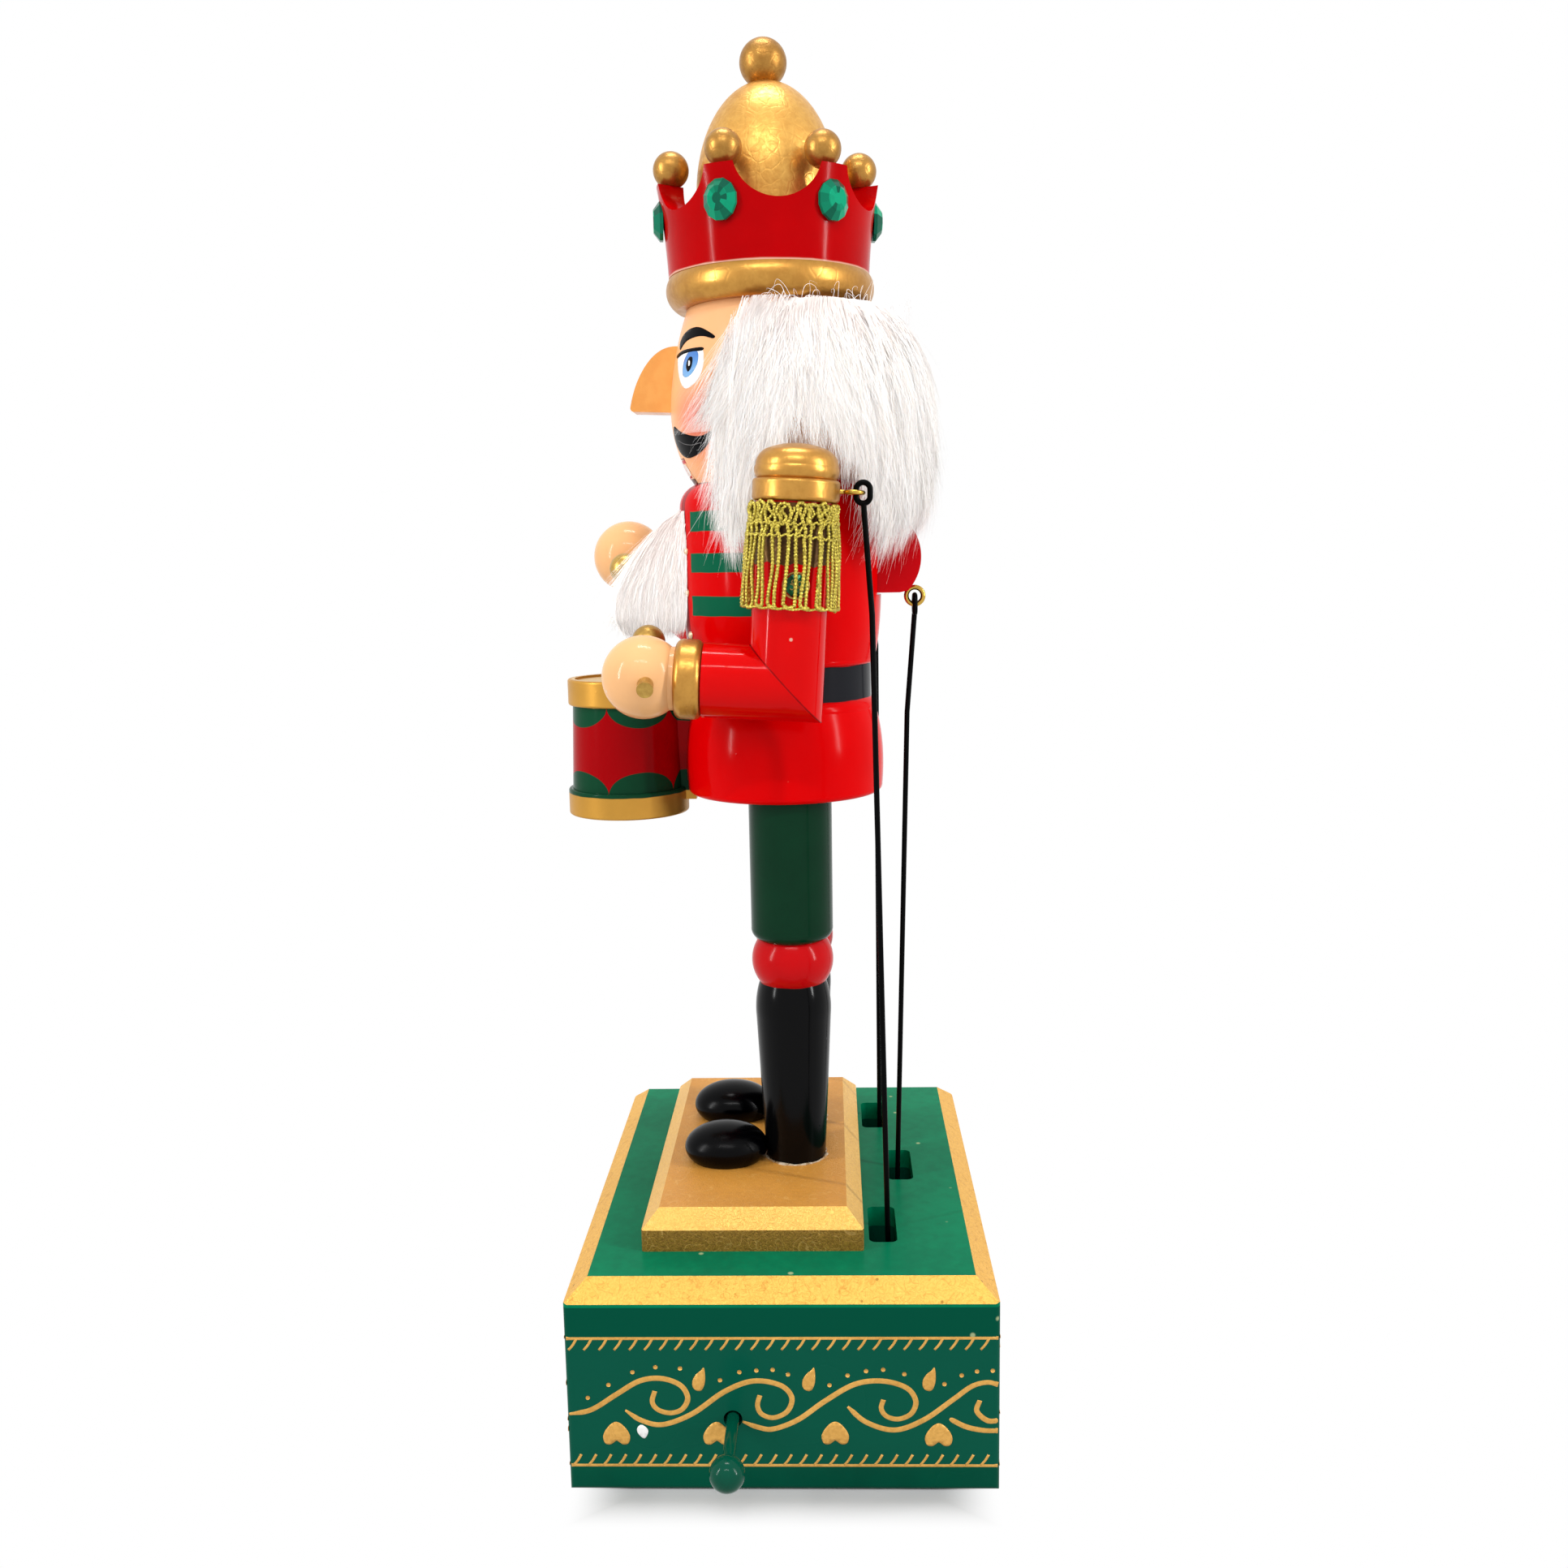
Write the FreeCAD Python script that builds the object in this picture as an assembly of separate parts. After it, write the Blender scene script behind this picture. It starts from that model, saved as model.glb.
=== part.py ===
"""A drumming nutcracker king on a wind-up music box base, as separate solids in millimetres.

The figure looks along -Y, its left side is +X and +Z is up. The origin is the centre of the base's underside.
The cams push the three follower levers down, the levers pull the three wire rods, and the rods swing the arms
and the jaw. At rest the left arm is down, the right arm is up and the mouth is shut.
"""
import FreeCAD, Part
import math
import os

V = FreeCAD.Vector
ORIGIN = V(0, 0, 0)
ALONG_X = V(1, 0, 0)
ALONG_Y = V(0, 1, 0)
ALONG_Z = V(0, 0, 1)

# Clearances and fits
running_fit = 0.06
swing_gap = 0.6
cam_gap = 0.35
hook_gap = 0.5

# Base box
base_length = 153.4
base_width = 120.0
wall_height = 46.1
wall = 9.0
top_board = 15.0
bottom_board = 5.0
rabbet = 4.5
bevel_in = 6.1
bevel_down = 5.2
outer_round = 1.5

# Rod slots in the top board
slot_length = 22.8
slot_width = 8.2
slot_round = 2.0
slot_shift = -2.2
arm_slot_y = 29.2
jaw_slot_y = 36.3

# Plinth board
plinth_length = 113.0
plinth_width = 63.9
plinth_height = 11.3
plinth_y = -8.5
plinth_bevel_in = 4.8
plinth_bevel_down = 4.9
plinth_round = 0.8

# Legs, one turning each: boot, knee roll and trouser
leg_x = 14.0
leg_y = 3.3
boot_foot_r = 9.3
boot_top_r = 11.5
boot_length = 56.6
knee_r = 12.5
knee_length = 13.5
trouser_low_r = 12.5
trouser_top_r = 12.6
trouser_length = 43.5
groove_r = 10.2

# Shoes
shoe_x = 17.5
shoe_y = -18.3
shoe_half_length = 12.9
shoe_half_width = 10.6
shoe_height = 11.6
shoe_belly = 4.2

# Torso turning: skirt, belt recess and coat
torso_y = 1.6
skirt_r = 30.5
skirt_height = 29.2
belt_r = 26.9
belt_height = 10.3
coat_r = 30.3
coat_waist_r = 28.2
coat_height = 54.0
collar_r = 24.8

# Head turning
head_y = 0.0
head_r = 30.6
head_height = 50.0
head_foot_r = 24.2
head_top_r = 25.0
nose_width = 9.0
nose_reach = 11.7
nose_height = 19.0
nose_foot = 20.8

# Crown
crown_y = -0.5
ring_y = -0.25
ring_r = 30.6
ring_height = 9.0
crown_foot_r = 29.5
crown_rim_r = 32.3
crown_inner_r = 24.5
crown_height = 25.5
crown_floor = 4.0
crown_points = 6
crown_turn = 7.5
notch_r = 12.6
notch_lift = 3.2
ball_r = 5.2
ball_flat = 0.5
ball_shift = -0.5
stone_half_width = 5.0
stone_half_height = 5.6
stone_depth = 2.8
stone_sunk = 0.5
stone_z = 16.0
dome_r = 20.7
dome_rise = 31.2
dome_straight = 19.5
finial_r = 6.85
finial_sunk = 1.75
finial_shift = -0.6

# Hair and beard, the plain forms of the fur
hair_y = 9.0
hair_r = 39.6
hair_drop = 21.5
hair_front_y = -16.5
hair_side = 28.6
hair_lock = 31.5
beard_half_width = 13.5
beard_length = 47.5
beard_reach = 47.5
beard_over_chin = 1.5
beard_narrowing = 2.0
beard_root = 5.0

# Drum
drum_r = 17.3
hoop_r = 18.6
drum_taper = 0.9
hoop_height = 8.0
drum_height = 41.8
drum_drop = 6.0
drum_peg_r = 3.0
drum_peg_depth = 12.0
drum_spacer_half = 4.0
drum_recess = 0.8

# Arms, in the arm's own frame: pivot at its origin, upper arm down, forearm to the front
arm_x = 42.0
arm_pivot_y = 6.5
arm_pivot_drop = 16.5
arm_swing = 37.0
arm_low = 3.5
sleeve_r = 10.5
sleeve_y = -0.4
sleeve_top = 9.3
forearm_drop = 40.4
forearm_length = 23.2
cuff_r = 11.2
cuff_length = 7.8
cuff_round = 2.2
hand_r = 11.7
hand_neck_r = 8.9
hand_out = 8.9
cap_r = 12.0
cap_band = 6.1
cap_dome = 9.7
pivot_r = 2.1
pivot_head_r = 4.0
pivot_head = 1.4
pivot_end = 21.5
fringe_top_r = 13.2
fringe_hem_r = 13.8
fringe_length = 29.3
fringe_inner_gap = 0.3
fringe_side = 7.5
stick_r = 2.3
stick_ball_r = 4.9
left_stick_tip = (-21.0, -1.4, 8.6)
left_stick_end = (14.6, 2.2, -2.2)
right_stick_tip = (21.0, 3.4, -2.0)
right_stick_end = (-14.6, -2.4, 1.4)

# Screw eyes and wire rods
eye_wire_r = 0.65
eye_ring_r = 2.4
eye_z = 12.6
eye_y = 18.3
eye_screw = 7.0
rod_r = 0.8
loop_half_width = 1.9
loop_straight = 1.8
rod_kink = 33.0
left_kink = 1.4
right_kink = 2.6
jaw_kink = -1.4
hook_length = 5.6

# Jaw lever, in the jaw's own frame: pivot at its origin
jaw_pivot_y = 3.0
jaw_pivot_drop = 15.5
jaw_swing = 10.0
jaw_half_width = 9.0
jaw_pin_r = 1.5
jaw_pin_half = 19.0
mouth_z = 22.3
chin_drop = 2.0
tail_reach = 40.4
tail_top = 4.5
tail_drop = 17.5
jaw_eye_y = 39.0
jaw_eye_z = -18.8
jaw_eye_wire_r = 0.75
jaw_eye_ring_r = 2.55

# Movement frame
plate = 1.5
frame_half_length = 59.5
frame_front_gap = 3.0
frame_top_gap = 2.6
frame_behind_cams = 10.6
inner_plate_x = 22.0
frame_round = 3.0

# Wheel train, each axis along X
gear_module = 0.75
tooth_height = 0.6
root_depth = 1.15
backlash = 0.12
barrel_teeth = 40
cylinder_pinion_teeth = 20
cylinder_teeth = 30
cam_teeth = 32
pinion_teeth = 10
governor_teeth = 30
barrel_inset = 16.0
cam_behind = 22.9
fly_ahead = 4.3
fly_drop = 10.3
gear_width = 3.0

# Barrel, arbor and key
barrel_r = 14.0
barrel_wall = 1.0
barrel_length = 21.0
barrel_x = -56.0
arbor_r = 2.0
spring_thick = 0.5
spring_turns = 5
key_gap = 2.3
key_hub_r = 4.0
key_hub_length = 15.0
key_wing_r = 13.0
key_wing_thick = 2.0
key_hole_r = 3.2

# Note cylinder and comb
cylinder_r = 6.5
cylinder_x = -28.0
cylinder_length = 42.0
note_pin_r = 0.3
note_pin_out = 0.45
notes = 18
pins_per_note = 3
comb_gap = 0.35
comb_thick = 1.2
comb_depth = 18.0
comb_back = 7.0
comb_slit = 0.5

# Governor
governor_x = 24.0
governor_arbor_r = 1.0
fly_half_width = 7.5
fly_thick = 0.6
fly_x = 31.0
fly_length = 14.0
brake_r = 7.5
brake_x = 48.0
brake_thick = 1.5

# Camshaft and follower levers
shaft_r = 2.0
cam_half_width = 1.8
lever_offset = 2.7
lever_half_width = 1.3
lever_pivot_y = 2.0
lever_pivot_rise = 11.44
lever_shaft_r = 1.5
lever_hub_r = 3.8
lever_half_height = 2.0
lever_tip_r = 3.3
roller_y = 12.0
roller_r = 3.0
arm_hook_y = 31.4
jaw_hook_y = 34.6

# Start and stop rod
stop_over_fly = 6.5
stop_r = 1.75
stop_hole_r = 2.6
stop_ball_r = 4.75
stop_out = 24.0
stop_pad_r = 2.8
stop_pad = 1.8
stop_travel = 6.0

# Screws
screw_r = 1.2
screw_head_r = 2.4
screw_head = 1.6
leg_screw_r = 2.0
leg_screw_head_r = 4.0
leg_screw_head = 2.6
leg_screw_bite = 18.0

# Levels that follow from the sizes above
base_height = wall_height + top_board
inside_top = wall_height
plinth_top = base_height + plinth_height
knee_z = plinth_top + boot_length
trouser_z = knee_z + knee_length
skirt_z = trouser_z + trouser_length
belt_z = skirt_z + skirt_height
coat_z = belt_z + belt_height
head_z = coat_z + coat_height
ring_z = head_z + head_height
crown_z = ring_z + ring_height
rim_z = crown_z + crown_height
dome_top = crown_z + crown_floor + dome_straight + dome_rise
drum_z = skirt_z - drum_drop
arm_pivot_z = head_z - arm_pivot_drop
jaw_pivot_z = head_z - jaw_pivot_drop

# Places in the movement that follow from the box and the gears
frame_front_y = wall - base_width / 2 + frame_front_gap
frame_top_z = inside_top - frame_top_gap
train_z = (bottom_board + inside_top) / 2
barrel_y = frame_front_y + barrel_inset
cylinder_y = barrel_y + gear_module * (barrel_teeth + cylinder_pinion_teeth) / 2
cam_y = cylinder_y + cam_behind
frame_back_y = cam_y + frame_behind_cams
fly_y = cylinder_y - fly_ahead
fly_z = train_z - fly_drop
stop_y = fly_y
stop_z = fly_z + stop_over_fly
lever_pivot_z = bottom_board + plate + lever_pivot_rise


def closed_wire(start, steps, place):
    """Joins one line, arc or smooth curve for each step, of one, two or more points, into a closed wire."""
    edges = []
    here = start
    for step in steps:
        points = [place(*point) for point in [here] + list(step)]
        if len(points) == 2:
            edges.append(Part.makeLine(*points))
        elif len(points) == 3:
            edges.append(Part.Arc(*points).toShape())
        else:
            curve = Part.BSplineCurve()
            curve.interpolate(points)
            edges.append(curve.toShape())
        here = step[-1]
    if here != start:
        edges.append(Part.makeLine(place(*here), place(*start)))
    return Part.Wire(edges)


def turned(start, steps, x=0.0, y=0.0, z=0.0):
    """Turns an outline of (radius, height) points about an upright axis, with its seam at the back."""
    face = Part.Face(closed_wire(start, steps, lambda r, h: V(0, r, h)))
    return face.revolve(ORIGIN, ALONG_Z, 360).translate(V(x, y, z))


def turned_along_x(start, steps, y, z):
    """Turns an outline of (x, radius) points about an axis along X."""
    face = Part.Face(closed_wire(start, steps, lambda along, r: V(along, 0, r)))
    return face.revolve(ORIGIN, ALONG_X, 360).translate(V(0, y, z))


def side_prism(start, steps, x0, x1):
    """Extrudes an outline of (y, z) points along X."""
    face = Part.Face(closed_wire(start, steps, lambda y, z: V(x0, y, z)))
    return face.extrude(V(x1 - x0, 0, 0))


def block(x0, x1, y0, y1, z0, z1):
    return Part.makeBox(x1 - x0, y1 - y0, z1 - z0, V(x0, y0, z0))


def bar_x(r, x0, x1, y, z):
    return Part.makeCylinder(r, x1 - x0, V(x0, y, z), ALONG_X)


def bar_y(r, y0, y1, x, z):
    return Part.makeCylinder(r, y1 - y0, V(x, y0, z), ALONG_Y)


def bar_z(r, z0, z1, x, y):
    return Part.makeCylinder(r, z1 - z0, V(x, y, z0), ALONG_Z)


def bar_between(r, start, end):
    return Part.makeCylinder(r, (end - start).Length, start, end - start)


def joined(shapes):
    """Fuses shapes that are one piece."""
    result = shapes[0]
    for shape in shapes[1:]:
        result = result.fuse(shape)
    return result.removeSplitter()


def without(shape, cutters):
    for cutter in cutters:
        shape = shape.cut(cutter)
    return shape


def bevelled_board(length, width, x, y, z0, z_edge, z1, inset, corner_round):
    """A board with its top edge bevelled all round and its upright edges rounded."""
    def rectangle(half_x, half_y, z):
        corners = [V(x - half_x, y - half_y, z), V(x + half_x, y - half_y, z),
                   V(x + half_x, y + half_y, z), V(x - half_x, y + half_y, z)]
        return Part.makePolygon(corners + corners[:1])
    lower = block(x - length / 2, x + length / 2, y - width / 2, y + width / 2, z0, z_edge)
    upper = Part.makeLoft([rectangle(length / 2, width / 2, z_edge),
                           rectangle(length / 2 - inset, width / 2 - inset, z1)], True, True)
    board = lower.fuse(upper)
    upright = [edge for edge in board.Edges if upright_edge(edge)]
    return board.makeFillet(corner_round, upright)


def upright_edge(edge):
    ends = edge.Vertexes
    if len(ends) != 2:
        return False
    run = ends[1].Point - ends[0].Point
    return abs(run.x) < 1e-6 and abs(run.y) < 1e-6


def rounded_slot(x, y, z0, z1):
    """The cutter for one rod slot."""
    slot = block(x - slot_length / 2, x + slot_length / 2, y - slot_width / 2, y + slot_width / 2, z0, z1)
    return slot.makeFillet(slot_round, [edge for edge in slot.Edges if upright_edge(edge)])


def countersunk_up(r, head_r, head, x, y, z0, z1):
    """A screw that is driven upwards, with its head flush at z0."""
    cone = Part.makeCone(head_r, r, head, V(x, y, z0), ALONG_Z)
    return joined([cone, bar_z(r, z0 + head, z1, x, y)])


# Base

def screw_places():
    """Bottom screws: three along each long wall and one in the middle of each short wall."""
    inset = wall - rabbet / 2
    side_x = base_length / 2 - inset
    side_y = base_width / 2 - inset
    places = [(x, y) for y in (-side_y, side_y) for x in (-side_x * 0.75, 0, side_x * 0.75)]
    return places + [(-side_x, 0), (side_x, 0)]


def frame_screw_places():
    inset = 5.0
    return [(x, y) for x in (inset - frame_half_length, frame_half_length - inset)
            for y in (frame_front_y + inset, frame_back_y - inset)]


def wood_screws():
    """The bottom, frame and leg screws, as one group of separate solids."""
    screws = [countersunk_up(screw_r, screw_head_r, screw_head, x, y, 0, bottom_board + 9.0)
              for x, y in screw_places()]
    screws += [countersunk_up(screw_r, screw_head_r, screw_head, x, y, 0, bottom_board + plate)
               for x, y in frame_screw_places()]
    screws += [countersunk_up(leg_screw_r, leg_screw_head_r, leg_screw_head, side * leg_x, leg_y,
                              inside_top, plinth_top + leg_screw_bite) for side in (-1, 1)]
    return screws


def bottom_panel_space():
    half_x = base_length / 2 - wall + rabbet
    half_y = base_width / 2 - wall + rabbet
    return block(-half_x, half_x, -half_y, half_y, 0, bottom_board)


def base_walls(screws):
    """The four walls. The left and right ones run the full width and the others fit between them."""
    half_x = base_length / 2
    half_y = base_width / 2
    left = block(half_x - wall, half_x, -half_y, half_y, 0, inside_top)
    edges = [edge for edge in left.Edges if on_outer_face(edge, half_x)]
    left = left.makeFillet(outer_round, edges)
    right = left.mirror(ORIGIN, ALONG_X)
    front = block(-half_x + wall, half_x - wall, -half_y, -half_y + wall, 0, inside_top)
    foot = [edge for edge in front.Edges if low_front_edge(edge, -half_y)]
    front = front.makeFillet(outer_round, foot)
    back = front.mirror(ORIGIN, ALONG_Y)
    cutters = [bottom_panel_space()] + screws
    left = left.cut(bar_x(stop_hole_r, half_x - 2 * wall, half_x + wall, stop_y, stop_z))
    right = right.cut(bar_x(key_hub_r + swing_gap, -half_x - wall, -half_x + 2 * wall, barrel_y, train_z))
    return {"base_wall_left": without(left, cutters), "base_wall_right": without(right, cutters),
            "base_wall_front": without(front, cutters), "base_wall_back": without(back, cutters)}


def on_outer_face(edge, half_x):
    """True for the outer face's upright edges and its bottom edge."""
    points = [vertex.Point for vertex in edge.Vertexes]
    outside = all(abs(point.x - half_x) < 1e-6 for point in points)
    on_top = all(abs(point.z - inside_top) < 1e-6 for point in points)
    return outside and not on_top


def low_front_edge(edge, y):
    return all(abs(v.Point.y - y) < 1e-6 and abs(v.Point.z) < 1e-6 for v in edge.Vertexes)


def base_top(screws):
    """The top board with its gold bevel and the three rod slots."""
    board = bevelled_board(base_length, base_width, 0, 0, inside_top, base_height - bevel_down, base_height,
                           bevel_in, outer_round)
    slots = [rounded_slot(x + slot_shift, y, inside_top - 1, base_height + 1)
             for x, y in ((arm_x, arm_slot_y), (-arm_x, arm_slot_y), (0, jaw_slot_y))]
    return without(board, slots + screws)


def plinth(screws):
    board = bevelled_board(plinth_length, plinth_width, 0, plinth_y, base_height,
                           plinth_top - plinth_bevel_down, plinth_top, plinth_bevel_in, plinth_round)
    return without(board, screws)


# Figure

def leg(x):
    """Boot, knee roll and trouser in one turning, rounded over where the colours change."""
    knee = boot_length + knee_length
    full = knee + trouser_length
    steps = [[(boot_foot_r, 0)],
             [(boot_top_r, boot_length * 0.8)],
             [(boot_top_r - 0.3, boot_length * 0.93), (groove_r, boot_length)],
             [(knee_r, boot_length + knee_length / 2), (groove_r, knee)],
             [(trouser_low_r - 0.7, knee + 1.1), (trouser_low_r, knee + 3.6)],
             [(trouser_top_r, full)],
             [(0, full)]]
    return turned((0, 0), steps, x, leg_y, plinth_top)


def shoe(side, leg_solid):
    """A rounded toe, flat below and hollowed to the boot behind it."""
    ball = Part.makeSphere(1.0)
    scale = FreeCAD.Matrix()
    scale.scale(V(shoe_half_width, shoe_half_length, shoe_height - shoe_belly))
    toe = ball.transformGeometry(scale)
    toe.translate(V(side * shoe_x, shoe_y, plinth_top + shoe_belly))
    below = block(-base_length, base_length, -base_width, base_width, 0, plinth_top)
    return without(toe, [below, leg_solid])


def torso_form():
    """The turned block of skirt, belt recess and coat, before its slot and holes."""
    coat = skirt_height + belt_height
    top = coat + coat_height
    steps = [[(skirt_r - 2.2, 0)],
             [(skirt_r - 0.9, 0.5), (skirt_r - 0.3, 2.0)],
             [(skirt_r, 10.5), (skirt_r - 0.7, 19.0), (skirt_r - 2.2, 26.0)],
             [(skirt_r - 2.8, 28.4), (belt_r, skirt_height)],
             [(belt_r, coat)],
             [(coat_waist_r - 0.3, coat + 0.5), (coat_waist_r, coat + 1.6)],
             [(coat_r - 1.0, coat + 8.0), (coat_r - 0.1, coat + 20.0), (coat_r, coat + 32.0),
              (coat_r, top - 8.0)],
             [(coat_r - 1.6, top - 2.4), (collar_r, top)],
             [(0, top)]]
    return turned((0, 0), steps, 0, torso_y, skirt_z)


def head_form():
    """The turned head, before its slot."""
    widest = head_height * 0.44
    steps = [[(head_foot_r, 0)],
             [(head_r - 2.4, 8.0), (head_r, widest)],
             [(head_r - 2.2, head_height * 0.77), (head_top_r, head_height)],
             [(0, head_height)]]
    return turned((0, 0), steps, 0, head_y, head_z)


def jaw_outline():
    """The jaw lever from the side, about its pivot: chin in front, rounded tail behind."""
    start = (-tail_reach, mouth_z)
    steps = [[(-21.0, mouth_z)],
             [(-13.0, mouth_z - 6.8)],
             [(tail_reach - 5.4, tail_top)],
             [(tail_reach, -8.0), (tail_reach - 3.9, -tail_drop + 0.5)],
             [(tail_reach - 6.4, -tail_drop)],
             [(tail_reach - 13.4, -tail_drop)],
             [(0, -10.0)],
             [(-25.0, -chin_drop)],
             [(-tail_reach, -chin_drop)]]
    return start, steps


def at_jaw(shape, angle=0.0):
    """Places a shape of the jaw's own frame, opened by an angle."""
    shape = shape.copy()
    shape.rotate(ORIGIN, ALONG_X, angle)
    shape.translate(V(0, jaw_pivot_y, jaw_pivot_z))
    return shape


def jaw_slot():
    """The room that the lever sweeps in the head and the torso."""
    outline = closed_wire(*jaw_outline(), lambda y, z: V(0, y, z))
    wider = outline.makeOffset2D(swing_gap, 2)
    half = jaw_half_width + swing_gap
    prism = Part.Face(wider).extrude(V(2 * half, 0, 0)).translate(V(-half, 0, 0))
    return joined([at_jaw(prism, jaw_swing * step / 2) for step in (0, 1, 2)])


def jaw_lever(face_form, body_form, eye):
    """The lever, its chin cut to the turned face and coat, with holes for its pin and screw eye."""
    start, steps = jaw_outline()
    prism = at_jaw(side_prism(start, steps, -jaw_half_width, jaw_half_width))
    behind = block(-base_length, base_length, jaw_pivot_y, base_width, 0, ring_z)
    envelope = face_form.fuse(body_form).fuse(behind)
    lever = prism.common(envelope)
    pin_hole = bar_x(jaw_pin_r + running_fit, -base_length, base_length, jaw_pivot_y, jaw_pivot_z)
    return without(lever, [pin_hole, eye])


def jaw_eye():
    """The screw eye under the lever's tail, its ring facing sideways."""
    ring = Part.makeTorus(jaw_eye_ring_r, jaw_eye_wire_r, V(0, jaw_eye_y, jaw_eye_z), ALONG_X)
    inward = V(0, -1, 1).normalize()
    start = V(0, jaw_eye_y, jaw_eye_z) + inward * jaw_eye_ring_r
    stem = bar_between(jaw_eye_wire_r, start, start + inward * eye_screw)
    return at_jaw(joined([ring, stem]))


def torso(form, slot, screws):
    holes = [slot, jaw_pin_space()] + [arm_pin(side) for side in (-1, 1)]
    return without(form, holes + screws)


def head(form, slot):
    return form.cut(slot)


def nose(head_solid):
    """A flat-sided wooden wedge on the face."""
    foot = head_z + nose_foot
    top = foot + nose_height
    front = head_y - head_r - nose_reach
    start = (head_y - head_r + 4.0, top)
    steps = [[(front + 8.5, top - 1.6), (front + 4.0, foot + 12.4), (front + 1.2, foot + 6.4), (front, foot + 1.8)],
             [(front + 0.3, foot + 0.9), (front + 1.2, foot + 0.6)],
             [(head_y - head_r + 4.0, foot)]]
    wedge = side_prism(start, steps, -nose_width / 2, nose_width / 2)
    return wedge.cut(head_solid)


def crown_ring():
    steps = [[(ring_r - 3.0, 0)],
             [(ring_r, ring_height / 2), (crown_foot_r, ring_height)],
             [(0, ring_height)]]
    return turned((0, 0), steps, 0, ring_y, ring_z)


def crown_angle(index):
    return math.radians(30 + crown_turn + index * 360 / crown_points)


def crown_ball_ring():
    return (crown_inner_r + crown_rim_r) / 2 - 0.9


def crown_stones():
    """Oval faceted stones, flat behind, one below each point."""
    facets = 12
    stones = []
    for index in range(crown_points):
        rings = []
        for depth, share in ((0, 1.0), (stone_depth * 0.35, 1.0), (stone_depth, 0.58)):
            angles = [2 * math.pi * (k + 0.5) / facets for k in range(facets)]
            points = [V(depth, share * stone_half_width * math.cos(a), share * stone_half_height * math.sin(a))
                      for a in angles]
            rings.append(Part.makePolygon(points + points[:1]))
        stone = Part.makeLoft(rings, True, True)
        wall_r = crown_foot_r + (crown_rim_r - crown_foot_r) * stone_z / crown_height
        stone.translate(V(wall_r - stone_sunk, 0, crown_z + stone_z))
        stone.rotate(ORIGIN, ALONG_Z, math.degrees(crown_angle(index)))
        stone.translate(V(0, crown_y, 0))
        stones.append(stone)
    return stones


def crown(stones):
    """A turned cup with round notches that leave six points."""
    steps = [[(crown_foot_r, 0)],
             [(crown_foot_r + 1.0, crown_height / 2), (crown_rim_r, crown_height)],
             [(crown_inner_r, crown_height)],
             [(crown_inner_r, crown_floor)],
             [(0, crown_floor)]]
    cup = turned((0, 0), steps, 0, crown_y, crown_z)
    for index in range(crown_points):
        angle = crown_angle(index + 0.5)
        outward = V(math.cos(angle), math.sin(angle), 0)
        start = V(0, crown_y, rim_z + notch_lift) + outward * (dome_r / 2)
        cup = cup.cut(Part.makeCylinder(notch_r, crown_rim_r, start, outward))
    return without(cup, stones)


def crown_balls():
    balls = []
    for index in range(crown_points):
        angle = crown_angle(index)
        x = crown_ball_ring() * math.cos(angle)
        y = crown_y + ball_shift + crown_ball_ring() * math.sin(angle)
        ball = Part.makeSphere(ball_r, V(x, y, rim_z + ball_r - ball_flat))
        balls.append(ball.cut(block(x - ball_r, x + ball_r, y - ball_r, y + ball_r, rim_z - ball_r, rim_z)))
    return balls


def finial():
    return Part.makeSphere(finial_r, V(0, crown_y + finial_shift, dome_top + finial_r - finial_sunk))


def crown_dome(top_ball):
    """A round-topped gold dome that stands on the crown's floor."""
    floor = crown_z + crown_floor
    spring_z = floor + dome_straight
    tall = Part.Ellipse(V(0, 0, dome_rise), V(dome_r, 0, 0), ORIGIN)
    quarter = Part.ArcOfEllipse(tall, 0, math.pi / 2).toShape()
    edges = [quarter, Part.makeLine(V(dome_r, 0, 0), V(dome_r, 0, -dome_straight)),
             Part.makeLine(V(dome_r, 0, -dome_straight), V(0, 0, -dome_straight)),
             Part.makeLine(V(0, 0, -dome_straight), V(0, 0, dome_rise))]
    face = Part.Face(Part.Wire(Part.__sortEdges__(edges)))
    solid = face.revolve(ORIGIN, ALONG_Z, 360).translate(V(0, crown_y, spring_z))
    return solid.cut(top_ball)


def hair(head_solid, body_form):
    """The wig's plain form: full at the back and sides, open for the face, the shoulders and the jaw lever."""
    foot = head_z - hair_drop
    top = ring_z - 0.3
    tall = top - foot
    steps = [[(hair_r - 8.0, 0)],
             [(hair_r - 5.5, tall * 0.1), (hair_r - 2.0, tall * 0.25), (hair_r - 0.2, tall * 0.45),
              (hair_r, tall * 0.62), (hair_r - 1.6, tall * 0.8), (hair_r - 7.0, tall * 0.95)],
             [(hair_r - 12.5, tall)],
             [(0, tall)]]
    form = turned((0, 0), steps, 0, hair_y, foot)
    shoulder_z = head_z + 10.0
    far = base_width
    face_space = block(-far, far, -far, hair_front_y, foot - 1, ring_z)
    sides = [block(side * hair_side, side * far, -far, far, foot - 1, shoulder_z) if side > 0
             else block(-far, -hair_side, -far, far, foot - 1, shoulder_z) for side in (-1, 1)]
    lever_half = jaw_half_width + 2 * swing_gap
    lever_space = block(-lever_half, lever_half, coat_r, far, foot - 1, foot + hair_lock * 0.75)
    chest = block(-far, far, -far, torso_y, foot - 1, head_z)
    solid = without(form, [face_space, lever_space, head_solid, body_form, chest] + sides)
    return max(solid.Solids, key=lambda part: part.Volume)


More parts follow.
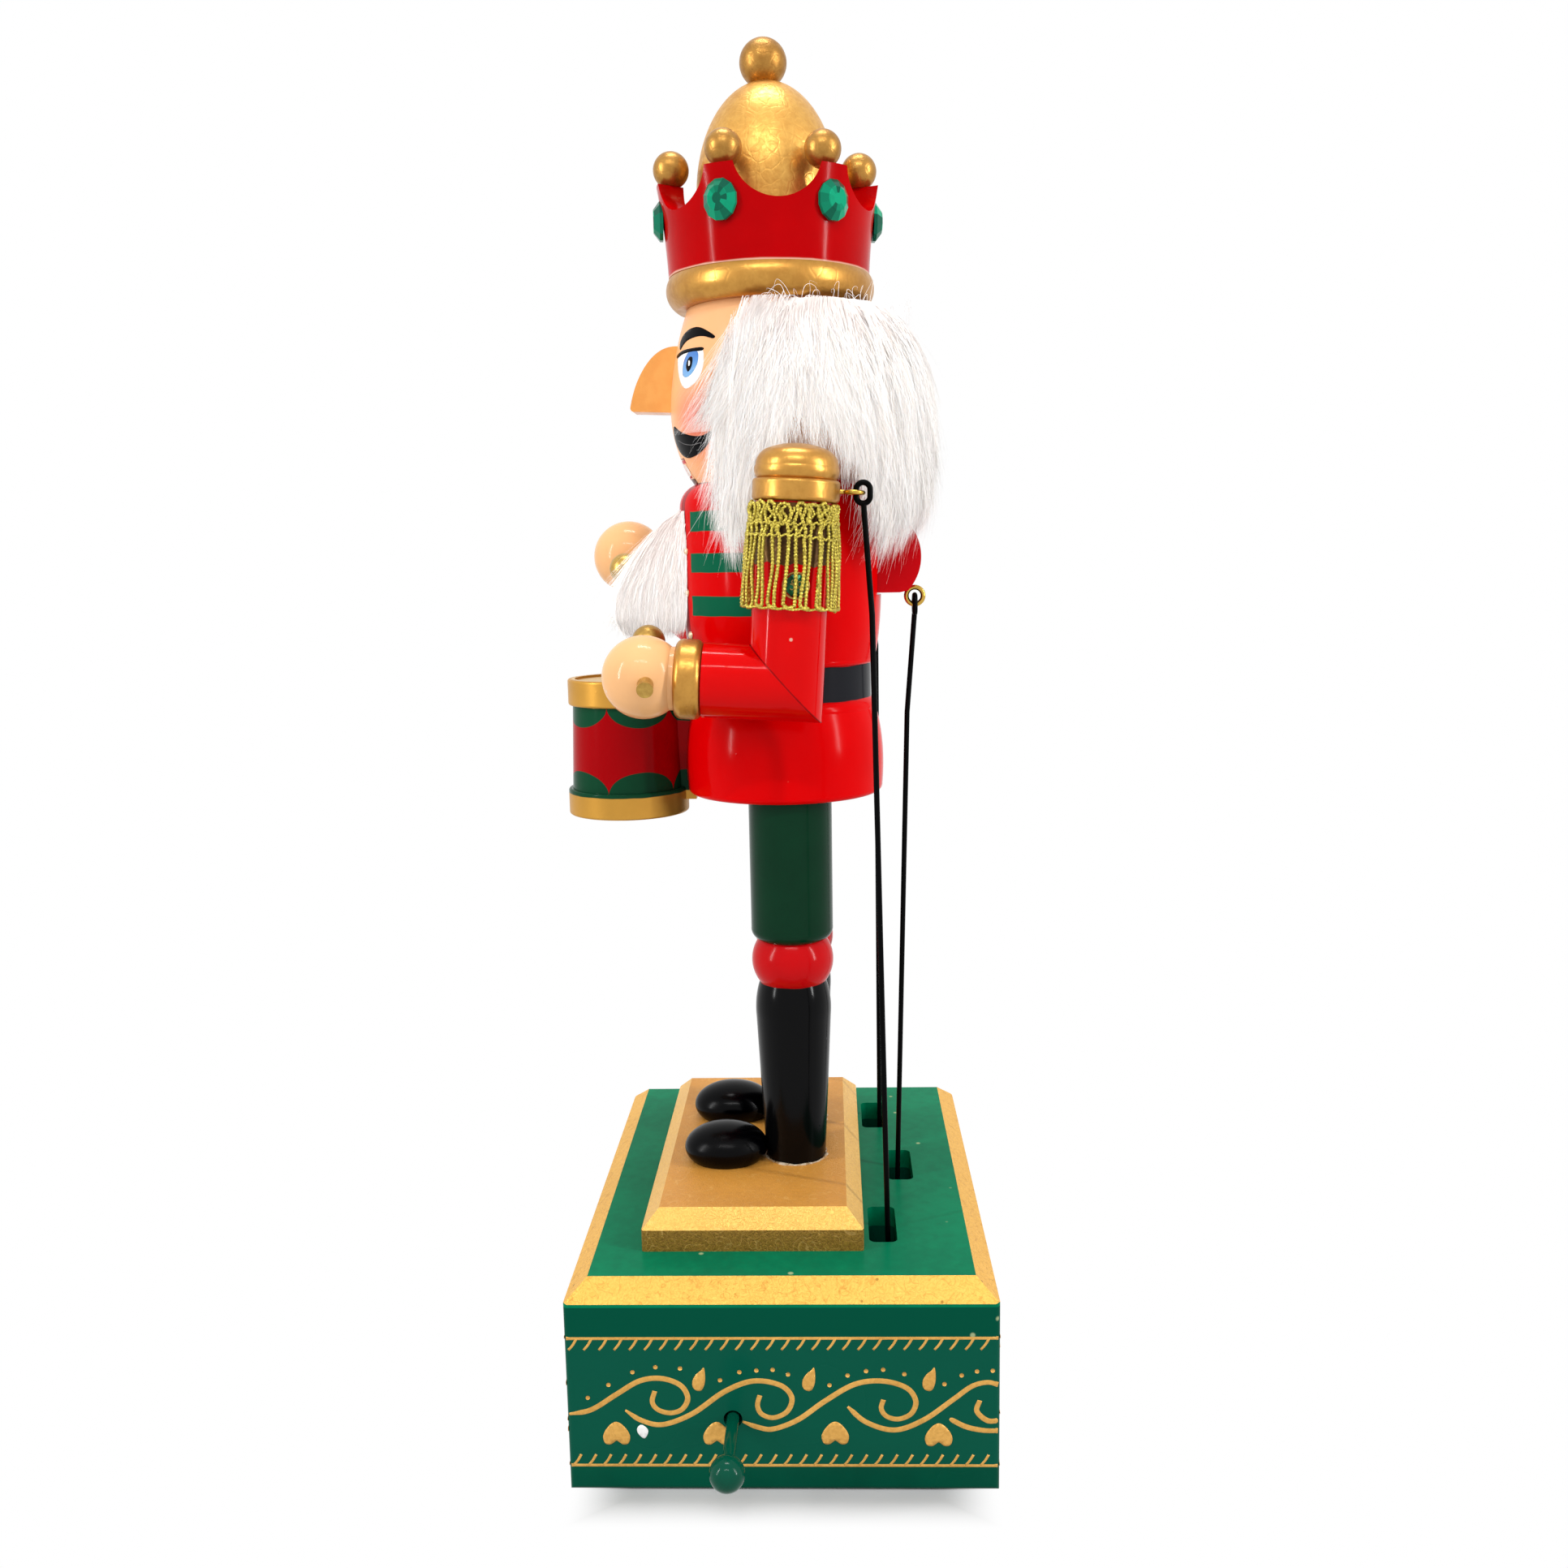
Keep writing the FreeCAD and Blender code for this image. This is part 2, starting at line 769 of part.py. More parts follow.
def beard(lever, body_form, face_form):
    """The beard's plain form, which hangs from the chin and rides on the jaw lever."""
    top = head_z + beard_over_chin
    low = top - beard_length
    chin_y = head_y - head_foot_r
    front = -beard_reach
    start = (chin_y, top)
    steps = [[(chin_y - 7.8, top - 5.0), (front + 8.0, top - 15.0), (front + 3.0, top - 27.0), (front, top - 36.0)],
             [(front + 1.5, low + 1.5), (front + 5.0, low)],
             [(front + 10.0, low + 3.5)],
             [(chin_y - 6.0, top - 18.0)],
             [(chin_y - 2.8, top - 9.0)]]
    side = side_prism(start, steps, -beard_half_width, beard_half_width)
    narrow = beard_half_width - beard_narrowing
    widest = top - beard_length * 0.34
    front_wire = closed_wire((-narrow, top), [[(narrow, top)], [(beard_half_width, widest)],
                                              [(0, low - 1.0), (-beard_half_width, widest)]],
                             lambda x, z: V(x, -base_width, z))
    outline = Part.Face(front_wire).extrude(V(0, base_width, 0))
    clear_body = Part.makeCylinder(coat_r + swing_gap, head_z - skirt_z + 6.0, V(0, torso_y, skirt_z), ALONG_Z)
    root_y = torso_y - coat_r - beard_root / 2
    half = jaw_half_width - 1.0
    root = block(-half, half, root_y, root_y + 2 * beard_root, top - 3 * beard_root, top - beard_root)
    form = side.common(outline).cut(clear_body)
    return without(form.fuse(root), [lever, face_form_clear(face_form)])


def face_form_clear(face_form):
    """The head grown by the swing gap, so that the beard clears it."""
    grown = face_form.copy()
    scale = FreeCAD.Matrix()
    share = (head_r + swing_gap) / head_r
    scale.scale(V(share, share, 1.0))
    return grown.transformGeometry(scale).translate(V(0, 0, swing_gap))


def drum(body_form):
    """A slightly tapered block with a hoop at each end, cut to the skirt and pegged to it."""
    y = torso_y - skirt_r - hoop_r + 0.2
    top_r = hoop_r - drum_taper
    rise = drum_height - hoop_height
    steps = [[(hoop_r - 0.7, 0)],
             [(hoop_r - 0.2, 0.2), (hoop_r, 0.7)],
             [(hoop_r, hoop_height - 0.7)],
             [(hoop_r - 0.2, hoop_height - 0.2), (hoop_r - 0.7, hoop_height)],
             [(drum_r, hoop_height)],
             [(drum_r - drum_taper, rise)],
             [(top_r - 0.7, rise)],
             [(top_r - 0.2, rise + 0.2), (top_r, rise + 0.7)],
             [(top_r, drum_height - 0.7)],
             [(top_r - 0.2, drum_height - 0.2), (top_r - 0.7, drum_height)],
             [(top_r - 2.2, drum_height)],
             [(top_r - 2.2, drum_height - drum_recess)],
             [(0, drum_height - drum_recess)]]
    block_form = turned((0, 0), steps, 0, y, drum_z).cut(body_form)
    return joined([block_form, drum_peg(), drum_spacer(body_form)])


def drum_peg():
    peg_z = drum_z + drum_height * 0.45
    front = torso_y - skirt_r - hoop_r / 2
    return bar_y(drum_peg_r, front, torso_y - skirt_r + drum_peg_depth, 0, peg_z)


def drum_spacer(body_form):
    """The upright strip between the drum's hoops that closes the gap to the skirt."""
    front = torso_y - skirt_r - hoop_r / 2
    strip = block(-drum_spacer_half, drum_spacer_half, front, torso_y - skirt_r + 3.0,
                  drum_z + hoop_height / 2, drum_z + drum_height - hoop_height / 2)
    return strip.cut(body_form)


# Arms

def at_arm(shape, side, lift):
    """Places a shape of the arm's own frame, with the hand raised by an angle."""
    shape = shape.copy()
    shape.rotate(ORIGIN, ALONG_X, -lift)
    shape.translate(V(side * arm_x, arm_pivot_y, arm_pivot_z))
    return shape


def mitre_side():
    """The half-space above the elbow's mitre, as a large prism."""
    far = 80.0
    start = (sleeve_y - far, -forearm_drop + far)
    steps = [[(sleeve_y + far, -forearm_drop - far)], [(sleeve_y + 3 * far, -forearm_drop + far)],
             [(sleeve_y + far, -forearm_drop + 3 * far)]]
    return side_prism(start, steps, -far, far)


def arm_pieces(side, stick_tip, stick_end):
    """One arm's eight pieces in the arm's own frame, with +X outwards for the left arm."""
    mitre = mitre_side()
    hole = bar_x(pivot_r + running_fit, -arm_x, arm_x, 0, 0)
    head_hole = bar_x(pivot_head_r + swing_gap, sleeve_r - pivot_head - 2 * swing_gap, sleeve_r + 2, 0, 0)
    if side < 0:
        head_hole = head_hole.mirror(ORIGIN, ALONG_X)
    sleeve = bar_z(sleeve_r, -forearm_drop - 2 * sleeve_r, sleeve_top, 0, sleeve_y).common(mitre)
    wrist_y = sleeve_y - forearm_length
    forearm = bar_y(sleeve_r, wrist_y, sleeve_y + 2 * sleeve_r, 0, -forearm_drop).cut(mitre)
    cuff = bar_y(cuff_r, wrist_y - cuff_length, wrist_y, 0, -forearm_drop)
    cuff = cuff.makeFillet(cuff_round, [edge for edge in cuff.Edges if edge.Curve.TypeId == "Part::GeomCircle"])
    palm_y = wrist_y - cuff_length - hand_out
    palm = V(0, palm_y, -forearm_drop)
    hand = joined([Part.makeSphere(hand_r, palm), bar_y(hand_neck_r, palm_y, wrist_y - cuff_length, 0, -forearm_drop)])
    hand = hand.cut(block(-hand_r, hand_r, wrist_y - cuff_length, 0, -forearm_drop - hand_r, -forearm_drop + hand_r))
    tip = palm + V(*stick_tip)
    end = palm + V(*stick_end)
    shaft = bar_between(stick_r, end, tip)
    stick = joined([shaft, Part.makeSphere(stick_ball_r, tip)])
    eye = screw_eye()
    cap = shoulder_cap().cut(eye)
    return {"upper_arm": without(sleeve, [hole, head_hole]), "forearm": forearm, "cuff": cuff,
            "hand": hand.cut(shaft), "shoulder_cap": cap, "fringe": fringe(side), "drumstick": stick,
            "screw_eye": eye}


def shoulder_cap():
    """A turned gold cap: a straight band and a flattened dome above a fine groove."""
    steps = [[(cap_r - 1.0, 0)],
             [(cap_r - 0.3, 0.4), (cap_r, 1.4)],
             [(cap_r, cap_band - 1.2)],
             [(cap_r - 0.2, cap_band - 0.4), (cap_r - 0.8, cap_band)],
             [(cap_r - 1.2, cap_band)],
             [(cap_r - 0.5, cap_band + 1.2), (cap_r - 0.6, cap_band + 3.6)],
             [(cap_r - 1.3, cap_band + cap_dome * 0.62), (cap_r - 3.4, cap_band + cap_dome * 0.82)],
             flat_dome(cap_r - 3.4, cap_band + cap_dome * 0.82, cap_band + cap_dome)]
    return turned((0, 0), steps, 0, 0, sleeve_top)


def flat_dome(edge_r, edge_z, top_z):
    """The arc of a shallow dome from its edge to its top on the axis."""
    rise = top_z - edge_z
    radius = (edge_r ** 2 + rise ** 2) / (2 * rise)
    middle_r = edge_r / 2
    middle_z = top_z - radius + math.sqrt(radius ** 2 - middle_r ** 2)
    return [(middle_r, middle_z), (0, top_z)]


def fringe(side):
    """The fringe's plain form, wrapped round the sleeve except towards the body."""
    inner = sleeve_r + fringe_inner_gap
    steps = [[(fringe_hem_r, 0)], [(fringe_top_r, fringe_length)], [(inner, fringe_length)]]
    skirt = turned((inner, 0), steps, 0, sleeve_y, sleeve_top - fringe_length)
    inside = block(-arm_x, -fringe_side, -arm_x, arm_x, -base_height, base_height)
    if side < 0:
        inside = inside.mirror(ORIGIN, ALONG_X)
    return skirt.cut(inside)


def screw_eye():
    """The gold eye behind the shoulder, its ring lying flat."""
    ring = Part.makeTorus(eye_ring_r, eye_wire_r, V(0, eye_y - eye_ring_r, eye_z), ALONG_Z)
    front = eye_y - 2 * eye_ring_r
    return joined([ring, bar_y(eye_wire_r, front - eye_screw, front, 0, eye_z)])


def arm_pin(side):
    """The pin that an arm turns on, driven into the torso, with its flat head let into the sleeve."""
    outer = arm_x + sleeve_r - 2 * swing_gap
    pin = joined([bar_x(pivot_r, pivot_end, outer, arm_pivot_y, arm_pivot_z),
                  bar_x(pivot_head_r, outer - pivot_head, outer, arm_pivot_y, arm_pivot_z)])
    if side < 0:
        pin = pin.mirror(ORIGIN, ALONG_X)
    return pin


def jaw_pin_space():
    return bar_x(jaw_pin_r, -jaw_pin_half, jaw_pin_half, jaw_pivot_y, jaw_pivot_z)


def pivot_pins():
    """The fixed pins of the arms, the jaw and the follower levers, as one group of separate solids."""
    lever_shaft = bar_x(lever_shaft_r, -frame_half_length, frame_half_length, lever_pivot_y, lever_pivot_z)
    return [arm_pin(1), arm_pin(-1), jaw_pin_space(), lever_shaft]


# Rod and lever motion, worked out in the side view

def eye_place(lift):
    """Where an arm's screw eye holds the rod, for a raised hand, as (y, z)."""
    turn = math.radians(-lift)
    y = eye_y * math.cos(turn) - eye_z * math.sin(turn)
    z = eye_y * math.sin(turn) + eye_z * math.cos(turn)
    return arm_pivot_y + y, arm_pivot_z + z


def jaw_eye_place(opening):
    """Where the jaw's screw eye holds the rod, for an open jaw, as (y, z)."""
    turn = math.radians(opening)
    hold_y = jaw_eye_y
    hold_z = jaw_eye_z - jaw_eye_ring_r
    y = hold_y * math.cos(turn) - hold_z * math.sin(turn)
    z = hold_y * math.sin(turn) + hold_z * math.cos(turn)
    return jaw_pivot_y + y, jaw_pivot_z + z


def linkage(top_a, top_b, hook_y):
    """Rod length, rod tilts, hook heights and lever angles for the two ends of the travel.

    The rod's hook is at hook_y at both ends. Angles are in degrees, and a lever's angle is above the level.
    """
    middle_z = lever_pivot_z
    reach = hook_y - lever_pivot_y
    travel = top_a[1] - top_b[1]
    lever_angle = math.degrees(math.atan(abs(travel) / 2 / reach))
    high = max(top_a, top_b, key=lambda top: top[1])
    hook_z = middle_z + abs(travel) / 2
    length = math.hypot(high[0] - hook_y, high[1] - hook_z)
    tilt_a = math.degrees(math.asin((hook_y - top_a[0]) / length))
    tilt_b = math.degrees(math.asin((hook_y - top_b[0]) / length))
    sign = 1 if travel > 0 else -1
    return {"length": length, "tilt_a": tilt_a, "tilt_b": tilt_b, "lever_a": sign * lever_angle,
            "lever_b": -sign * lever_angle, "hook_z": top_a[1] - length * math.cos(math.radians(tilt_a)),
            "lever_reach": reach / math.cos(math.radians(lever_angle))}


def linkages():
    """The three linkages from their rest pose to half a turn of the camshaft."""
    low = arm_low
    high = arm_low + arm_swing
    return {"left": linkage(eye_place(low), eye_place(high), arm_hook_y),
            "right": linkage(eye_place(high), eye_place(low), arm_hook_y),
            "jaw": linkage(jaw_eye_place(0), jaw_eye_place(jaw_swing), jaw_hook_y)}


def rod(x, inward, top, link, hook_y, kink_shift, loop_turn):
    """A black wire rod: a closed loop in the screw eye, a slight set below it and a hook at the foot."""
    hold = V(x, top[0], top[1])
    foot = V(x, hook_y, link["hook_z"])
    down = (foot - hold).normalize()
    half = loop_straight / 2
    loop_low = hold + down * (half + loop_half_width)
    ring = wire_loop().copy()
    ring.rotate(ORIGIN, ALONG_Z, loop_turn)
    ring.translate(hold)
    kink = hold + down * rod_kink + V(0, kink_shift, 0)
    toe = foot + V(inward * hook_length, 0, 0)
    return joined([ring, bar_between(rod_r, loop_low, kink), Part.makeSphere(rod_r, kink),
                   bar_between(rod_r, kink, foot), Part.makeSphere(rod_r, foot), bar_between(rod_r, foot, toe)])


def wire_loop():
    """An upright closed loop of wire about the origin, in the plane across X."""
    half = loop_straight / 2
    pieces = []
    for end in (-1, 1):
        arc = Part.makeTorus(loop_half_width, rod_r, V(0, 0, end * half), ALONG_X)
        beyond = block(-9, 9, -9, 9, end * half, 9) if end > 0 else block(-9, 9, -9, 9, -9, end * half)
        pieces.append(arc.common(beyond))
        pieces.append(bar_z(rod_r, -half, half, 0, end * loop_half_width))
    return joined(pieces)


def lever(x, angle, reach):
    """A follower lever at its rest angle: hub, bar, roller and a long eye for the rod's hook."""
    left = x - lever_half_width
    right = x + lever_half_width
    hub = bar_x(lever_hub_r, left, right, 0, 0)
    tip = bar_x(lever_tip_r, left, right, reach, 0)
    bar = block(left, right, 0, reach, -lever_half_height, lever_half_height)
    roller = bar_x(roller_r, left, right, roller_y, 0)
    body = joined([hub, bar, tip, roller])
    body = body.cut(bar_x(lever_shaft_r + running_fit, left - 1, right + 1, 0, 0))
    slot_half = rod_r + hook_gap
    for shift in (-hook_gap, hook_gap):
        body = body.cut(bar_x(slot_half, left - 1, right + 1, reach + shift, 0))
    body = body.cut(block(left - 1, right + 1, reach - hook_gap, reach + hook_gap, -slot_half, slot_half))
    body.rotate(ORIGIN, ALONG_X, angle)
    return body.translate(V(0, lever_pivot_y, lever_pivot_z))


# Movement in the base

def pitch_radius(teeth):
    return gear_module * teeth / 2


def cam_z():
    """Height of the camshaft, which lies one gear centre distance from the cylinder."""
    distance = pitch_radius(cylinder_teeth) + pitch_radius(cam_teeth)
    return train_z + math.sqrt(distance ** 2 - (cam_y - cylinder_y) ** 2)


def governor_place():
    """The governor wheel's axis, in mesh with both the cylinder and the fly, as (y, z)."""
    from_cylinder = pitch_radius(cylinder_teeth) + pitch_radius(pinion_teeth)
    from_fly = pitch_radius(governor_teeth) + pitch_radius(pinion_teeth)
    dy = fly_y - cylinder_y
    dz = fly_z - train_z
    apart = math.hypot(dy, dz)
    along = (from_cylinder ** 2 - from_fly ** 2 + apart ** 2) / (2 * apart)
    across = math.sqrt(from_cylinder ** 2 - along ** 2)
    y = cylinder_y + along * dy / apart + across * dz / apart
    z = train_z + along * dz / apart - across * dy / apart
    return y, z


def mesh_phase(place_1, teeth_1, phase_1, place_2, teeth_2):
    """The angle of a tooth of the second wheel that puts it in mesh with the first."""
    line = math.atan2(place_2[1] - place_1[1], place_2[0] - place_1[0])
    share = (line - phase_1) * teeth_1 / (2 * math.pi)
    return line + math.pi - (2 * math.pi / teeth_2) * (0.5 - share)


def involute_point(base_r, r, half_angle, side):
    """A point of a tooth's flank at radius r."""
    roll = math.sqrt(max((r / base_r) ** 2 - 1.0, 0.0))
    turn = half_angle - (roll - math.atan(roll))
    return r, side * turn


def gear(teeth, phase, x0, x1, place):
    """A spur wheel along X with involute teeth and running backlash."""
    pitch_r = pitch_radius(teeth)
    pressure = math.radians(20)
    base_r = pitch_r * math.cos(pressure)
    tip_r = pitch_r + tooth_height * gear_module
    root_r = pitch_r - root_depth * gear_module
    roll = math.tan(pressure) - pressure
    half_angle = math.pi / (2 * teeth) - backlash / (2 * pitch_r) + roll
    low = max(base_r, root_r)
    radii = [low, (low + pitch_r) / 2, pitch_r, tip_r]
    points = []
    for tooth in range(teeth):
        centre = phase + tooth * 2 * math.pi / teeth
        rising = [involute_point(base_r, r, half_angle, -1) for r in radii]
        falling = [involute_point(base_r, r, half_angle, 1) for r in reversed(radii)]
        flank = [(root_r, rising[0][1])] + rising + falling + [(root_r, falling[-1][1])]
        points += [(r * math.cos(centre + a), r * math.sin(centre + a)) for r, a in flank]
    vectors = [V(x0, place[0] + y, place[1] + z) for y, z in points]
    face = Part.Face(Part.makePolygon(vectors + vectors[:1]))
    return face.extrude(V(x1 - x0, 0, 0))


def train_places():
    """Axis and tooth angle of each wheel of the train, in mesh at rest."""
    barrel = (barrel_y, train_z)
    cylinder = (cylinder_y, train_z)
    cam = (cam_y, cam_z())
    governor = governor_place()
    fly = (fly_y, fly_z)
    pinion_phase = mesh_phase(barrel, barrel_teeth, 0.0, cylinder, cylinder_pinion_teeth)
    cam_phase = mesh_phase(cylinder, cylinder_teeth, 0.0, cam, cam_teeth)
    small_phase = mesh_phase(cylinder, cylinder_teeth, 0.0, governor, pinion_teeth)
    fly_phase = mesh_phase(governor, governor_teeth, 0.0, fly, pinion_teeth)
    return {"barrel": (barrel, 0.0), "cylinder_pinion": (cylinder, pinion_phase), "cylinder": (cylinder, 0.0),
            "cam": (cam, cam_phase), "governor_pinion": (governor, small_phase), "governor": (governor, 0.0),
            "fly": (fly, fly_phase)}


def train_ratios():
    """Turns of each shaft for one turn of the camshaft, all about +X."""
    cylinder = -cam_teeth / cylinder_teeth
    governor = -cylinder * cylinder_teeth / pinion_teeth
    return {"note_cylinder": cylinder, "spring_barrel": -cylinder * cylinder_pinion_teeth / barrel_teeth,
            "governor_wheel": governor, "governor_fly": -governor * governor_teeth / pinion_teeth}


def spring_barrel(places):
    """The open-backed barrel that holds the mainspring, with the great wheel beside it."""
    place, phase = places["barrel"]
    end = barrel_x + barrel_length
    wheel_x = cylinder_wheel_x()
    steps = [[(end - barrel_wall, barrel_r - barrel_wall)],
             [(end - barrel_wall, arbor_r + running_fit)],
             [(wheel_x + gear_width, arbor_r + running_fit)],
             [(wheel_x + gear_width, arbor_r + 3.0)],
             [(end, arbor_r + 3.0)],
             [(end, barrel_r)],
             [(barrel_x, barrel_r)]]
    drum_form = turned_along_x((barrel_x, barrel_r - barrel_wall), steps, *place)
    wheel = gear(barrel_teeth, phase, wheel_x, wheel_x + gear_width, place)
    wheel = wheel.cut(bar_x(arbor_r + running_fit, wheel_x - 1, wheel_x + gear_width + 1, *place))
    return joined([drum_form, wheel])


def cylinder_wheel_x():
    """Where the great wheel and the cylinder's pinion run."""
    return barrel_x + barrel_length + 1.0


def mainspring():
    """A coiled strip of half circles, its outer end on the barrel and its inner end just off the arbor."""
    x0 = barrel_x + 2.0
    width = barrel_length - barrel_wall - 4.0
    radius = arbor_r + running_fit + spring_thick / 2
    outer_r = barrel_r - barrel_wall - spring_thick / 2
    growth = (outer_r - radius) / (2 * spring_turns)
    centre = barrel_y
    side = 1
    outer_edges = []
    inner_edges = []
    for half_turn in range(2 * spring_turns):
        for offset, edges in ((spring_thick / 2, outer_edges), (-spring_thick / 2, inner_edges)):
            r = radius + offset
            points = [V(x0, centre + side * r, train_z), V(x0, centre, train_z + side * r),
                      V(x0, centre - side * r, train_z)]
            edges.append(Part.Arc(*points).toShape())
        centre += side * growth
        radius += growth
        side = -side
    ends = [Part.makeLine(V(x0, barrel_y + r, train_z), V(x0, barrel_y + r + spring_thick, train_z))
            for r in (arbor_r + running_fit, outer_r - spring_thick / 2)]
    edges = outer_edges + inner_edges + ends
    face = Part.Face(Part.Wire(Part.__sortEdges__(edges)))
    return face.extrude(V(width, 0, 0))


def winding_arbor():
    """The steel arbor from the spring out through the right wall, with its key square."""
    outer = -base_length / 2 - key_gap - key_hub_length / 2
    return bar_x(arbor_r, outer, cylinder_wheel_x() + gear_width + 0.5, barrel_y, train_z)


def winding_key(arbor):
    """A butterfly key: a hub with a flat wing that has two holes."""
    near = -base_length / 2 - key_gap
    hub = bar_x(key_hub_r, near - key_hub_length, near, barrel_y, train_z)
    half = key_wing_thick / 2
    centre_x = near - key_hub_length - key_wing_r * 0.35
    wings = []
    for side in (-1, 1):
        y = barrel_y + side * key_wing_r * 0.55
        disc = bar_z(key_wing_r * 0.62, train_z - half, train_z + half, centre_x, y)
        wings.append(disc.cut(bar_z(key_hole_r, train_z - 2 * half, train_z + 2 * half, centre_x, y)))
    web = block(centre_x, near - key_hub_length * 0.5, barrel_y - key_hub_r, barrel_y + key_hub_r,
                train_z - half, train_z + half)
    return joined([hub, web] + wings).cut(arbor)


def note_cylinder(places):
    """The pinned cylinder on its arbor, with its pinion on the right and its wheel on the left."""
    centre, phase = places["cylinder_pinion"]
    wheel_x = cylinder_end_wheel_x()
    shaft = bar_x(shaft_r - 0.5, -frame_half_length, inner_plate_x + plate, *centre)
    drum_form = bar_x(cylinder_r, cylinder_x, cylinder_x + cylinder_length, *centre)
    pinion = gear(cylinder_pinion_teeth, phase, cylinder_wheel_x(), cylinder_wheel_x() + gear_width, centre)
    wheel = gear(cylinder_teeth, places["cylinder"][1], wheel_x, wheel_x + gear_width, centre)
    pins = []
    pitch = (cylinder_length - 4.0) / (notes - 1)
    for note in range(notes):
        for index in range(pins_per_note):
            angle = math.radians(note * 67.0 + index * 360.0 / pins_per_note)
            outward = V(0, math.cos(angle), math.sin(angle))
            start = V(cylinder_x + 2.0 + note * pitch, *centre) + outward * (cylinder_r - 0.5)
            pins.append(Part.makeCylinder(note_pin_r, note_pin_out + 0.5, start, outward))
    solid = drum_form.fuse(pins)
    return joined([solid, shaft, pinion, wheel])


def cylinder_end_wheel_x():
    return inner_plate_x - 2.0 - gear_width


def comb():
    """The steel comb: one tooth for each note, thinner towards the cylinder."""
    tip_y = cylinder_y - cylinder_r - note_pin_out - comb_gap
    back_y = tip_y - comb_depth
    pitch = (cylinder_length - 4.0) / (notes - 1)
    x0 = cylinder_x + 2.0 - pitch / 2
    x1 = x0 + notes * pitch
    steps = [[(tip_y, train_z + 0.3)], [(back_y + comb_back, train_z + comb_thick / 2)],
             [(back_y, train_z + comb_thick / 2)], [(back_y, train_z - comb_thick / 2)],
             [(tip_y, train_z - comb_thick / 2)]]
    plate_form = side_prism((tip_y, train_z - comb_thick / 2), steps[:-1], x0, x1)
    slits = [block(x0 + k * pitch - comb_slit / 2, x0 + k * pitch + comb_slit / 2, back_y + comb_back, tip_y + 1,
                   train_z - comb_thick, train_z + comb_thick) for k in range(1, notes)]
    screw_holes = [bar_z(screw_r, train_z - comb_thick, train_z + comb_thick, x0 + share * (x1 - x0),
                         back_y + comb_back / 2) for share in (0.2, 0.8)]
    return without(plate_form, slits + screw_holes)


def movement_frame(places, screws):
    """A bent plate with end plates, an inner plate and the comb's block, bored for every shaft."""
    low = bottom_board
    bed = block(-frame_half_length, frame_half_length, frame_front_y, frame_back_y, low, low + plate)
    ends = [block(x, x + plate, frame_front_y, frame_back_y, low, frame_top_z)
            for x in (-frame_half_length, frame_half_length - plate)]
    ends = [end.makeFillet(frame_round, [edge for edge in end.Edges if top_corner(edge)]) for end in ends]
    inner_front = governor_place()[0] - 5.0
    inner = block(inner_plate_x, inner_plate_x + plate, inner_front, cylinder_y + 5.0, low, train_z + 5.0)
    comb_back_y = cylinder_y - cylinder_r - note_pin_out - comb_gap - comb_depth
    rest = block(cylinder_x + 2.0, cylinder_x + cylinder_length - 2.0, comb_back_y, comb_back_y + comb_back,
                 low, train_z - comb_thick / 2)
    frame = joined([bed, inner, rest] + ends)
    far = frame_half_length + 1
    holes = [bar_x(shaft_r + running_fit, -far, far, *places["cam"][0]),
             bar_x(shaft_r - 0.5 + running_fit, -far, inner_plate_x + 2 * plate, *places["cylinder"][0]),
             bar_x(arbor_r + running_fit, -far, 0, *places["barrel"][0]),
             bar_x(governor_arbor_r + running_fit, 0, far, *places["governor"][0]),
             bar_x(governor_arbor_r + running_fit, 0, far, *places["fly"][0]),
             bar_x(lever_shaft_r, -far, far, lever_pivot_y, lever_pivot_z),
             bar_x(stop_r + running_fit, 0, far, stop_y, stop_z)]
    return without(frame, holes + screws)


def top_corner(edge):
    """True for the two short upper corners of an end plate."""
    points = [vertex.Point for vertex in edge.Vertexes]
    level = all(abs(point.z - frame_top_z) < 1e-6 for point in points)
    return level and abs(points[0].y - points[1].y) < 1e-6


def governor_wheel(places):
    centre, phase = places["governor_pinion"]
    wheel_x = cylinder_end_wheel_x()
    shaft = bar_x(governor_arbor_r, wheel_x - 1.0, frame_half_length, *centre)
    pinion = gear(pinion_teeth, phase, wheel_x - 0.5, wheel_x + gear_width + 0.5, centre)
    wheel = gear(governor_teeth, places["governor"][1], governor_x + 0.5, governor_x + 2.5, centre)
    return joined([shaft, pinion, wheel])


def governor_fly(places):
    """The fast shaft: pinion, two air vanes and the brake disc that the stop rod presses on."""
    centre, phase = places["fly"]
    shaft = bar_x(governor_arbor_r, inner_plate_x, frame_half_length, *centre)
    pinion = gear(pinion_teeth, phase, governor_x, governor_x + 3.0, centre)
    hub = bar_x(2.0, fly_x - 1.0, brake_x, *centre)
    vanes = block(fly_x, fly_x + fly_length, centre[0] - fly_half_width, centre[0] + fly_half_width,
                  centre[1] - fly_thick / 2, centre[1] + fly_thick / 2)
    disc = bar_x(brake_r, brake_x, brake_x + brake_thick, *centre)
    return joined([shaft, pinion, hub, vanes, disc])


def roller_place(lever_angle):
    """Where a lever's roller is, as (y, z)."""
    turn = math.radians(lever_angle)
    return lever_pivot_y + roller_y * math.cos(turn), lever_pivot_z + roller_y * math.sin(turn)


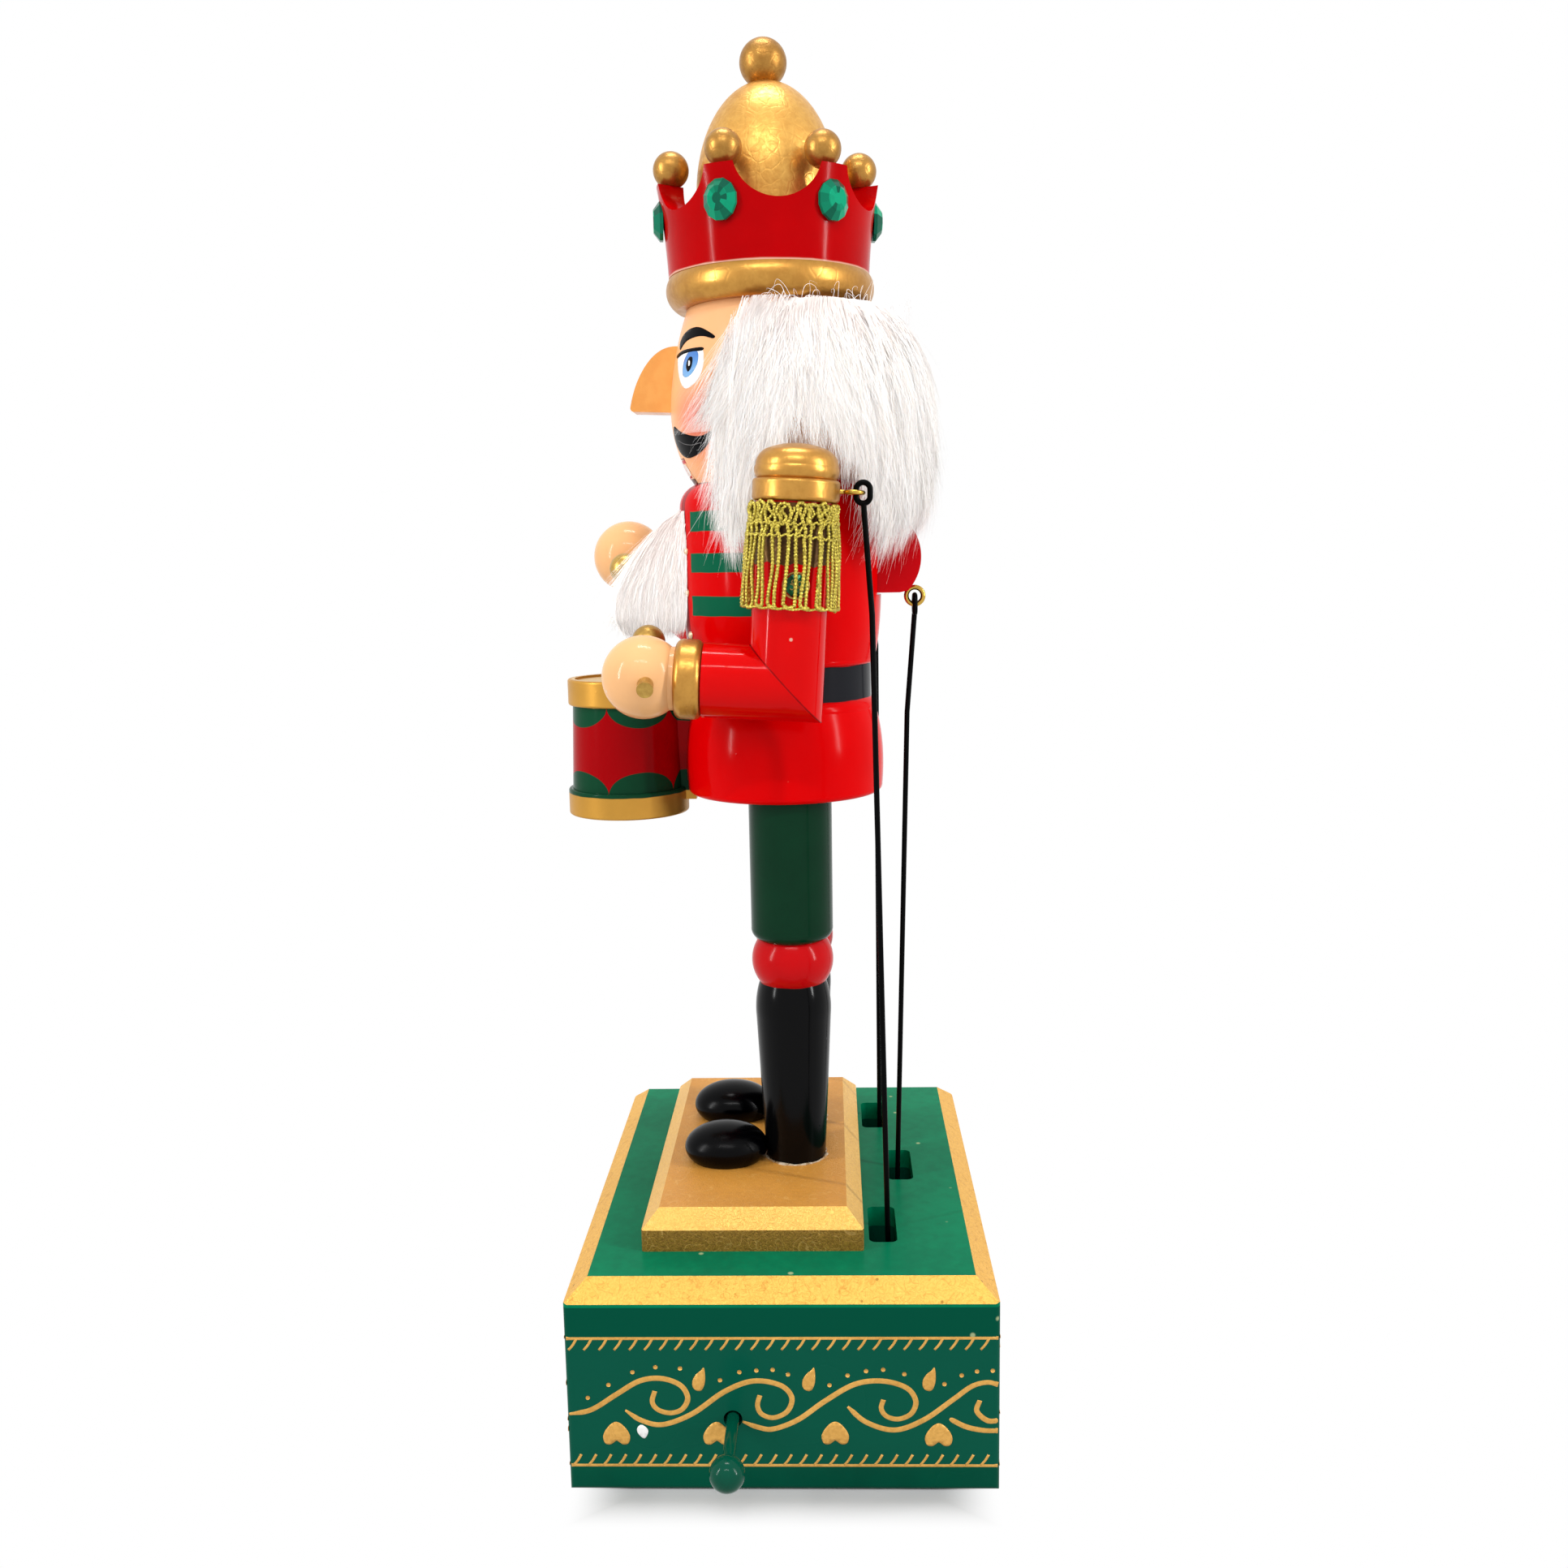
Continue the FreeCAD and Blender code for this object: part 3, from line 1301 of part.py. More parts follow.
def cam(x, angle_a, angle_b):
    """A cam that moves a lever evenly from one angle to the other in half a turn, and back in the next."""
    centre = V(x - cam_half_width, cam_y, cam_z())
    step = 15
    halves = []
    for first in (0, 180):
        points = []
        for turn in range(first, first + 181, step):
            share = turn / 180 if turn <= 180 else 2 - turn / 180
            y, z = roller_place(angle_a + (angle_b - angle_a) * share)
            dy = y - cam_y
            dz = z - cam_z()
            reach = math.hypot(dy, dz) - roller_r - cam_gap
            toward = math.atan2(dz, dy) - math.radians(turn)
            points.append(centre + V(0, reach * math.cos(toward), reach * math.sin(toward)))
        curve = Part.BSplineCurve()
        curve.interpolate(points)
        halves.append(curve.toShape())
    face = Part.Face(Part.Wire(halves))
    return face.extrude(V(2 * cam_half_width, 0, 0))


def camshaft(places, links):
    """The shaft with its gear and the three cams, one over each lever."""
    centre, phase = places["cam"]
    wheel_x = cylinder_end_wheel_x()
    shaft = bar_x(shaft_r, -frame_half_length, frame_half_length, *centre)
    wheel = gear(cam_teeth, phase, wheel_x, wheel_x + gear_width, centre)
    cams = [cam(x, links[name]["lever_a"], links[name]["lever_b"]) for name, x in lever_places().items()]
    return joined([shaft, wheel] + cams)


def lever_places():
    """The x of each lever and its cam, inward of its rod."""
    return {"left": arm_x - lever_offset, "right": -arm_x + lever_offset, "jaw": -lever_offset}


def stop_rod():
    """The push rod with its ball end outside the left wall and its pad before the brake disc."""
    face = base_length / 2
    ball_x = face + stop_out
    pad_x = frame_half_length - plate - 0.4 - stop_pad
    rod_form = bar_x(stop_r, pad_x, ball_x, stop_y, stop_z)
    ball = Part.makeSphere(stop_ball_r, V(ball_x, stop_y, stop_z))
    pad = bar_x(stop_pad_r, pad_x, pad_x + stop_pad, stop_y, stop_z)
    return joined([rod_form, ball, pad])


def write(name, shape):
    """Writes one node, a solid or a group of separate solids, to its STEP file."""
    if isinstance(shape, list):
        shape = Part.makeCompound(shape)
    elif len(shape.Solids) == 1:
        shape = shape.Solids[0]
    shape.exportStep(os.path.join("parts", name + ".step"))
    print(name, len(shape.Solids), round(shape.Volume, 1), "valid" if shape.isValid() else "INVALID")


def figure_nodes(screws):
    """The fixed pieces of the figure, and the jaw with its beard."""
    face_form = head_form()
    body_form = torso_form()
    slot = jaw_slot()
    legs = {side: leg(side * leg_x) for side in (-1, 1)}
    head_solid = head(face_form, slot)
    eye = jaw_eye()
    lever_solid = jaw_lever(face_form, body_form, eye)
    stones = crown_stones()
    top_ball = finial()
    nodes = {"leg_left": without(legs[1], screws), "leg_right": without(legs[-1], screws),
             "shoe_left": shoe(1, legs[1]), "shoe_right": shoe(-1, legs[-1]),
             "torso": torso(body_form, slot, [drum_peg()]), "head": head_solid, "nose": nose(face_form),
             "crown_ring": crown_ring(), "crown": crown(stones), "crown_balls": crown_balls(),
             "crown_stones": stones, "crown_dome": crown_dome(top_ball), "crown_finial": top_ball,
             "hair": hair(face_form, body_form), "drum": drum(body_form),
             "jaw_lever": lever_solid, "jaw_eye": eye, "beard": beard(lever_solid, body_form, face_form)}
    return nodes


def arm_nodes():
    nodes = {}
    sides = (("left", 1, arm_low, left_stick_tip, left_stick_end),
             ("right", -1, arm_low + arm_swing, right_stick_tip, right_stick_end))
    for name, side, lift, tip, end in sides:
        for piece, shape in arm_pieces(side, tip, end).items():
            nodes[piece + "_" + name] = at_arm(shape, side, lift)
    return nodes


def linkage_nodes(links):
    """The three rods and the three follower levers."""
    low = arm_low
    high = arm_low + arm_swing
    places = lever_places()
    nodes = {"rod_left": rod(arm_x, -1, eye_place(low), links["left"], arm_hook_y, left_kink, 0),
             "rod_right": rod(-arm_x, 1, eye_place(high), links["right"], arm_hook_y, right_kink, 0),
             "rod_jaw": rod(0, -1, jaw_eye_place(0), links["jaw"], jaw_hook_y, jaw_kink, 90)}
    for name, x in places.items():
        nodes["lever_" + name] = lever(x, links[name]["lever_a"], links[name]["lever_reach"])
    return nodes


def movement_nodes(links, screws):
    places = train_places()
    arbor = winding_arbor()
    return {"movement_frame": movement_frame(places, screws), "comb": comb(), "spring_barrel": spring_barrel(places),
            "mainspring": mainspring(), "winding_arbor": arbor, "winding_key": winding_key(arbor),
            "note_cylinder": note_cylinder(places), "governor_wheel": governor_wheel(places),
            "governor_fly": governor_fly(places), "camshaft": camshaft(places, links), "stop_rod": stop_rod()}


def main():
    os.makedirs("parts", exist_ok=True)
    screws = wood_screws()
    links = linkages()
    nodes = {"base_top": base_top(screws), "base_bottom": without(bottom_panel_space(), screws),
             "wood_screws": screws, "plinth": plinth(screws), "pivot_pins": pivot_pins()}
    nodes.update(base_walls(screws))
    nodes.update(figure_nodes(screws))
    nodes.update(arm_nodes())
    nodes.update(linkage_nodes(links))
    nodes.update(movement_nodes(links, screws))
    for name, shape in nodes.items():
        write(name, shape)


if __name__ == "__main__":
    main()
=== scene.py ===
import logging
import math
from dataclasses import dataclass
from enum import Enum
from typing import Callable

import bpy
import numpy as np
from mathutils import Matrix, Vector
from mathutils.bvhtree import BVHTree
from mathutils.geometry import delaunay_2d_cdt


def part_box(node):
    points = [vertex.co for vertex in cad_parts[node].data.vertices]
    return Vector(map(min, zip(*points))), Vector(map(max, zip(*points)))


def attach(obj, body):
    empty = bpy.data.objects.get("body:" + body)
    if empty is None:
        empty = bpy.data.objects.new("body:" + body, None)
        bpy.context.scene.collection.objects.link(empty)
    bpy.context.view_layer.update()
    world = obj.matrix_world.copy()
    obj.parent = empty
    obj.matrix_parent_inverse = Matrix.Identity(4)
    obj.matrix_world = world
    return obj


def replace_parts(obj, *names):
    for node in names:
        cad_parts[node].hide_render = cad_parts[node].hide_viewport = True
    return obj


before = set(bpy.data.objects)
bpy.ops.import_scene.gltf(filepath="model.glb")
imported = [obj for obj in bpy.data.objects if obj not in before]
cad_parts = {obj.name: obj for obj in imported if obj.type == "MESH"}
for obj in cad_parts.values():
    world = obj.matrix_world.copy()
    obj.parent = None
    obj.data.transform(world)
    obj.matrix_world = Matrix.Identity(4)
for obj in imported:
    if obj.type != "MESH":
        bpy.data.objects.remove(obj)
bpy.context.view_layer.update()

MM = 0.001
Rgb = tuple[int, int, int]
Span = tuple[float, float] | None
Spot = tuple[float, float]
Place = Callable[[float, float, float], Vector]

log = logging.getLogger("music_box")


def linear(colour: Rgb) -> tuple[float, float, float, float]:
    """Turns a colour written in screen values into the shader's own.

    Args:
        colour: Red, green and blue from 0 to 255.

    Returns:
        The same colour as red, green, blue and alpha from 0 to 1.
    """
    parts = [c / 255 for c in colour]
    made = [p / 12.92 if p <= 0.04045 else ((p + 0.055) / 1.055) ** 2.4 for p in parts]
    return made[0], made[1], made[2], 1.0


def scaled(colour: Rgb, share: float) -> Rgb:
    """Makes a colour lighter or darker, with no part over 255."""
    red, green, blue = (min(255, int(c * share)) for c in colour)
    return red, green, blue


def woven(rows: int, across: int, closed: bool = False) -> list[tuple[int, ...]]:
    """Gives the faces of a sheet of points that is laid row by row.

    Args:
        rows: How many rows of points there are.
        across: How many points a row has.
        closed: Whether each row joins up.

    Returns:
        Each face's points.
    """
    span = across if closed else across - 1
    return [(i * across + j, i * across + (j + 1) % across, (i + 1) * across + (j + 1) % across,
             (i + 1) * across + j) for i in range(rows - 1) for j in range(span)]


def flow(points: list[Spot], steps: int = 8) -> np.ndarray:
    """Draws one smooth line through a few points.

    Args:
        points: The points that the line goes through, in order.
        steps: How many short runs each stretch gets.

    Returns:
        The line's points, one row each.
    """
    p = np.array(points, float)
    ends = np.vstack([2 * p[0] - p[1], p, 2 * p[-1] - p[-2]])
    made = []
    for i in range(1, len(ends) - 2):
        a, b, c, d = ends[i - 1:i + 3]
        for t in np.arange(steps) / steps:
            made.append(0.5 * (2 * b + (c - a) * t + (2 * a - 5 * b + 4 * c - d) * t ** 2
                               + (3 * b - 3 * c + d - a) * t ** 3))
    made.append(p[-1])
    return np.array(made)


def ring(points: list[Spot], steps: int = 6) -> np.ndarray:
    """Draws one smooth closed outline through a few points.

    Args:
        points: The points that the outline goes through, in order.
        steps: How many short runs each stretch gets.

    Returns:
        The outline's points, with the first one not repeated.
    """
    p = np.array(points, float)
    made = []
    for i in range(len(p)):
        a, b, c, d = p[i - 1], p[i], p[(i + 1) % len(p)], p[(i + 2) % len(p)]
        for t in np.arange(steps) / steps:
            made.append(0.5 * (2 * b + (c - a) * t + (2 * a - 5 * b + 4 * c - d) * t ** 2
                               + (3 * b - 3 * c + d - a) * t ** 3))
    return np.array(made)


class Effect(Enum):
    """The shader effects that several finishes share."""

    BRUSHED = "brushed_coat"
    CLOUDS = "cloudy_tone"
    SPECKS = "dust_specks"
    CRINKLE = "leaf_crinkle"
    SPAN = "soft_span"
    HAIRLINES = "hair_scratches"


class Bench:
    """Lays shader nodes in one tree and wires them."""

    def __init__(self, tree: bpy.types.NodeTree) -> None:
        """Keeps the tree that the nodes go in."""
        self.tree = tree

    def feed(self, socket: bpy.types.NodeSocket, value: object) -> None:
        """Wires a socket where the value is another socket, and sets it otherwise.

        Args:
            socket: The input that gets the value.
            value: A socket, a number or a colour.
        """
        if isinstance(value, bpy.types.NodeSocket):
            self.tree.links.new(value, socket)
        else:
            socket.default_value = value

    def add(self, kind: str, inputs: dict[str | int, object] | None = None,
            **settings: object) -> bpy.types.Node:
        """Lays one node.

        Args:
            kind: The node's type.
            inputs: What its inputs get, by name or by number.
            settings: Its other settings.

        Returns:
            The new node.
        """
        node = self.tree.nodes.new(kind)
        for name, value in settings.items():
            setattr(node, name, value)
        for name, value in (inputs or {}).items():
            self.feed(node.inputs[name], value)
        return node

    def calc(self, kind: str, a: object, b: object = 0.0) -> bpy.types.NodeSocket:
        """Gives the result of a Math node."""
        return self.add("ShaderNodeMath", {0: a, 1: b}, operation=kind).outputs[0]

    def plus(self, a: object, b: object) -> bpy.types.NodeSocket:
        """Adds two numbers."""
        return self.calc("ADD", a, b)

    def minus(self, a: object, b: object) -> bpy.types.NodeSocket:
        """Takes the second number from the first."""
        return self.calc("SUBTRACT", a, b)

    def times(self, a: object, b: object) -> bpy.types.NodeSocket:
        """Multiplies two numbers."""
        return self.calc("MULTIPLY", a, b)

    def vector(self, kind: str, a: object, b: object = (0.0, 0.0, 0.0)) -> bpy.types.NodeSocket:
        """Gives the result of a Vector Math node, a number for a length, a distance or a dot product."""
        node = self.add("ShaderNodeVectorMath", {0: a, 1: b}, operation=kind)
        return node.outputs["Value" if kind in ("LENGTH", "DISTANCE", "DOT_PRODUCT") else "Vector"]

    def split(self, vector: object) -> list[bpy.types.NodeSocket]:
        """Gives a vector's three parts."""
        return list(self.add("ShaderNodeSeparateXYZ", {0: vector}).outputs)

    def mix(self, share: object, under: object, over: object, kind: str = "MIX") -> bpy.types.NodeSocket:
        """Lays one colour over another.

        Args:
            share: How much of the second colour shows, from 0 to 1.
            under: The first colour, in screen values or as a socket.
            over: The second colour.
            kind: How the two are mixed.

        Returns:
            The mixed colour's socket.
        """
        under, over = (linear(c) if isinstance(c, tuple) else c for c in (under, over))
        node = self.add("ShaderNodeMix", {0: share, 6: under, 7: over}, data_type="RGBA", blend_type=kind)
        return node.outputs[2]

    def between(self, share: object, low: object, high: object) -> bpy.types.NodeSocket:
        """Mixes two numbers: a share of 0 gives the low one and 1 the high one."""
        return self.add("ShaderNodeMix", {0: share, 2: low, 3: high}, data_type="FLOAT").outputs[0]

    def noise(self, place: object, scale: object, detail: float = 2.0, rough: float = 0.5) -> bpy.types.Node:
        """Lays one Noise node, with Fac and Color among its outputs."""
        return self.add("ShaderNodeTexNoise", {"Vector": place, "Scale": scale, "Detail": detail,
                                               "Roughness": rough})

    def ramp(self, value: object, low: object, high: object, start: object = 0.0,
             end: object = 1.0) -> bpy.types.NodeSocket:
        """Stretches a value from the range low to high to the range start to end, smoothly and clamped."""
        return self.add("ShaderNodeMapRange", {0: value, 1: low, 2: high, 3: start, 4: end},
                        interpolation_type="SMOOTHSTEP").outputs[0]

    def group(self, effect: Effect, **inputs: object) -> bpy.types.Node:
        """Places a shared effect.

        Args:
            effect: Which effect.
            inputs: What its named inputs get.

        Returns:
            The group's node.
        """
        node = self.tree.nodes.new("ShaderNodeGroup")
        node.node_tree = Effects.get(effect)
        for name, value in inputs.items():
            self.feed(node.inputs[name], value)
        return node

    def object_place(self) -> bpy.types.NodeSocket:
        """Gives the piece's own coordinates."""
        return self.add("ShaderNodeTexCoord").outputs["Object"]

    def slope(self) -> bpy.types.NodeSocket:
        """Gives how far the surface faces up, 1 where it lies flat."""
        return self.split(self.add("ShaderNodeTexCoord").outputs["Normal"])[2]

    def plain_view(self) -> bpy.types.NodeSocket:
        """Gives 1 for what the camera sees by itself, in a mirror or through glass."""
        path = self.add("ShaderNodeLightPath").outputs
        seen = self.calc("MAXIMUM", path["Is Camera Ray"], path["Is Transmission Ray"])
        return self.calc("MAXIMUM", seen, path["Is Glossy Ray"])

    def look(self, shader: bpy.types.Node, colour: object, rough: object) -> None:
        """Feeds a shader's colour and its roughness."""
        self.feed(shader.inputs["Base Color"], colour)
        self.feed(shader.inputs["Roughness"], rough)

    def relief(self, shader: bpy.types.Node, height: object, strength: float,
               distance: float = 0.0005) -> None:
        """Feeds a shader's normal from a height, at most the distance deep, in metres."""
        bump = self.add("ShaderNodeBump", {"Height": height, "Strength": strength, "Distance": distance})
        self.feed(shader.inputs["Normal"], bump.outputs["Normal"])


class Effects:
    """Builds each shared effect once, as a node group."""

    made: dict[Effect, bpy.types.NodeTree] = {}

    @classmethod
    def get(cls, effect: Effect) -> bpy.types.NodeTree:
        """Gives an effect's node group, built the first time it is asked for.

        Args:
            effect: Which effect.

        Returns:
            Its node group.
        """
        if effect not in cls.made:
            build = {Effect.BRUSHED: cls.brushed, Effect.CLOUDS: cls.clouds, Effect.SPECKS: cls.specks,
                     Effect.CRINKLE: cls.crinkle, Effect.SPAN: cls.span, Effect.HAIRLINES: cls.hairlines}
            cls.made[effect] = build[effect]()
        return cls.made[effect]

    @staticmethod
    def start(effect: Effect, inputs: dict[str, float | None],
              outputs: list[str]) -> tuple[Bench, bpy.types.Node, bpy.types.Node]:
        """Opens a new group with its named sockets.

        Args:
            effect: Which effect it is for.
            inputs: Each input's name and default. None is a vector.
            outputs: Each output's name.

        Returns:
            The group's bench, its input node and its output node.
        """
        tree = bpy.data.node_groups.new(effect.value, "ShaderNodeTree")
        for name, value in inputs.items():
            kind = "NodeSocketVector" if value is None else "NodeSocketFloat"
            socket = tree.interface.new_socket(name, in_out="INPUT", socket_type=kind)
            if value is not None:
                socket.default_value = value
        for name in outputs:
            tree.interface.new_socket(name, in_out="OUTPUT", socket_type="NodeSocketFloat")
        return Bench(tree), tree.nodes.new("NodeGroupInput"), tree.nodes.new("NodeGroupOutput")

    @classmethod
    def brushed(cls) -> bpy.types.NodeTree:
        """Builds the soft ripples and dust nibs of paint laid on with a brush."""
        bench, take, give = cls.start(Effect.BRUSHED, {"Place": None, "Scale": 60.0, "Stretch": 0.25,
                                                       "Nibs": 0.3}, ["Height", "Tone"])
        x, y, z = bench.split(take.outputs["Place"])
        z = bench.times(z, take.outputs["Stretch"])
        drawn = bench.add("ShaderNodeCombineXYZ", {0: x, 1: y, 2: z}).outputs[0]
        wide = bench.noise(drawn, take.outputs["Scale"], 2.0, 0.45)
        fine = bench.noise(drawn, bench.times(take.outputs["Scale"], 5.5), 2.0, 0.5)
        nib = bench.add("ShaderNodeTexVoronoi", {"Vector": take.outputs["Place"],
                                                 "Scale": bench.times(take.outputs["Scale"], 4.0)})
        bump = bench.times(bench.ramp(nib.outputs["Distance"], 0.10, 0.02), take.outputs["Nibs"])
        base = bench.plus(wide.outputs["Fac"], bench.times(fine.outputs["Fac"], 0.16))
        bench.feed(give.inputs["Height"], bench.plus(base, bump))
        bench.feed(give.inputs["Tone"], bench.ramp(wide.outputs["Fac"], 0.3, 0.7))
        return bench.tree

    @classmethod
    def clouds(cls) -> bpy.types.NodeTree:
        """Builds slow changes of tone, with a finer grain in them."""
        bench, take, give = cls.start(Effect.CLOUDS, {"Place": None, "Scale": 30.0, "Grain": 0.3}, ["Tone"])
        wide = bench.noise(take.outputs["Place"], take.outputs["Scale"], 3.0, 0.55)
        fine = bench.noise(take.outputs["Place"], bench.times(take.outputs["Scale"], 12.0), 3.0, 0.6)
        tone = bench.between(take.outputs["Grain"], wide.outputs["Fac"], fine.outputs["Fac"])
        bench.feed(give.inputs["Tone"], bench.ramp(tone, 0.32, 0.68))
        return bench.tree

    @classmethod
    def specks(cls) -> bpy.types.NodeTree:
        """Builds scattered small specks of dust or dirt."""
        bench, take, give = cls.start(Effect.SPECKS, {"Place": None, "Scale": 300.0, "Amount": 0.06},
                                      ["Mask"])
        cell = bench.add("ShaderNodeTexVoronoi", {"Vector": take.outputs["Place"],
                                                  "Scale": take.outputs["Scale"]})
        chance = bench.add("ShaderNodeSeparateColor", {0: cell.outputs["Color"]}).outputs[0]
        picked = bench.calc("LESS_THAN", chance, take.outputs["Amount"])
        small = bench.ramp(cell.outputs["Distance"], 0.26, 0.12)
        bench.feed(give.inputs["Mask"], bench.times(picked, small))
        return bench.tree

    @classmethod
    def crinkle(cls) -> bpy.types.NodeTree:
        """Builds the fine creases and short scratches of gold leaf."""
        bench, take, give = cls.start(Effect.CRINKLE, {"Place": None, "Scale": 400.0}, ["Height", "Tone"])
        bend = bench.noise(take.outputs["Place"], bench.times(take.outputs["Scale"], 0.35), 2.0, 0.6)
        off = bench.vector("MULTIPLY", bend.outputs["Color"], (0.004,) * 3)
        moved = bench.vector("ADD", take.outputs["Place"], off)
        crease = bench.add("ShaderNodeTexVoronoi", {"Vector": moved, "Scale": take.outputs["Scale"]},
                           feature="DISTANCE_TO_EDGE")
        line = bench.ramp(crease.outputs["Distance"], 0.0, 0.12)
        fine = bench.noise(moved, bench.times(take.outputs["Scale"], 1.7), 3.0, 0.6)
        bench.feed(give.inputs["Height"], bench.plus(bench.times(line, 0.6), fine.outputs["Fac"]))
        bench.feed(give.inputs["Tone"], bench.ramp(fine.outputs["Fac"], 0.34, 0.66))
        return bench.tree

    @classmethod
    def span(cls) -> bpy.types.NodeTree:
        """Builds a band between two values, with soft edges."""
        bench, take, give = cls.start(Effect.SPAN, {"Value": 0.0, "Low": 0.0, "High": 1.0, "Blur": 0.1},
                                      ["Mask"])
        half = bench.times(take.outputs["Blur"], 0.5)
        up = bench.ramp(take.outputs["Value"], bench.minus(take.outputs["Low"], half),
                        bench.plus(take.outputs["Low"], half))
        down = bench.ramp(take.outputs["Value"], bench.minus(take.outputs["High"], half),
                          bench.plus(take.outputs["High"], half), 1.0, 0.0)
        bench.feed(give.inputs["Mask"], bench.times(up, down))
        return bench.tree

    @classmethod
    def hairlines(cls) -> bpy.types.NodeTree:
        """Builds thin curved scratches that run every way."""
        bench, take, give = cls.start(Effect.HAIRLINES, {"Place": None, "Scale": 120.0, "Width": 0.06},
                                      ["Mask"])
        first = bench.noise(take.outputs["Place"], take.outputs["Scale"], 1.0, 0.4)
        second = bench.noise(first.outputs["Color"], 9.0, 1.0, 0.4)
        line = bench.calc("ABSOLUTE", bench.minus(second.outputs["Fac"], 0.5))
        bench.feed(give.inputs["Mask"], bench.ramp(line, take.outputs["Width"], 0.0))
        return bench.tree


@dataclass(frozen=True)
class Patch:
    """A painted area of a piece: its colour, and where it lies in millimetres."""

    colour: Rgb
    x: Span = None
    y: Span = None
    z: Span = None
    blur: float = 0.25
    sides: bool = False
    share: float = 1.0

    def mask(self, bench: Bench, axes: list[bpy.types.NodeSocket]) -> bpy.types.NodeSocket:
        """Lays the nodes that say where the patch is.

        Args:
            bench: The material's bench.
            axes: The place along x, y and z in millimetres.

        Returns:
            The mask's socket, 1 inside the patch.
        """
        made = None
        for span, axis in zip((self.x, self.y, self.z), axes):
            if span is None:
                continue
            value = bench.calc("ABSOLUTE", axis) if self.sides and axis is axes[0] else axis
            band = bench.group(Effect.SPAN, Value=value, Low=span[0], High=span[1],
                               Blur=self.blur).outputs["Mask"]
            made = band if made is None else bench.times(made, band)
        return bench.times(made, self.share) if self.share < 1 else made


def new_material(name: str) -> tuple[bpy.types.Material, Bench, bpy.types.Node]:
    """Opens a material with one shader.

    Args:
        name: The material's name.

    Returns:
        The material, its bench and its Principled node.
    """
    made = bpy.data.materials.new(name)
    made.use_nodes = True
    return made, Bench(made.node_tree), made.node_tree.nodes["Principled BSDF"]


@dataclass(frozen=True)
class Lacquer:
    """Brushed gloss paint on turned wood, with its painted patches."""

    name: str
    colour: Rgb
    gloss: float = 0.16
    drift: float = 0.10
    ripple: float = 0.10
    scale: float = 45.0
    stretch: float = 0.25
    dust: float = 0.012
    wobble: float = 0.25
    level: float = 0.03
    patches: tuple[Patch, ...] = ()
    seam: tuple[float, float, float] | None = None

    def material(self) -> bpy.types.Material:
        """Builds the paint."""
        made, bench, shader = new_material(self.name)
        shader.inputs["Specular IOR Level"].default_value = self.level
        place = bench.object_place()
        colour = self.tone(bench, place)
        if self.patches:
            axes = self.axes(bench, place)
            for patch in self.patches:
                colour = bench.mix(patch.mask(bench, axes), colour, patch.colour)
        coat = bench.group(Effect.BRUSHED, Place=place, Scale=self.scale, Stretch=self.stretch, Nibs=0.25)
        dust = bench.group(Effect.SPECKS, Place=place, Scale=420.0, Amount=self.dust)
        colour = bench.mix(bench.times(dust.outputs["Mask"], 0.55), colour, (225, 215, 190))
        height = coat.outputs["Height"]
        if self.seam:
            line = self.joint_line(bench, place)
            colour = bench.mix(bench.times(line, 0.75), colour, (96, 2, 8))
            height = bench.minus(height, bench.times(line, 1.5))
        rough = bench.between(coat.outputs["Tone"], self.gloss * 0.8, self.gloss * 1.3)
        bench.look(shader, colour, rough)
        bench.relief(shader, height, self.ripple, 0.002)
        return made

    def joint_line(self, bench: Bench, place: bpy.types.NodeSocket) -> bpy.types.NodeSocket:
        """Lays the thin dark line of a glued joint. The seam is its slope in y and z and how far off it lies.

        Args:
            bench: The material's bench.
            place: The piece's own coordinates.

        Returns:
            The line's mask, 1 on the line.
        """
        across = bench.vector("DOT_PRODUCT", place, (0.0, self.seam[0], self.seam[1]))
        off = bench.calc("ABSOLUTE", bench.minus(across, self.seam[2]))
        stir = bench.noise(place, 500.0, 2.0, 0.5)
        return bench.ramp(off, bench.between(stir.outputs["Fac"], 0.0001, 0.0005), 0.00005)

    def tone(self, bench: Bench, place: bpy.types.NodeSocket) -> bpy.types.NodeSocket:
        """Gives the ground colour its slow change of tone.

        Args:
            bench: The material's bench.
            place: The piece's own coordinates.

        Returns:
            The colour's socket.
        """
        cloud = bench.group(Effect.CLOUDS, Place=place, Scale=16.0, Grain=0.12)
        dark, light = scaled(self.colour, 1 - self.drift), scaled(self.colour, 1 + self.drift * 0.3)
        return bench.mix(cloud.outputs["Tone"], dark, light)

    def axes(self, bench: Bench, place: bpy.types.NodeSocket) -> list[bpy.types.NodeSocket]:
        """Gives the place in millimetres with the small wander of a hand-painted edge.

        Args:
            bench: The material's bench.
            place: The piece's own coordinates.

        Returns:
            The sockets of x, y and z.
        """
        stir = bench.noise(place, 160.0, 1.0, 0.4).outputs["Color"]
        move = bench.vector("MULTIPLY", bench.vector("SUBTRACT", stir, (0.5,) * 3), (self.wobble * 2,) * 3)
        return bench.split(bench.vector("ADD", bench.vector("MULTIPLY", place, (1000.0,) * 3), move))


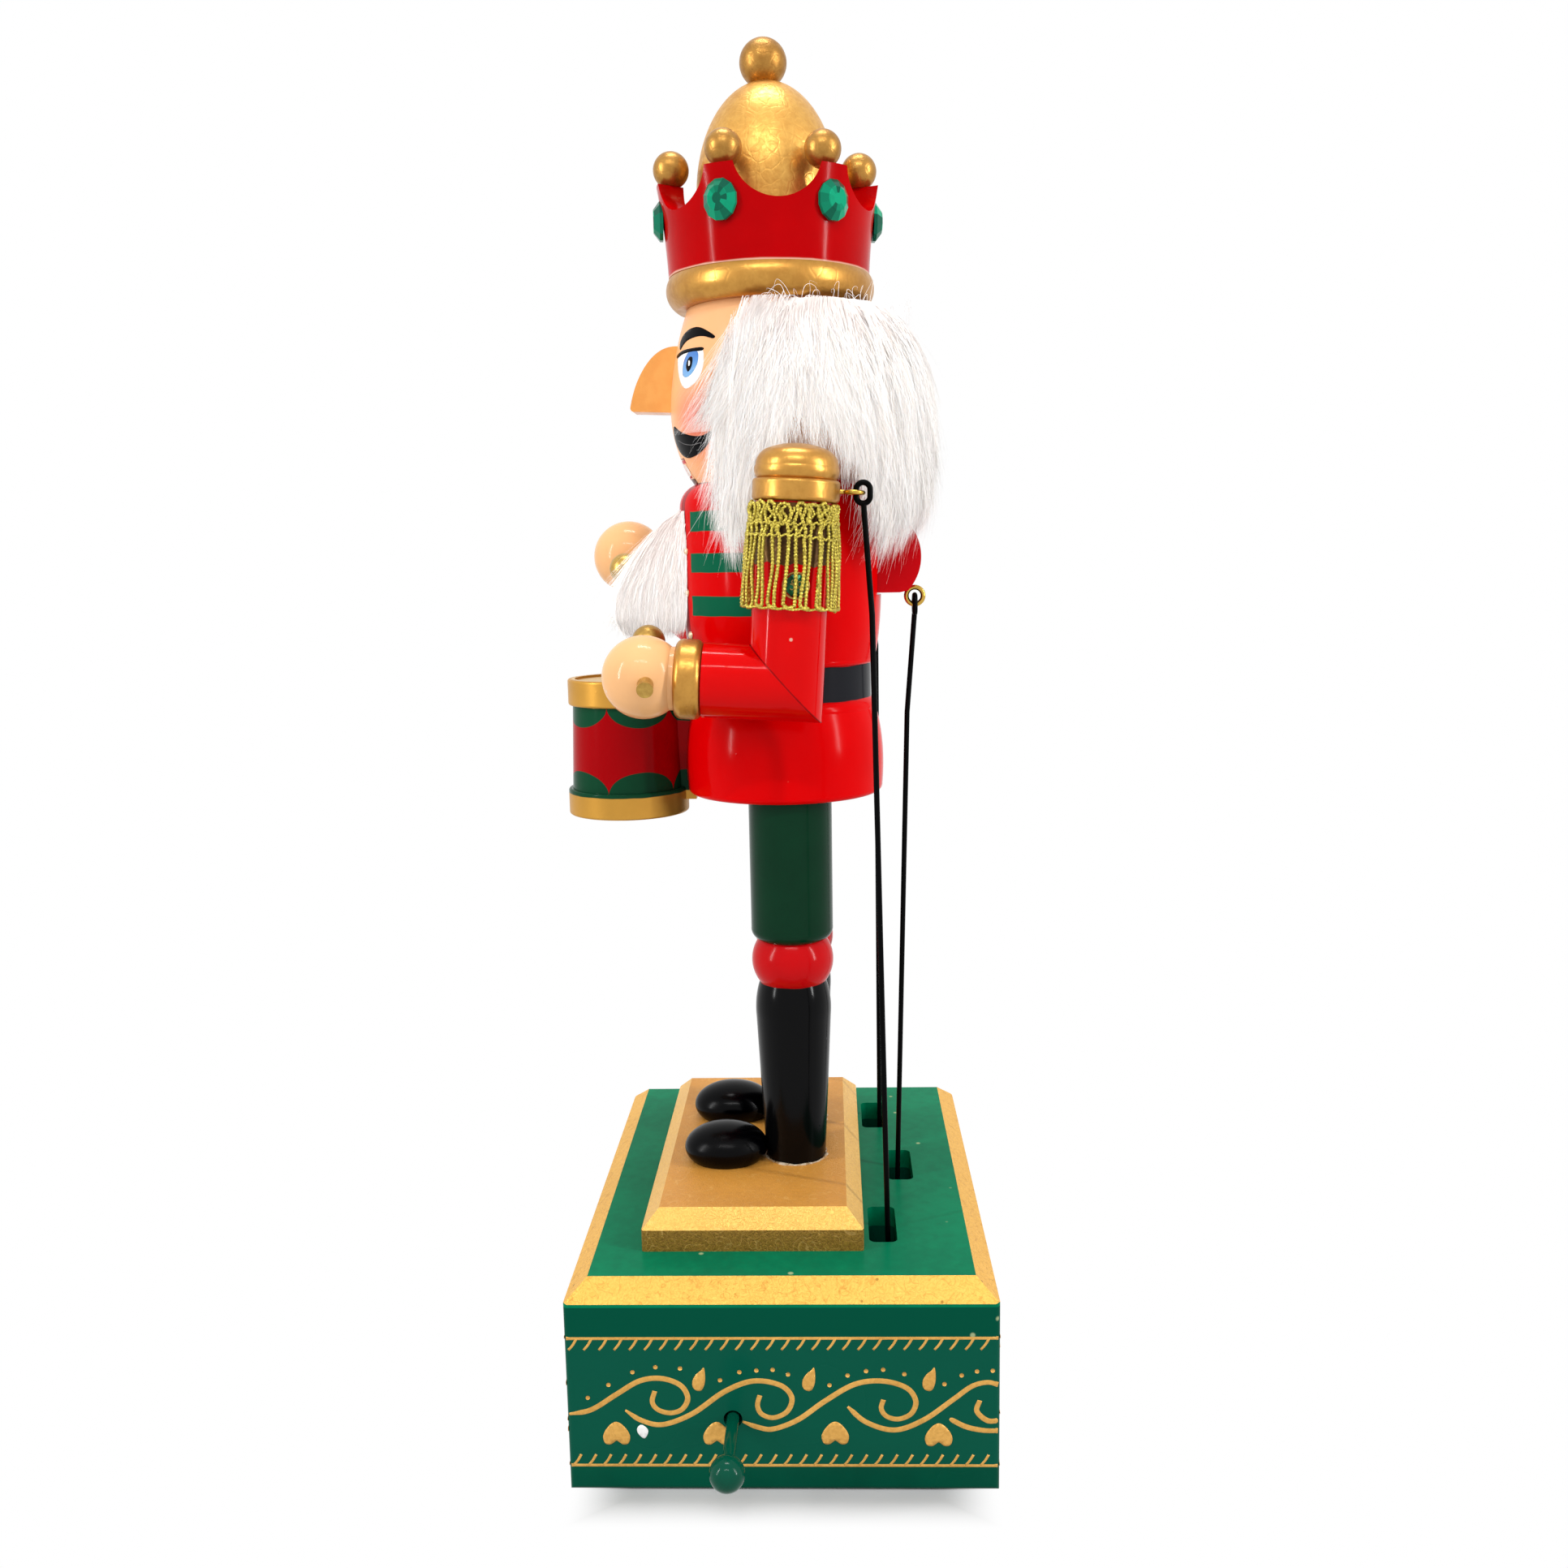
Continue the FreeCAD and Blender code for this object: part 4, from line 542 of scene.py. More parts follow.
@dataclass(frozen=True)
class DrumPaint(Lacquer):
    """The drum's lacquer: a red band with scalloped edges, and gold hoops."""

    centre_y: float = -47.3
    low: float = 187.6
    high: float = 214.2
    lobes: int = 5
    depth: float = 6.6
    turn: float = 0.571
    red: Rgb = (156, 0, 6)
    hoop: Rgb = (198, 146, 62)
    head: Rgb = (206, 178, 128)
    head_z: float = 217.0
    head_r: float = 16.4

    def material(self) -> bpy.types.Material:
        """Builds the drum's paint with its hoops in metal paint."""
        made, bench, shader = new_material(self.name)
        shader.inputs["Specular IOR Level"].default_value = self.level
        place = bench.object_place()
        x, y, z = self.axes(bench, place)
        green = self.tone(bench, place)
        around = bench.calc("ARCTAN2", x, bench.minus(y, self.centre_y))
        turn = bench.calc("FRACT", bench.plus(bench.times(around, self.lobes / (2 * math.pi)), self.turn))
        across = bench.minus(bench.times(turn, 2.0), 1.0)
        bow = bench.calc("SQRT", bench.minus(1.0, bench.times(across, across)))
        reach = bench.times(bow, self.depth)
        from_top = bench.minus(self.high, z)
        from_foot = bench.minus(z, self.low)
        inside = bench.calc("MINIMUM", bench.minus(from_top, reach), bench.minus(from_foot, reach))
        colour = bench.mix(bench.ramp(inside, -0.15, 0.15), green, self.red)
        hoops = bench.calc("MAXIMUM", bench.ramp(from_top, 0.6, 0.3), bench.ramp(from_foot, -0.7, -1.0))
        cloud = bench.group(Effect.CLOUDS, Place=place, Scale=45.0, Grain=0.15)
        gold = bench.mix(cloud.outputs["Tone"], scaled(self.hoop, 0.94), self.hoop)
        top = bench.times(bench.ramp(bench.slope(), 0.8, 0.95), bench.ramp(z, self.head_z, self.head_z + 0.5))
        off = bench.add("ShaderNodeCombineXYZ", {0: x, 1: bench.minus(y, self.centre_y)}).outputs[0]
        top = bench.times(top, bench.ramp(bench.vector("LENGTH", off), self.head_r + 0.2, self.head_r - 0.2))
        colour = bench.mix(top, bench.mix(hoops, colour, gold), self.head)
        metal = bench.times(hoops, bench.minus(1.0, top))
        bench.feed(shader.inputs["Metallic"], bench.times(metal, 0.55))
        bench.look(shader, colour, bench.between(hoops, self.gloss, 0.34))
        coat = bench.group(Effect.BRUSHED, Place=place, Scale=self.scale, Stretch=self.stretch, Nibs=0.25)
        bench.relief(shader, coat.outputs["Height"], self.ripple, 0.002)
        return made


@dataclass(frozen=True)
class GoldPaint:
    """Gold paint or leaf: satin metal with fine creases, and its painted patches."""

    name: str
    colour: Rgb
    shade: Rgb
    rough: float = 0.32
    metal: float = 0.9
    scale: float = 330.0
    relief: float = 0.12
    specks: float = 0.0
    lines: float = 0.0
    patches: tuple[Patch, ...] = ()

    def material(self) -> bpy.types.Material:
        """Builds the gold."""
        made, bench, shader = new_material(self.name)
        place = bench.object_place()
        crease = bench.group(Effect.CRINKLE, Place=place, Scale=self.scale)
        cloud = bench.group(Effect.CLOUDS, Place=place, Scale=55.0, Grain=0.2)
        tone = bench.between(0.55, crease.outputs["Tone"], cloud.outputs["Tone"])
        colour = bench.mix(tone, self.shade, self.colour)
        if self.patches:
            axes = bench.split(bench.vector("MULTIPLY", place, (1000.0,) * 3))
            for patch in self.patches:
                colour = bench.mix(patch.mask(bench, axes), colour, patch.colour, "MULTIPLY")
        if self.lines:
            thin = bench.group(Effect.HAIRLINES, Place=place, Scale=70.0, Width=0.03)
            colour = bench.mix(bench.times(thin.outputs["Mask"], self.lines), colour, (250, 214, 130))
        if self.specks:
            dirt = bench.group(Effect.SPECKS, Place=place, Scale=520.0, Amount=self.specks)
            colour = bench.mix(bench.times(dirt.outputs["Mask"], 0.7), colour, (92, 58, 20))
        shader.inputs["Metallic"].default_value = self.metal
        bench.look(shader, colour, bench.between(tone, self.rough * 1.25, self.rough * 0.85))
        bench.relief(shader, crease.outputs["Height"], self.relief, 0.0006)
        return made


@dataclass(frozen=True)
class BareMetal:
    """Machined or drawn metal with a fine directional grain."""

    name: str
    colour: Rgb
    rough: float = 0.3
    metal: float = 1.0
    scale: float = 260.0

    def material(self) -> bpy.types.Material:
        """Builds the metal."""
        made, bench, shader = new_material(self.name)
        place = bench.object_place()
        coat = bench.group(Effect.BRUSHED, Place=place, Scale=self.scale, Stretch=0.1, Nibs=0.0)
        tone = coat.outputs["Tone"]
        colour = bench.mix(tone, scaled(self.colour, 0.82), self.colour)
        shader.inputs["Metallic"].default_value = self.metal
        bench.look(shader, colour, bench.between(tone, self.rough * 0.8, self.rough * 1.25))
        bench.relief(shader, coat.outputs["Height"], 0.08)
        return made


@dataclass(frozen=True)
class BareWood:
    """Plain or lightly oiled wood with its grain along one axis."""

    name: str
    light: Rgb
    dark: Rgb
    gloss: float = 0.3
    along: int = 2

    def material(self) -> bpy.types.Material:
        """Builds the wood."""
        made, bench, shader = new_material(self.name)
        place = bench.object_place()
        squeeze = [1.0, 1.0, 1.0]
        squeeze[self.along] = 0.12
        drawn = bench.vector("MULTIPLY", place, tuple(squeeze))
        rings = bench.noise(drawn, 190.0, 3.0, 0.55)
        pores = bench.noise(drawn, 1400.0, 2.0, 0.6)
        cloud = bench.group(Effect.CLOUDS, Place=place, Scale=60.0, Grain=0.1)
        grain = bench.plus(bench.times(bench.ramp(rings.outputs["Fac"], 0.35, 0.65), 0.6),
                           bench.times(cloud.outputs["Tone"], 0.4))
        bench.look(shader, bench.mix(grain, self.dark, self.light),
                   bench.between(grain, self.gloss * 1.2, self.gloss * 0.85))
        bench.relief(shader, pores.outputs["Fac"], 0.06)
        return made


@dataclass(frozen=True)
class PlushFur:
    """White plush: painted shade at the root and on a few grey strands, bright at the tip.

    U runs from root to tip, and V is the strand's own tone. The glow stands for the light that white
    fibres pass on to each other.
    """

    name: str
    glow: float = 0.04
    # root is painted shade deep in the fur; grey is painted shade of the gaps between strands
    root: Rgb = (246, 235, 230)
    tip: Rgb = (255, 255, 255)
    warm: Rgb = (252, 243, 234)
    grey: Rgb = (208, 199, 199)

    def material(self) -> bpy.types.Material:
        """Builds the fur."""
        made, bench, shader = new_material(self.name)
        along, tone, _ = bench.split(bench.add("ShaderNodeTexCoord").outputs["UV"])
        tip = bench.mix(bench.ramp(tone, 0.2, 1.0), self.tip, self.warm)
        # The grey strands and the darker root are painted shade, of the gaps between strands and of the fur's
        # depth.
        tip = bench.mix(bench.ramp(tone, 0.13, 0.03), tip, self.grey)
        colour = bench.mix(bench.ramp(along, 0.0, 0.55), self.root, tip)
        bench.look(shader, colour, bench.between(tone, 0.5, 0.7))
        shader.inputs["Sheen Weight"].default_value = 0.35
        shader.inputs["Sheen Roughness"].default_value = 0.5
        shader.inputs["Emission Color"].default_value = linear(self.tip)
        shader.inputs["Emission Strength"].default_value = self.glow
        return made


@dataclass(frozen=True)
class Cord:
    """Metallic cord thread, twisted and bright on its crowns."""

    name: str
    colour: Rgb = (238, 220, 92)
    shade: Rgb = (112, 90, 14)
    rough: float = 0.24

    def material(self) -> bpy.types.Material:
        """Builds the cord's thread."""
        made, bench, shader = new_material(self.name)
        place = bench.object_place()
        crease = bench.group(Effect.CRINKLE, Place=place, Scale=1500.0)
        tone = crease.outputs["Tone"]
        shader.inputs["Metallic"].default_value = 0.6
        bench.look(shader, bench.mix(tone, self.shade, self.colour),
                   bench.between(tone, self.rough * 1.3, self.rough))
        bench.relief(shader, crease.outputs["Height"], 0.3, 0.0003)
        return made


@dataclass(frozen=True)
class CutStone:
    """A faceted stone with a foiled back."""

    name: str
    colour: Rgb
    deep: Rgb

    def facet(self, bench: Bench) -> bpy.types.NodeSocket:
        """Gives each facet a value of its own."""
        cell = bench.add("ShaderNodeTexVoronoi", {"Vector": bench.object_place(), "Scale": 330.0})
        return bench.add("ShaderNodeSeparateColor", {0: cell.outputs["Color"]}).outputs[0]

    def material(self) -> bpy.types.Material:
        """Builds the stone, with light and dark facet tones as painted reflections."""
        made, bench, shader = new_material(self.name)
        # Each facet's tone is a painted reflection.
        tone = bench.ramp(self.facet(bench), 0.15, 0.9)
        bench.look(shader, bench.mix(tone, self.deep, self.colour), bench.between(tone, 0.04, 0.1))
        shader.inputs["Metallic"].default_value = 0.3
        shader.inputs["Specular IOR Level"].default_value = 0.2
        return made


@dataclass(frozen=True)
class CrownStones(CutStone):
    """Oval stones in a ring about an upright axis, each with facets laid round a flat table."""

    count: int = 6
    turn: float = 37.5
    axis_y: float = -0.5
    middle_z: float = 354.5
    radius: float = 32.6
    half_width: float = 5.0
    half_height: float = 5.6
    facets: int = 12
    rims: Spot = (0.26, 0.60)

    def facet(self, bench: Bench) -> bpy.types.NodeSocket:
        """Gives the table and each facet round it a value of its own.

        Args:
            bench: The material's bench.

        Returns:
            The value's socket.
        """
        x, y, z = (bench.times(part, 1000.0) for part in bench.split(bench.object_place()))
        around = bench.calc("ARCTAN2", bench.minus(y, self.axis_y), x)
        turn = bench.minus(bench.times(around, self.count / (2 * math.pi)), self.turn * self.count / 360)
        stone = bench.calc("ROUND", turn)
        u = bench.times(bench.minus(turn, stone), self.radius * 2 * math.pi / self.count / self.half_width)
        v = bench.calc("DIVIDE", bench.minus(z, self.middle_z), self.half_height)
        out = bench.vector("LENGTH", bench.add("ShaderNodeCombineXYZ", {0: u, 1: v}).outputs[0])
        past_table, past_star = (bench.calc("GREATER_THAN", out, rim) for rim in self.rims)
        wedge = bench.calc("ROUND", bench.times(bench.calc("ARCTAN2", v, u), self.facets / (2 * math.pi)))
        wedge = bench.times(bench.calc("FLOORED_MODULO", wedge, self.facets), past_table)
        seed = bench.plus(wedge, bench.times(past_star, 17.0))
        seed = bench.plus(seed, bench.times(bench.calc("FLOORED_MODULO", stone, self.count), 31.0))
        noise = bench.add("ShaderNodeTexWhiteNoise", {"W": bench.plus(seed, 0.5)}, noise_dimensions="1D")
        return noise.outputs["Value"]


@dataclass(frozen=True)
class Glue:
    """Dried clear glue, milky where it is thick."""

    name: str
    colour: Rgb = (214, 205, 184)

    def material(self) -> bpy.types.Material:
        """Builds the glue."""
        made, bench, shader = new_material(self.name)
        place = bench.object_place()
        tone = bench.group(Effect.CLOUDS, Place=place, Scale=500.0, Grain=0.3).outputs["Tone"]
        bench.look(shader, bench.mix(tone, (176, 140, 92), self.colour), bench.between(tone, 0.18, 0.4))
        bench.feed(shader.inputs["Alpha"], bench.between(tone, 0.35, 0.85))
        return made


class Shape:
    """Collects the points and faces of one mesh, in millimetres."""

    def __init__(self) -> None:
        """Starts empty."""
        self.points: list[np.ndarray] = []
        self.faces: list[tuple[int, ...]] = []
        self.count = 0

    def put(self, points: np.ndarray, faces: list[tuple[int, ...]]) -> None:
        """Adds points, and faces that count from the first of them.

        Args:
            points: One row for each point.
            faces: Each face's points.
        """
        self.points.append(np.asarray(points, float))
        self.faces.extend(tuple(i + self.count for i in face) for face in faces)
        self.count += len(points)

    def tube(self, path: np.ndarray, radius: float | np.ndarray, sides: int = 8,
             closed: bool = False) -> None:
        """Adds a round tube along a path.

        Args:
            path: The path's points, one row each.
            radius: The tube's radius, or one for each point.
            sides: How many sides it has.
            closed: Whether the path joins up.
        """
        path = np.asarray(path, float)
        n = len(path)
        radii = np.broadcast_to(np.asarray(radius, float), (n,))
        ahead = np.roll(path, -1, 0) - np.roll(path, 1, 0)
        if not closed:
            ahead[0], ahead[-1] = path[1] - path[0], path[-1] - path[-2]
        ahead /= np.linalg.norm(ahead, axis=1)[:, None] + 1e-12
        side = np.cross(ahead[0], (0.31, 0.22, 0.92) if abs(ahead[0][2]) < 0.8 else (0.95, 0.3, 0.1))
        rows = []
        angles = np.arange(sides) * 2 * math.pi / sides
        for i in range(n):
            side = side - ahead[i] * (side @ ahead[i])
            side = side / (np.linalg.norm(side) + 1e-12)
            up = np.cross(ahead[i], side)
            rows.append(path[i] + radii[i] * (np.cos(angles)[:, None] * side + np.sin(angles)[:, None] * up))
        faces = []
        for i in range(n if closed else n - 1):
            a, b = i * sides, ((i + 1) % n) * sides
            faces += [(a + j, a + (j + 1) % sides, b + (j + 1) % sides, b + j) for j in range(sides)]
        if not closed:
            faces += [tuple(range(sides))[::-1], tuple((n - 1) * sides + j for j in range(sides))]
        self.put(np.vstack(rows), faces)

    def stroke(self, line: np.ndarray, width: float | np.ndarray, place: Place, height: float = 0.09) -> None:
        """Adds a raised brush stroke along a line on a surface.

        Args:
            line: The line's places on the surface, one row each.
            width: The stroke's width, or one for each point.
            place: Gives the point at a place on the surface and a height over it.
            height: How far the paint stands up.
        """
        n = len(line)
        half = np.broadcast_to(np.asarray(width, float), (n,)) / 2
        ahead = np.gradient(line, axis=0)
        ahead /= np.linalg.norm(ahead, axis=1)[:, None] + 1e-12
        out = np.stack([-ahead[:, 1], ahead[:, 0]], 1)
        rows = [(-1.0, -0.05), (-0.72, height * 0.8), (0.0, height), (0.72, height * 0.8), (1.0, -0.05)]
        made = [place(*(line[i] + out[i] * half[i] * share), lift) for i in range(n) for share, lift in rows]
        ends = [tuple(range(5))[::-1], tuple((n - 1) * 5 + j for j in range(5))]
        self.put(np.array(made), woven(n, 5) + ends)

    def plate(self, outline: np.ndarray, place: Place, height: float = 0.08, grain: float = 1.2) -> None:
        """Adds a flat painted shape on a surface, with thin edges.

        Args:
            outline: The shape's outline on the surface, one row each.
            place: Gives the point at a place on the surface and a height over it.
            height: How far the paint stands up.
            grain: How far apart the points inside it are.
        """
        low, high = outline.min(0), outline.max(0)
        inner = [Vector((u, v)) for u in np.arange(low[0] + grain / 2, high[0], grain)
                 for v in np.arange(low[1] + grain / 2, high[1], grain)]
        edge = [Vector(p) for p in outline]
        n = len(edge)
        spots, _, faces, origin, _, _ = delaunay_2d_cdt(edge + inner, [], [list(range(n))], 1, 1e-5)
        top = np.array([place(p.x, p.y, height) for p in spots])
        foot = np.array([place(p[0], p[1], -0.05) for p in outline])
        where = {old: new for new, olds in enumerate(origin) for old in olds}
        walls = [(where[i], where[(i + 1) % n], len(spots) + (i + 1) % n, len(spots) + i) for i in range(n)]
        used = [tuple(face) for face in faces]
        self.put(np.vstack([top, foot]), used + walls)

    def dome(self, centre: tuple[float, float, float], radius: float, outward: tuple[float, float, float],
             rise: float, rings: int = 5, sides: int = 16) -> None:
        """Adds a low round button.

        Args:
            centre: The middle of its foot.
            radius: Its radius at the foot.
            outward: The way it faces.
            rise: How far it stands up.
            rings: How many rows of faces it has.
            sides: How many sides it has.
        """
        way = Vector(outward).normalized()
        turn = way.to_track_quat("Z", "Y")
        rows = [turn @ Vector((0, 0, rise)) + Vector(centre)]
        for i in range(1, rings + 1):
            a = i / rings * math.pi / 2
            for j in range(sides):
                b = j / sides * 2 * math.pi
                flat = radius * math.sin(a)
                spot = Vector((flat * math.cos(b), flat * math.sin(b), rise * math.cos(a)))
                rows.append(turn @ spot + Vector(centre))
        faces: list[tuple[int, ...]] = [(0, 1 + j, 1 + (j + 1) % sides) for j in range(sides)]
        for i in range(rings - 1):
            a, b = 1 + i * sides, 1 + (i + 1) * sides
            faces += [(a + j, b + j, b + (j + 1) % sides, a + (j + 1) % sides) for j in range(sides)]
        faces.append(tuple(1 + (rings - 1) * sides + j for j in range(sides))[::-1])
        self.put(np.array(rows), faces)

    def piece(self, name: str, material: bpy.types.Material, body: str, slot: str,
              smooth: bool = True) -> bpy.types.Object:
        """Makes the object, gives it its material and hangs it on its body.

        Args:
            name: The piece's name.
            material: Its finish.
            body: The body that it rides on.
            slot: The record's material slot that it belongs to.
            smooth: Whether its faces are shaded smooth.

        Returns:
            The new object.
        """
        mesh = bpy.data.meshes.new(name)
        mesh.from_pydata(np.vstack(self.points) * MM, [], self.faces)
        mesh.validate()
        if smooth:
            mesh.shade_smooth()
        mesh.materials.append(material)
        return hang(bpy.data.objects.new(name, mesh), body, slot)


def hang(piece: bpy.types.Object, body: str, slot: str) -> bpy.types.Object:
    """Links a new piece, hangs it on its body and reports it.

    Args:
        piece: The piece.
        body: The body that it rides on.
        slot: Not used.

    Returns:
        The same piece.
    """
    bpy.context.scene.collection.objects.link(piece)
    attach(piece, body)
    log.info("piece %s rides on %s: %d faces", piece.name, body, len(piece.data.polygons))
    return piece


def dress(material: bpy.types.Material, *nodes: str) -> None:
    """Gives CAD nodes their finish.

    Args:
        material: The finish.
        nodes: The nodes' names.
    """
    for name in nodes:
        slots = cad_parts[name].data.materials
        slots.clear()
        slots.append(material)
        log.info("node %s wears %s", name, material.name)


class Skin:
    """The outside of a CAD node, for laying paint and trim on it."""

    far: float = 60.0
    near: float = 10.0

    def __init__(self, *nodes: str) -> None:
        """Keeps a search tree for each node.

        Args:
            nodes: The nodes' names.
        """
        self.trees = []
        for name in nodes:
            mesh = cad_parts[name].data
            corners = [v.co / MM for v in mesh.vertices]
            self.trees.append(BVHTree.FromPolygons(corners, [tuple(p.vertices) for p in mesh.polygons]))

    def hit(self, start: Vector, way: Vector) -> tuple[Vector, Vector] | None:
        """Finds where a line meets the outside.

        Args:
            start: Where the line starts.
            way: The line's direction.

        Returns:
            The nearest point and its normal, or None.
        """
        best = None
        for tree in self.trees:
            point, normal, _, far = tree.ray_cast(start, way)
            if point is not None and (best is None or far < best[2]):
                best = (point, normal, far)
        return (best[0], best[1]) if best else None

    def around(self, degrees: float, z: float, lift: float, centre: Spot = (0.0, 0.0)) -> Vector:
        """Gives the point at an angle round an upright axis, and a height over the surface.

        Args:
            degrees: The angle from the front, towards the figure's left.
            z: The height.
            lift: How far over the surface.
            centre: The axis.

        Returns:
            The point, or one close to the axis where nothing is met.
        """
        a = math.radians(degrees)
        out = Vector((math.sin(a), -math.cos(a), 0.0))
        middle = Vector((centre[0], centre[1], z))
        found = self.hit(middle + out * self.far, -out)
        return found[0] + found[1] * lift if found else middle + out * self.near


@dataclass
class Studio:
    """The camera, the lamps, the world and the pale floor."""

    eye: tuple[float, float, float] = (0.4400, 0.0152, 0.2581)
    yaw: float = -0.03191
    pitch: float = 0.158637
    roll: float = 0.018414
    focal_px: float = 1762.655
    picture_px: float = 1932.0
    film: float = 36.0
    floor_half: float = 2500.0
    floor_drop: float = 0.02
    shade_long: Spot = (0.079, 0.093)
    shade_wide: Spot = (0.042, 0.060)

    def build(self) -> None:
        """Sets the whole studio up."""
        self.camera()
        self.lamps()
        self.world()
        self.floor()
        bpy.context.scene.view_settings.view_transform = "Standard"

    def camera(self) -> None:
        """Places the camera at the photograph's viewing angle."""
        rows = Matrix(((0, 1, 0), (0, 0, 1), (1, 0, 0)))
        turn = (Matrix.Rotation(self.roll, 3, "Z") @ Matrix.Rotation(self.pitch, 3, "X")
                @ Matrix.Rotation(self.yaw, 3, "Y") @ rows)
        data = bpy.data.cameras.new("photo_camera")
        data.sensor_width = self.film
        data.lens = self.focal_px * self.film / self.picture_px
        data.clip_start = 0.01
        camera = bpy.data.objects.new("photo_camera", data)
        camera.matrix_world = Matrix.Translation(self.eye) @ turn.transposed().to_4x4()
        bpy.context.scene.collection.objects.link(camera)
        bpy.context.scene.camera = camera
        log.info("camera stands at %s", self.eye)

    def lamp(self, name: str, place: tuple[float, float, float], aim: tuple[float, float, float], size: Spot,
             watts: float) -> None:
        """Adds one soft lamp.

        Args:
            name: Its name.
            place: Where it stands.
            aim: What it points at.
            size: Its width and height.
            watts: Its power.
        """
        data = bpy.data.lights.new(name, "AREA")
        data.shape = "RECTANGLE"
        data.size, data.size_y = size
        data.energy = watts
        lamp = bpy.data.objects.new(name, data)
        lamp.location = place
        lamp.rotation_euler = (Vector(aim) - Vector(place)).to_track_quat("-Z", "Y").to_euler()
        bpy.context.scene.collection.objects.link(lamp)

    def lamps(self) -> None:
        """Adds the upright strip lamps and the one overhead."""
        self.lamp("front_lamp", (0.48, -0.92, 0.55), (0, 0, 0.25), (0.03, 0.70), 6.4)
        self.lamp("back_lamp", (0.42, 0.95, 0.55), (0, 0, 0.25), (0.035, 0.70), 7.0)
        self.lamp("face_lamp", (0.74, -0.03, 1.02), (0, 0, 0.22), (0.60, 0.022), 3.0)
        self.lamp("top_lamp", (-0.08, 0.0, 1.25), (0, 0, 0.2), (0.45, 0.12), 4.6)

    def world(self) -> None:
        """Makes the world pale for the camera and gives it a plain level of light."""
        world = bpy.data.worlds.new("studio")
        world.use_nodes = True
        bpy.context.scene.world = world
        bench = Bench(world.node_tree)
        back = world.node_tree.nodes["Background"]
        back.inputs["Color"].default_value = (1.0, 1.0, 1.0, 1.0)
        bench.feed(back.inputs["Strength"], bench.between(bench.plain_view(), 0.60, 1.0))

    def floor(self) -> None:
        """Lays the pale floor: grey in a box round the base, where it takes the base's cast shadow and its
        grey adds painted shadow, and plain white farther out.
        """
        corners = [(-1, -1), (1, -1), (1, 1), (-1, 1)]
        mesh = bpy.data.meshes.new("pale_floor")
        mesh.from_pydata(np.array([(x * self.floor_half, y * self.floor_half, -self.floor_drop)
                                   for x, y in corners]) * MM, [], [(0, 1, 2, 3)])
        made, bench, shader = new_material("pale_floor")
        place = bench.object_place()
        cloud = bench.group(Effect.CLOUDS, Place=place, Scale=3.0, Grain=0.1)
        pale = bench.mix(cloud.outputs["Tone"], (188, 188, 189), (194, 194, 194))
        bench.feed(shader.inputs["Base Color"], pale)
        shader.inputs["Roughness"].default_value = 0.9
        shader.inputs["Specular IOR Level"].default_value = 0.0
        x, y, _ = bench.split(place)
        ahead = bench.ramp(bench.calc("ABSOLUTE", x), *self.shade_long)
        beside = bench.ramp(bench.calc("ABSOLUTE", y), *self.shade_wide)
        white = bench.add("ShaderNodeEmission", {"Color": (1.0, 1.0, 1.0, 1.0), "Strength": 1.0})
        # Inside this box round the base the floor stays grey: painted shadow over the cast one.
        white_beyond_shadow_box = bench.times(bench.plain_view(), bench.calc("MAXIMUM", ahead, beside))
        both = bench.add("ShaderNodeMixShader", {0: white_beyond_shadow_box, 1: shader.outputs[0], 2: white.outputs[0]})
        bench.feed(made.node_tree.nodes["Material Output"].inputs["Surface"], both.outputs[0])
        mesh.materials.append(made)
        floor = bpy.data.objects.new("pale_floor", mesh)
        bpy.context.scene.collection.objects.link(floor)


class Wall(Enum):
    """The four walls of the box, by the way each faces."""

    LEFT = "left"
    RIGHT = "right"
    FRONT = "front"
    BACK = "back"


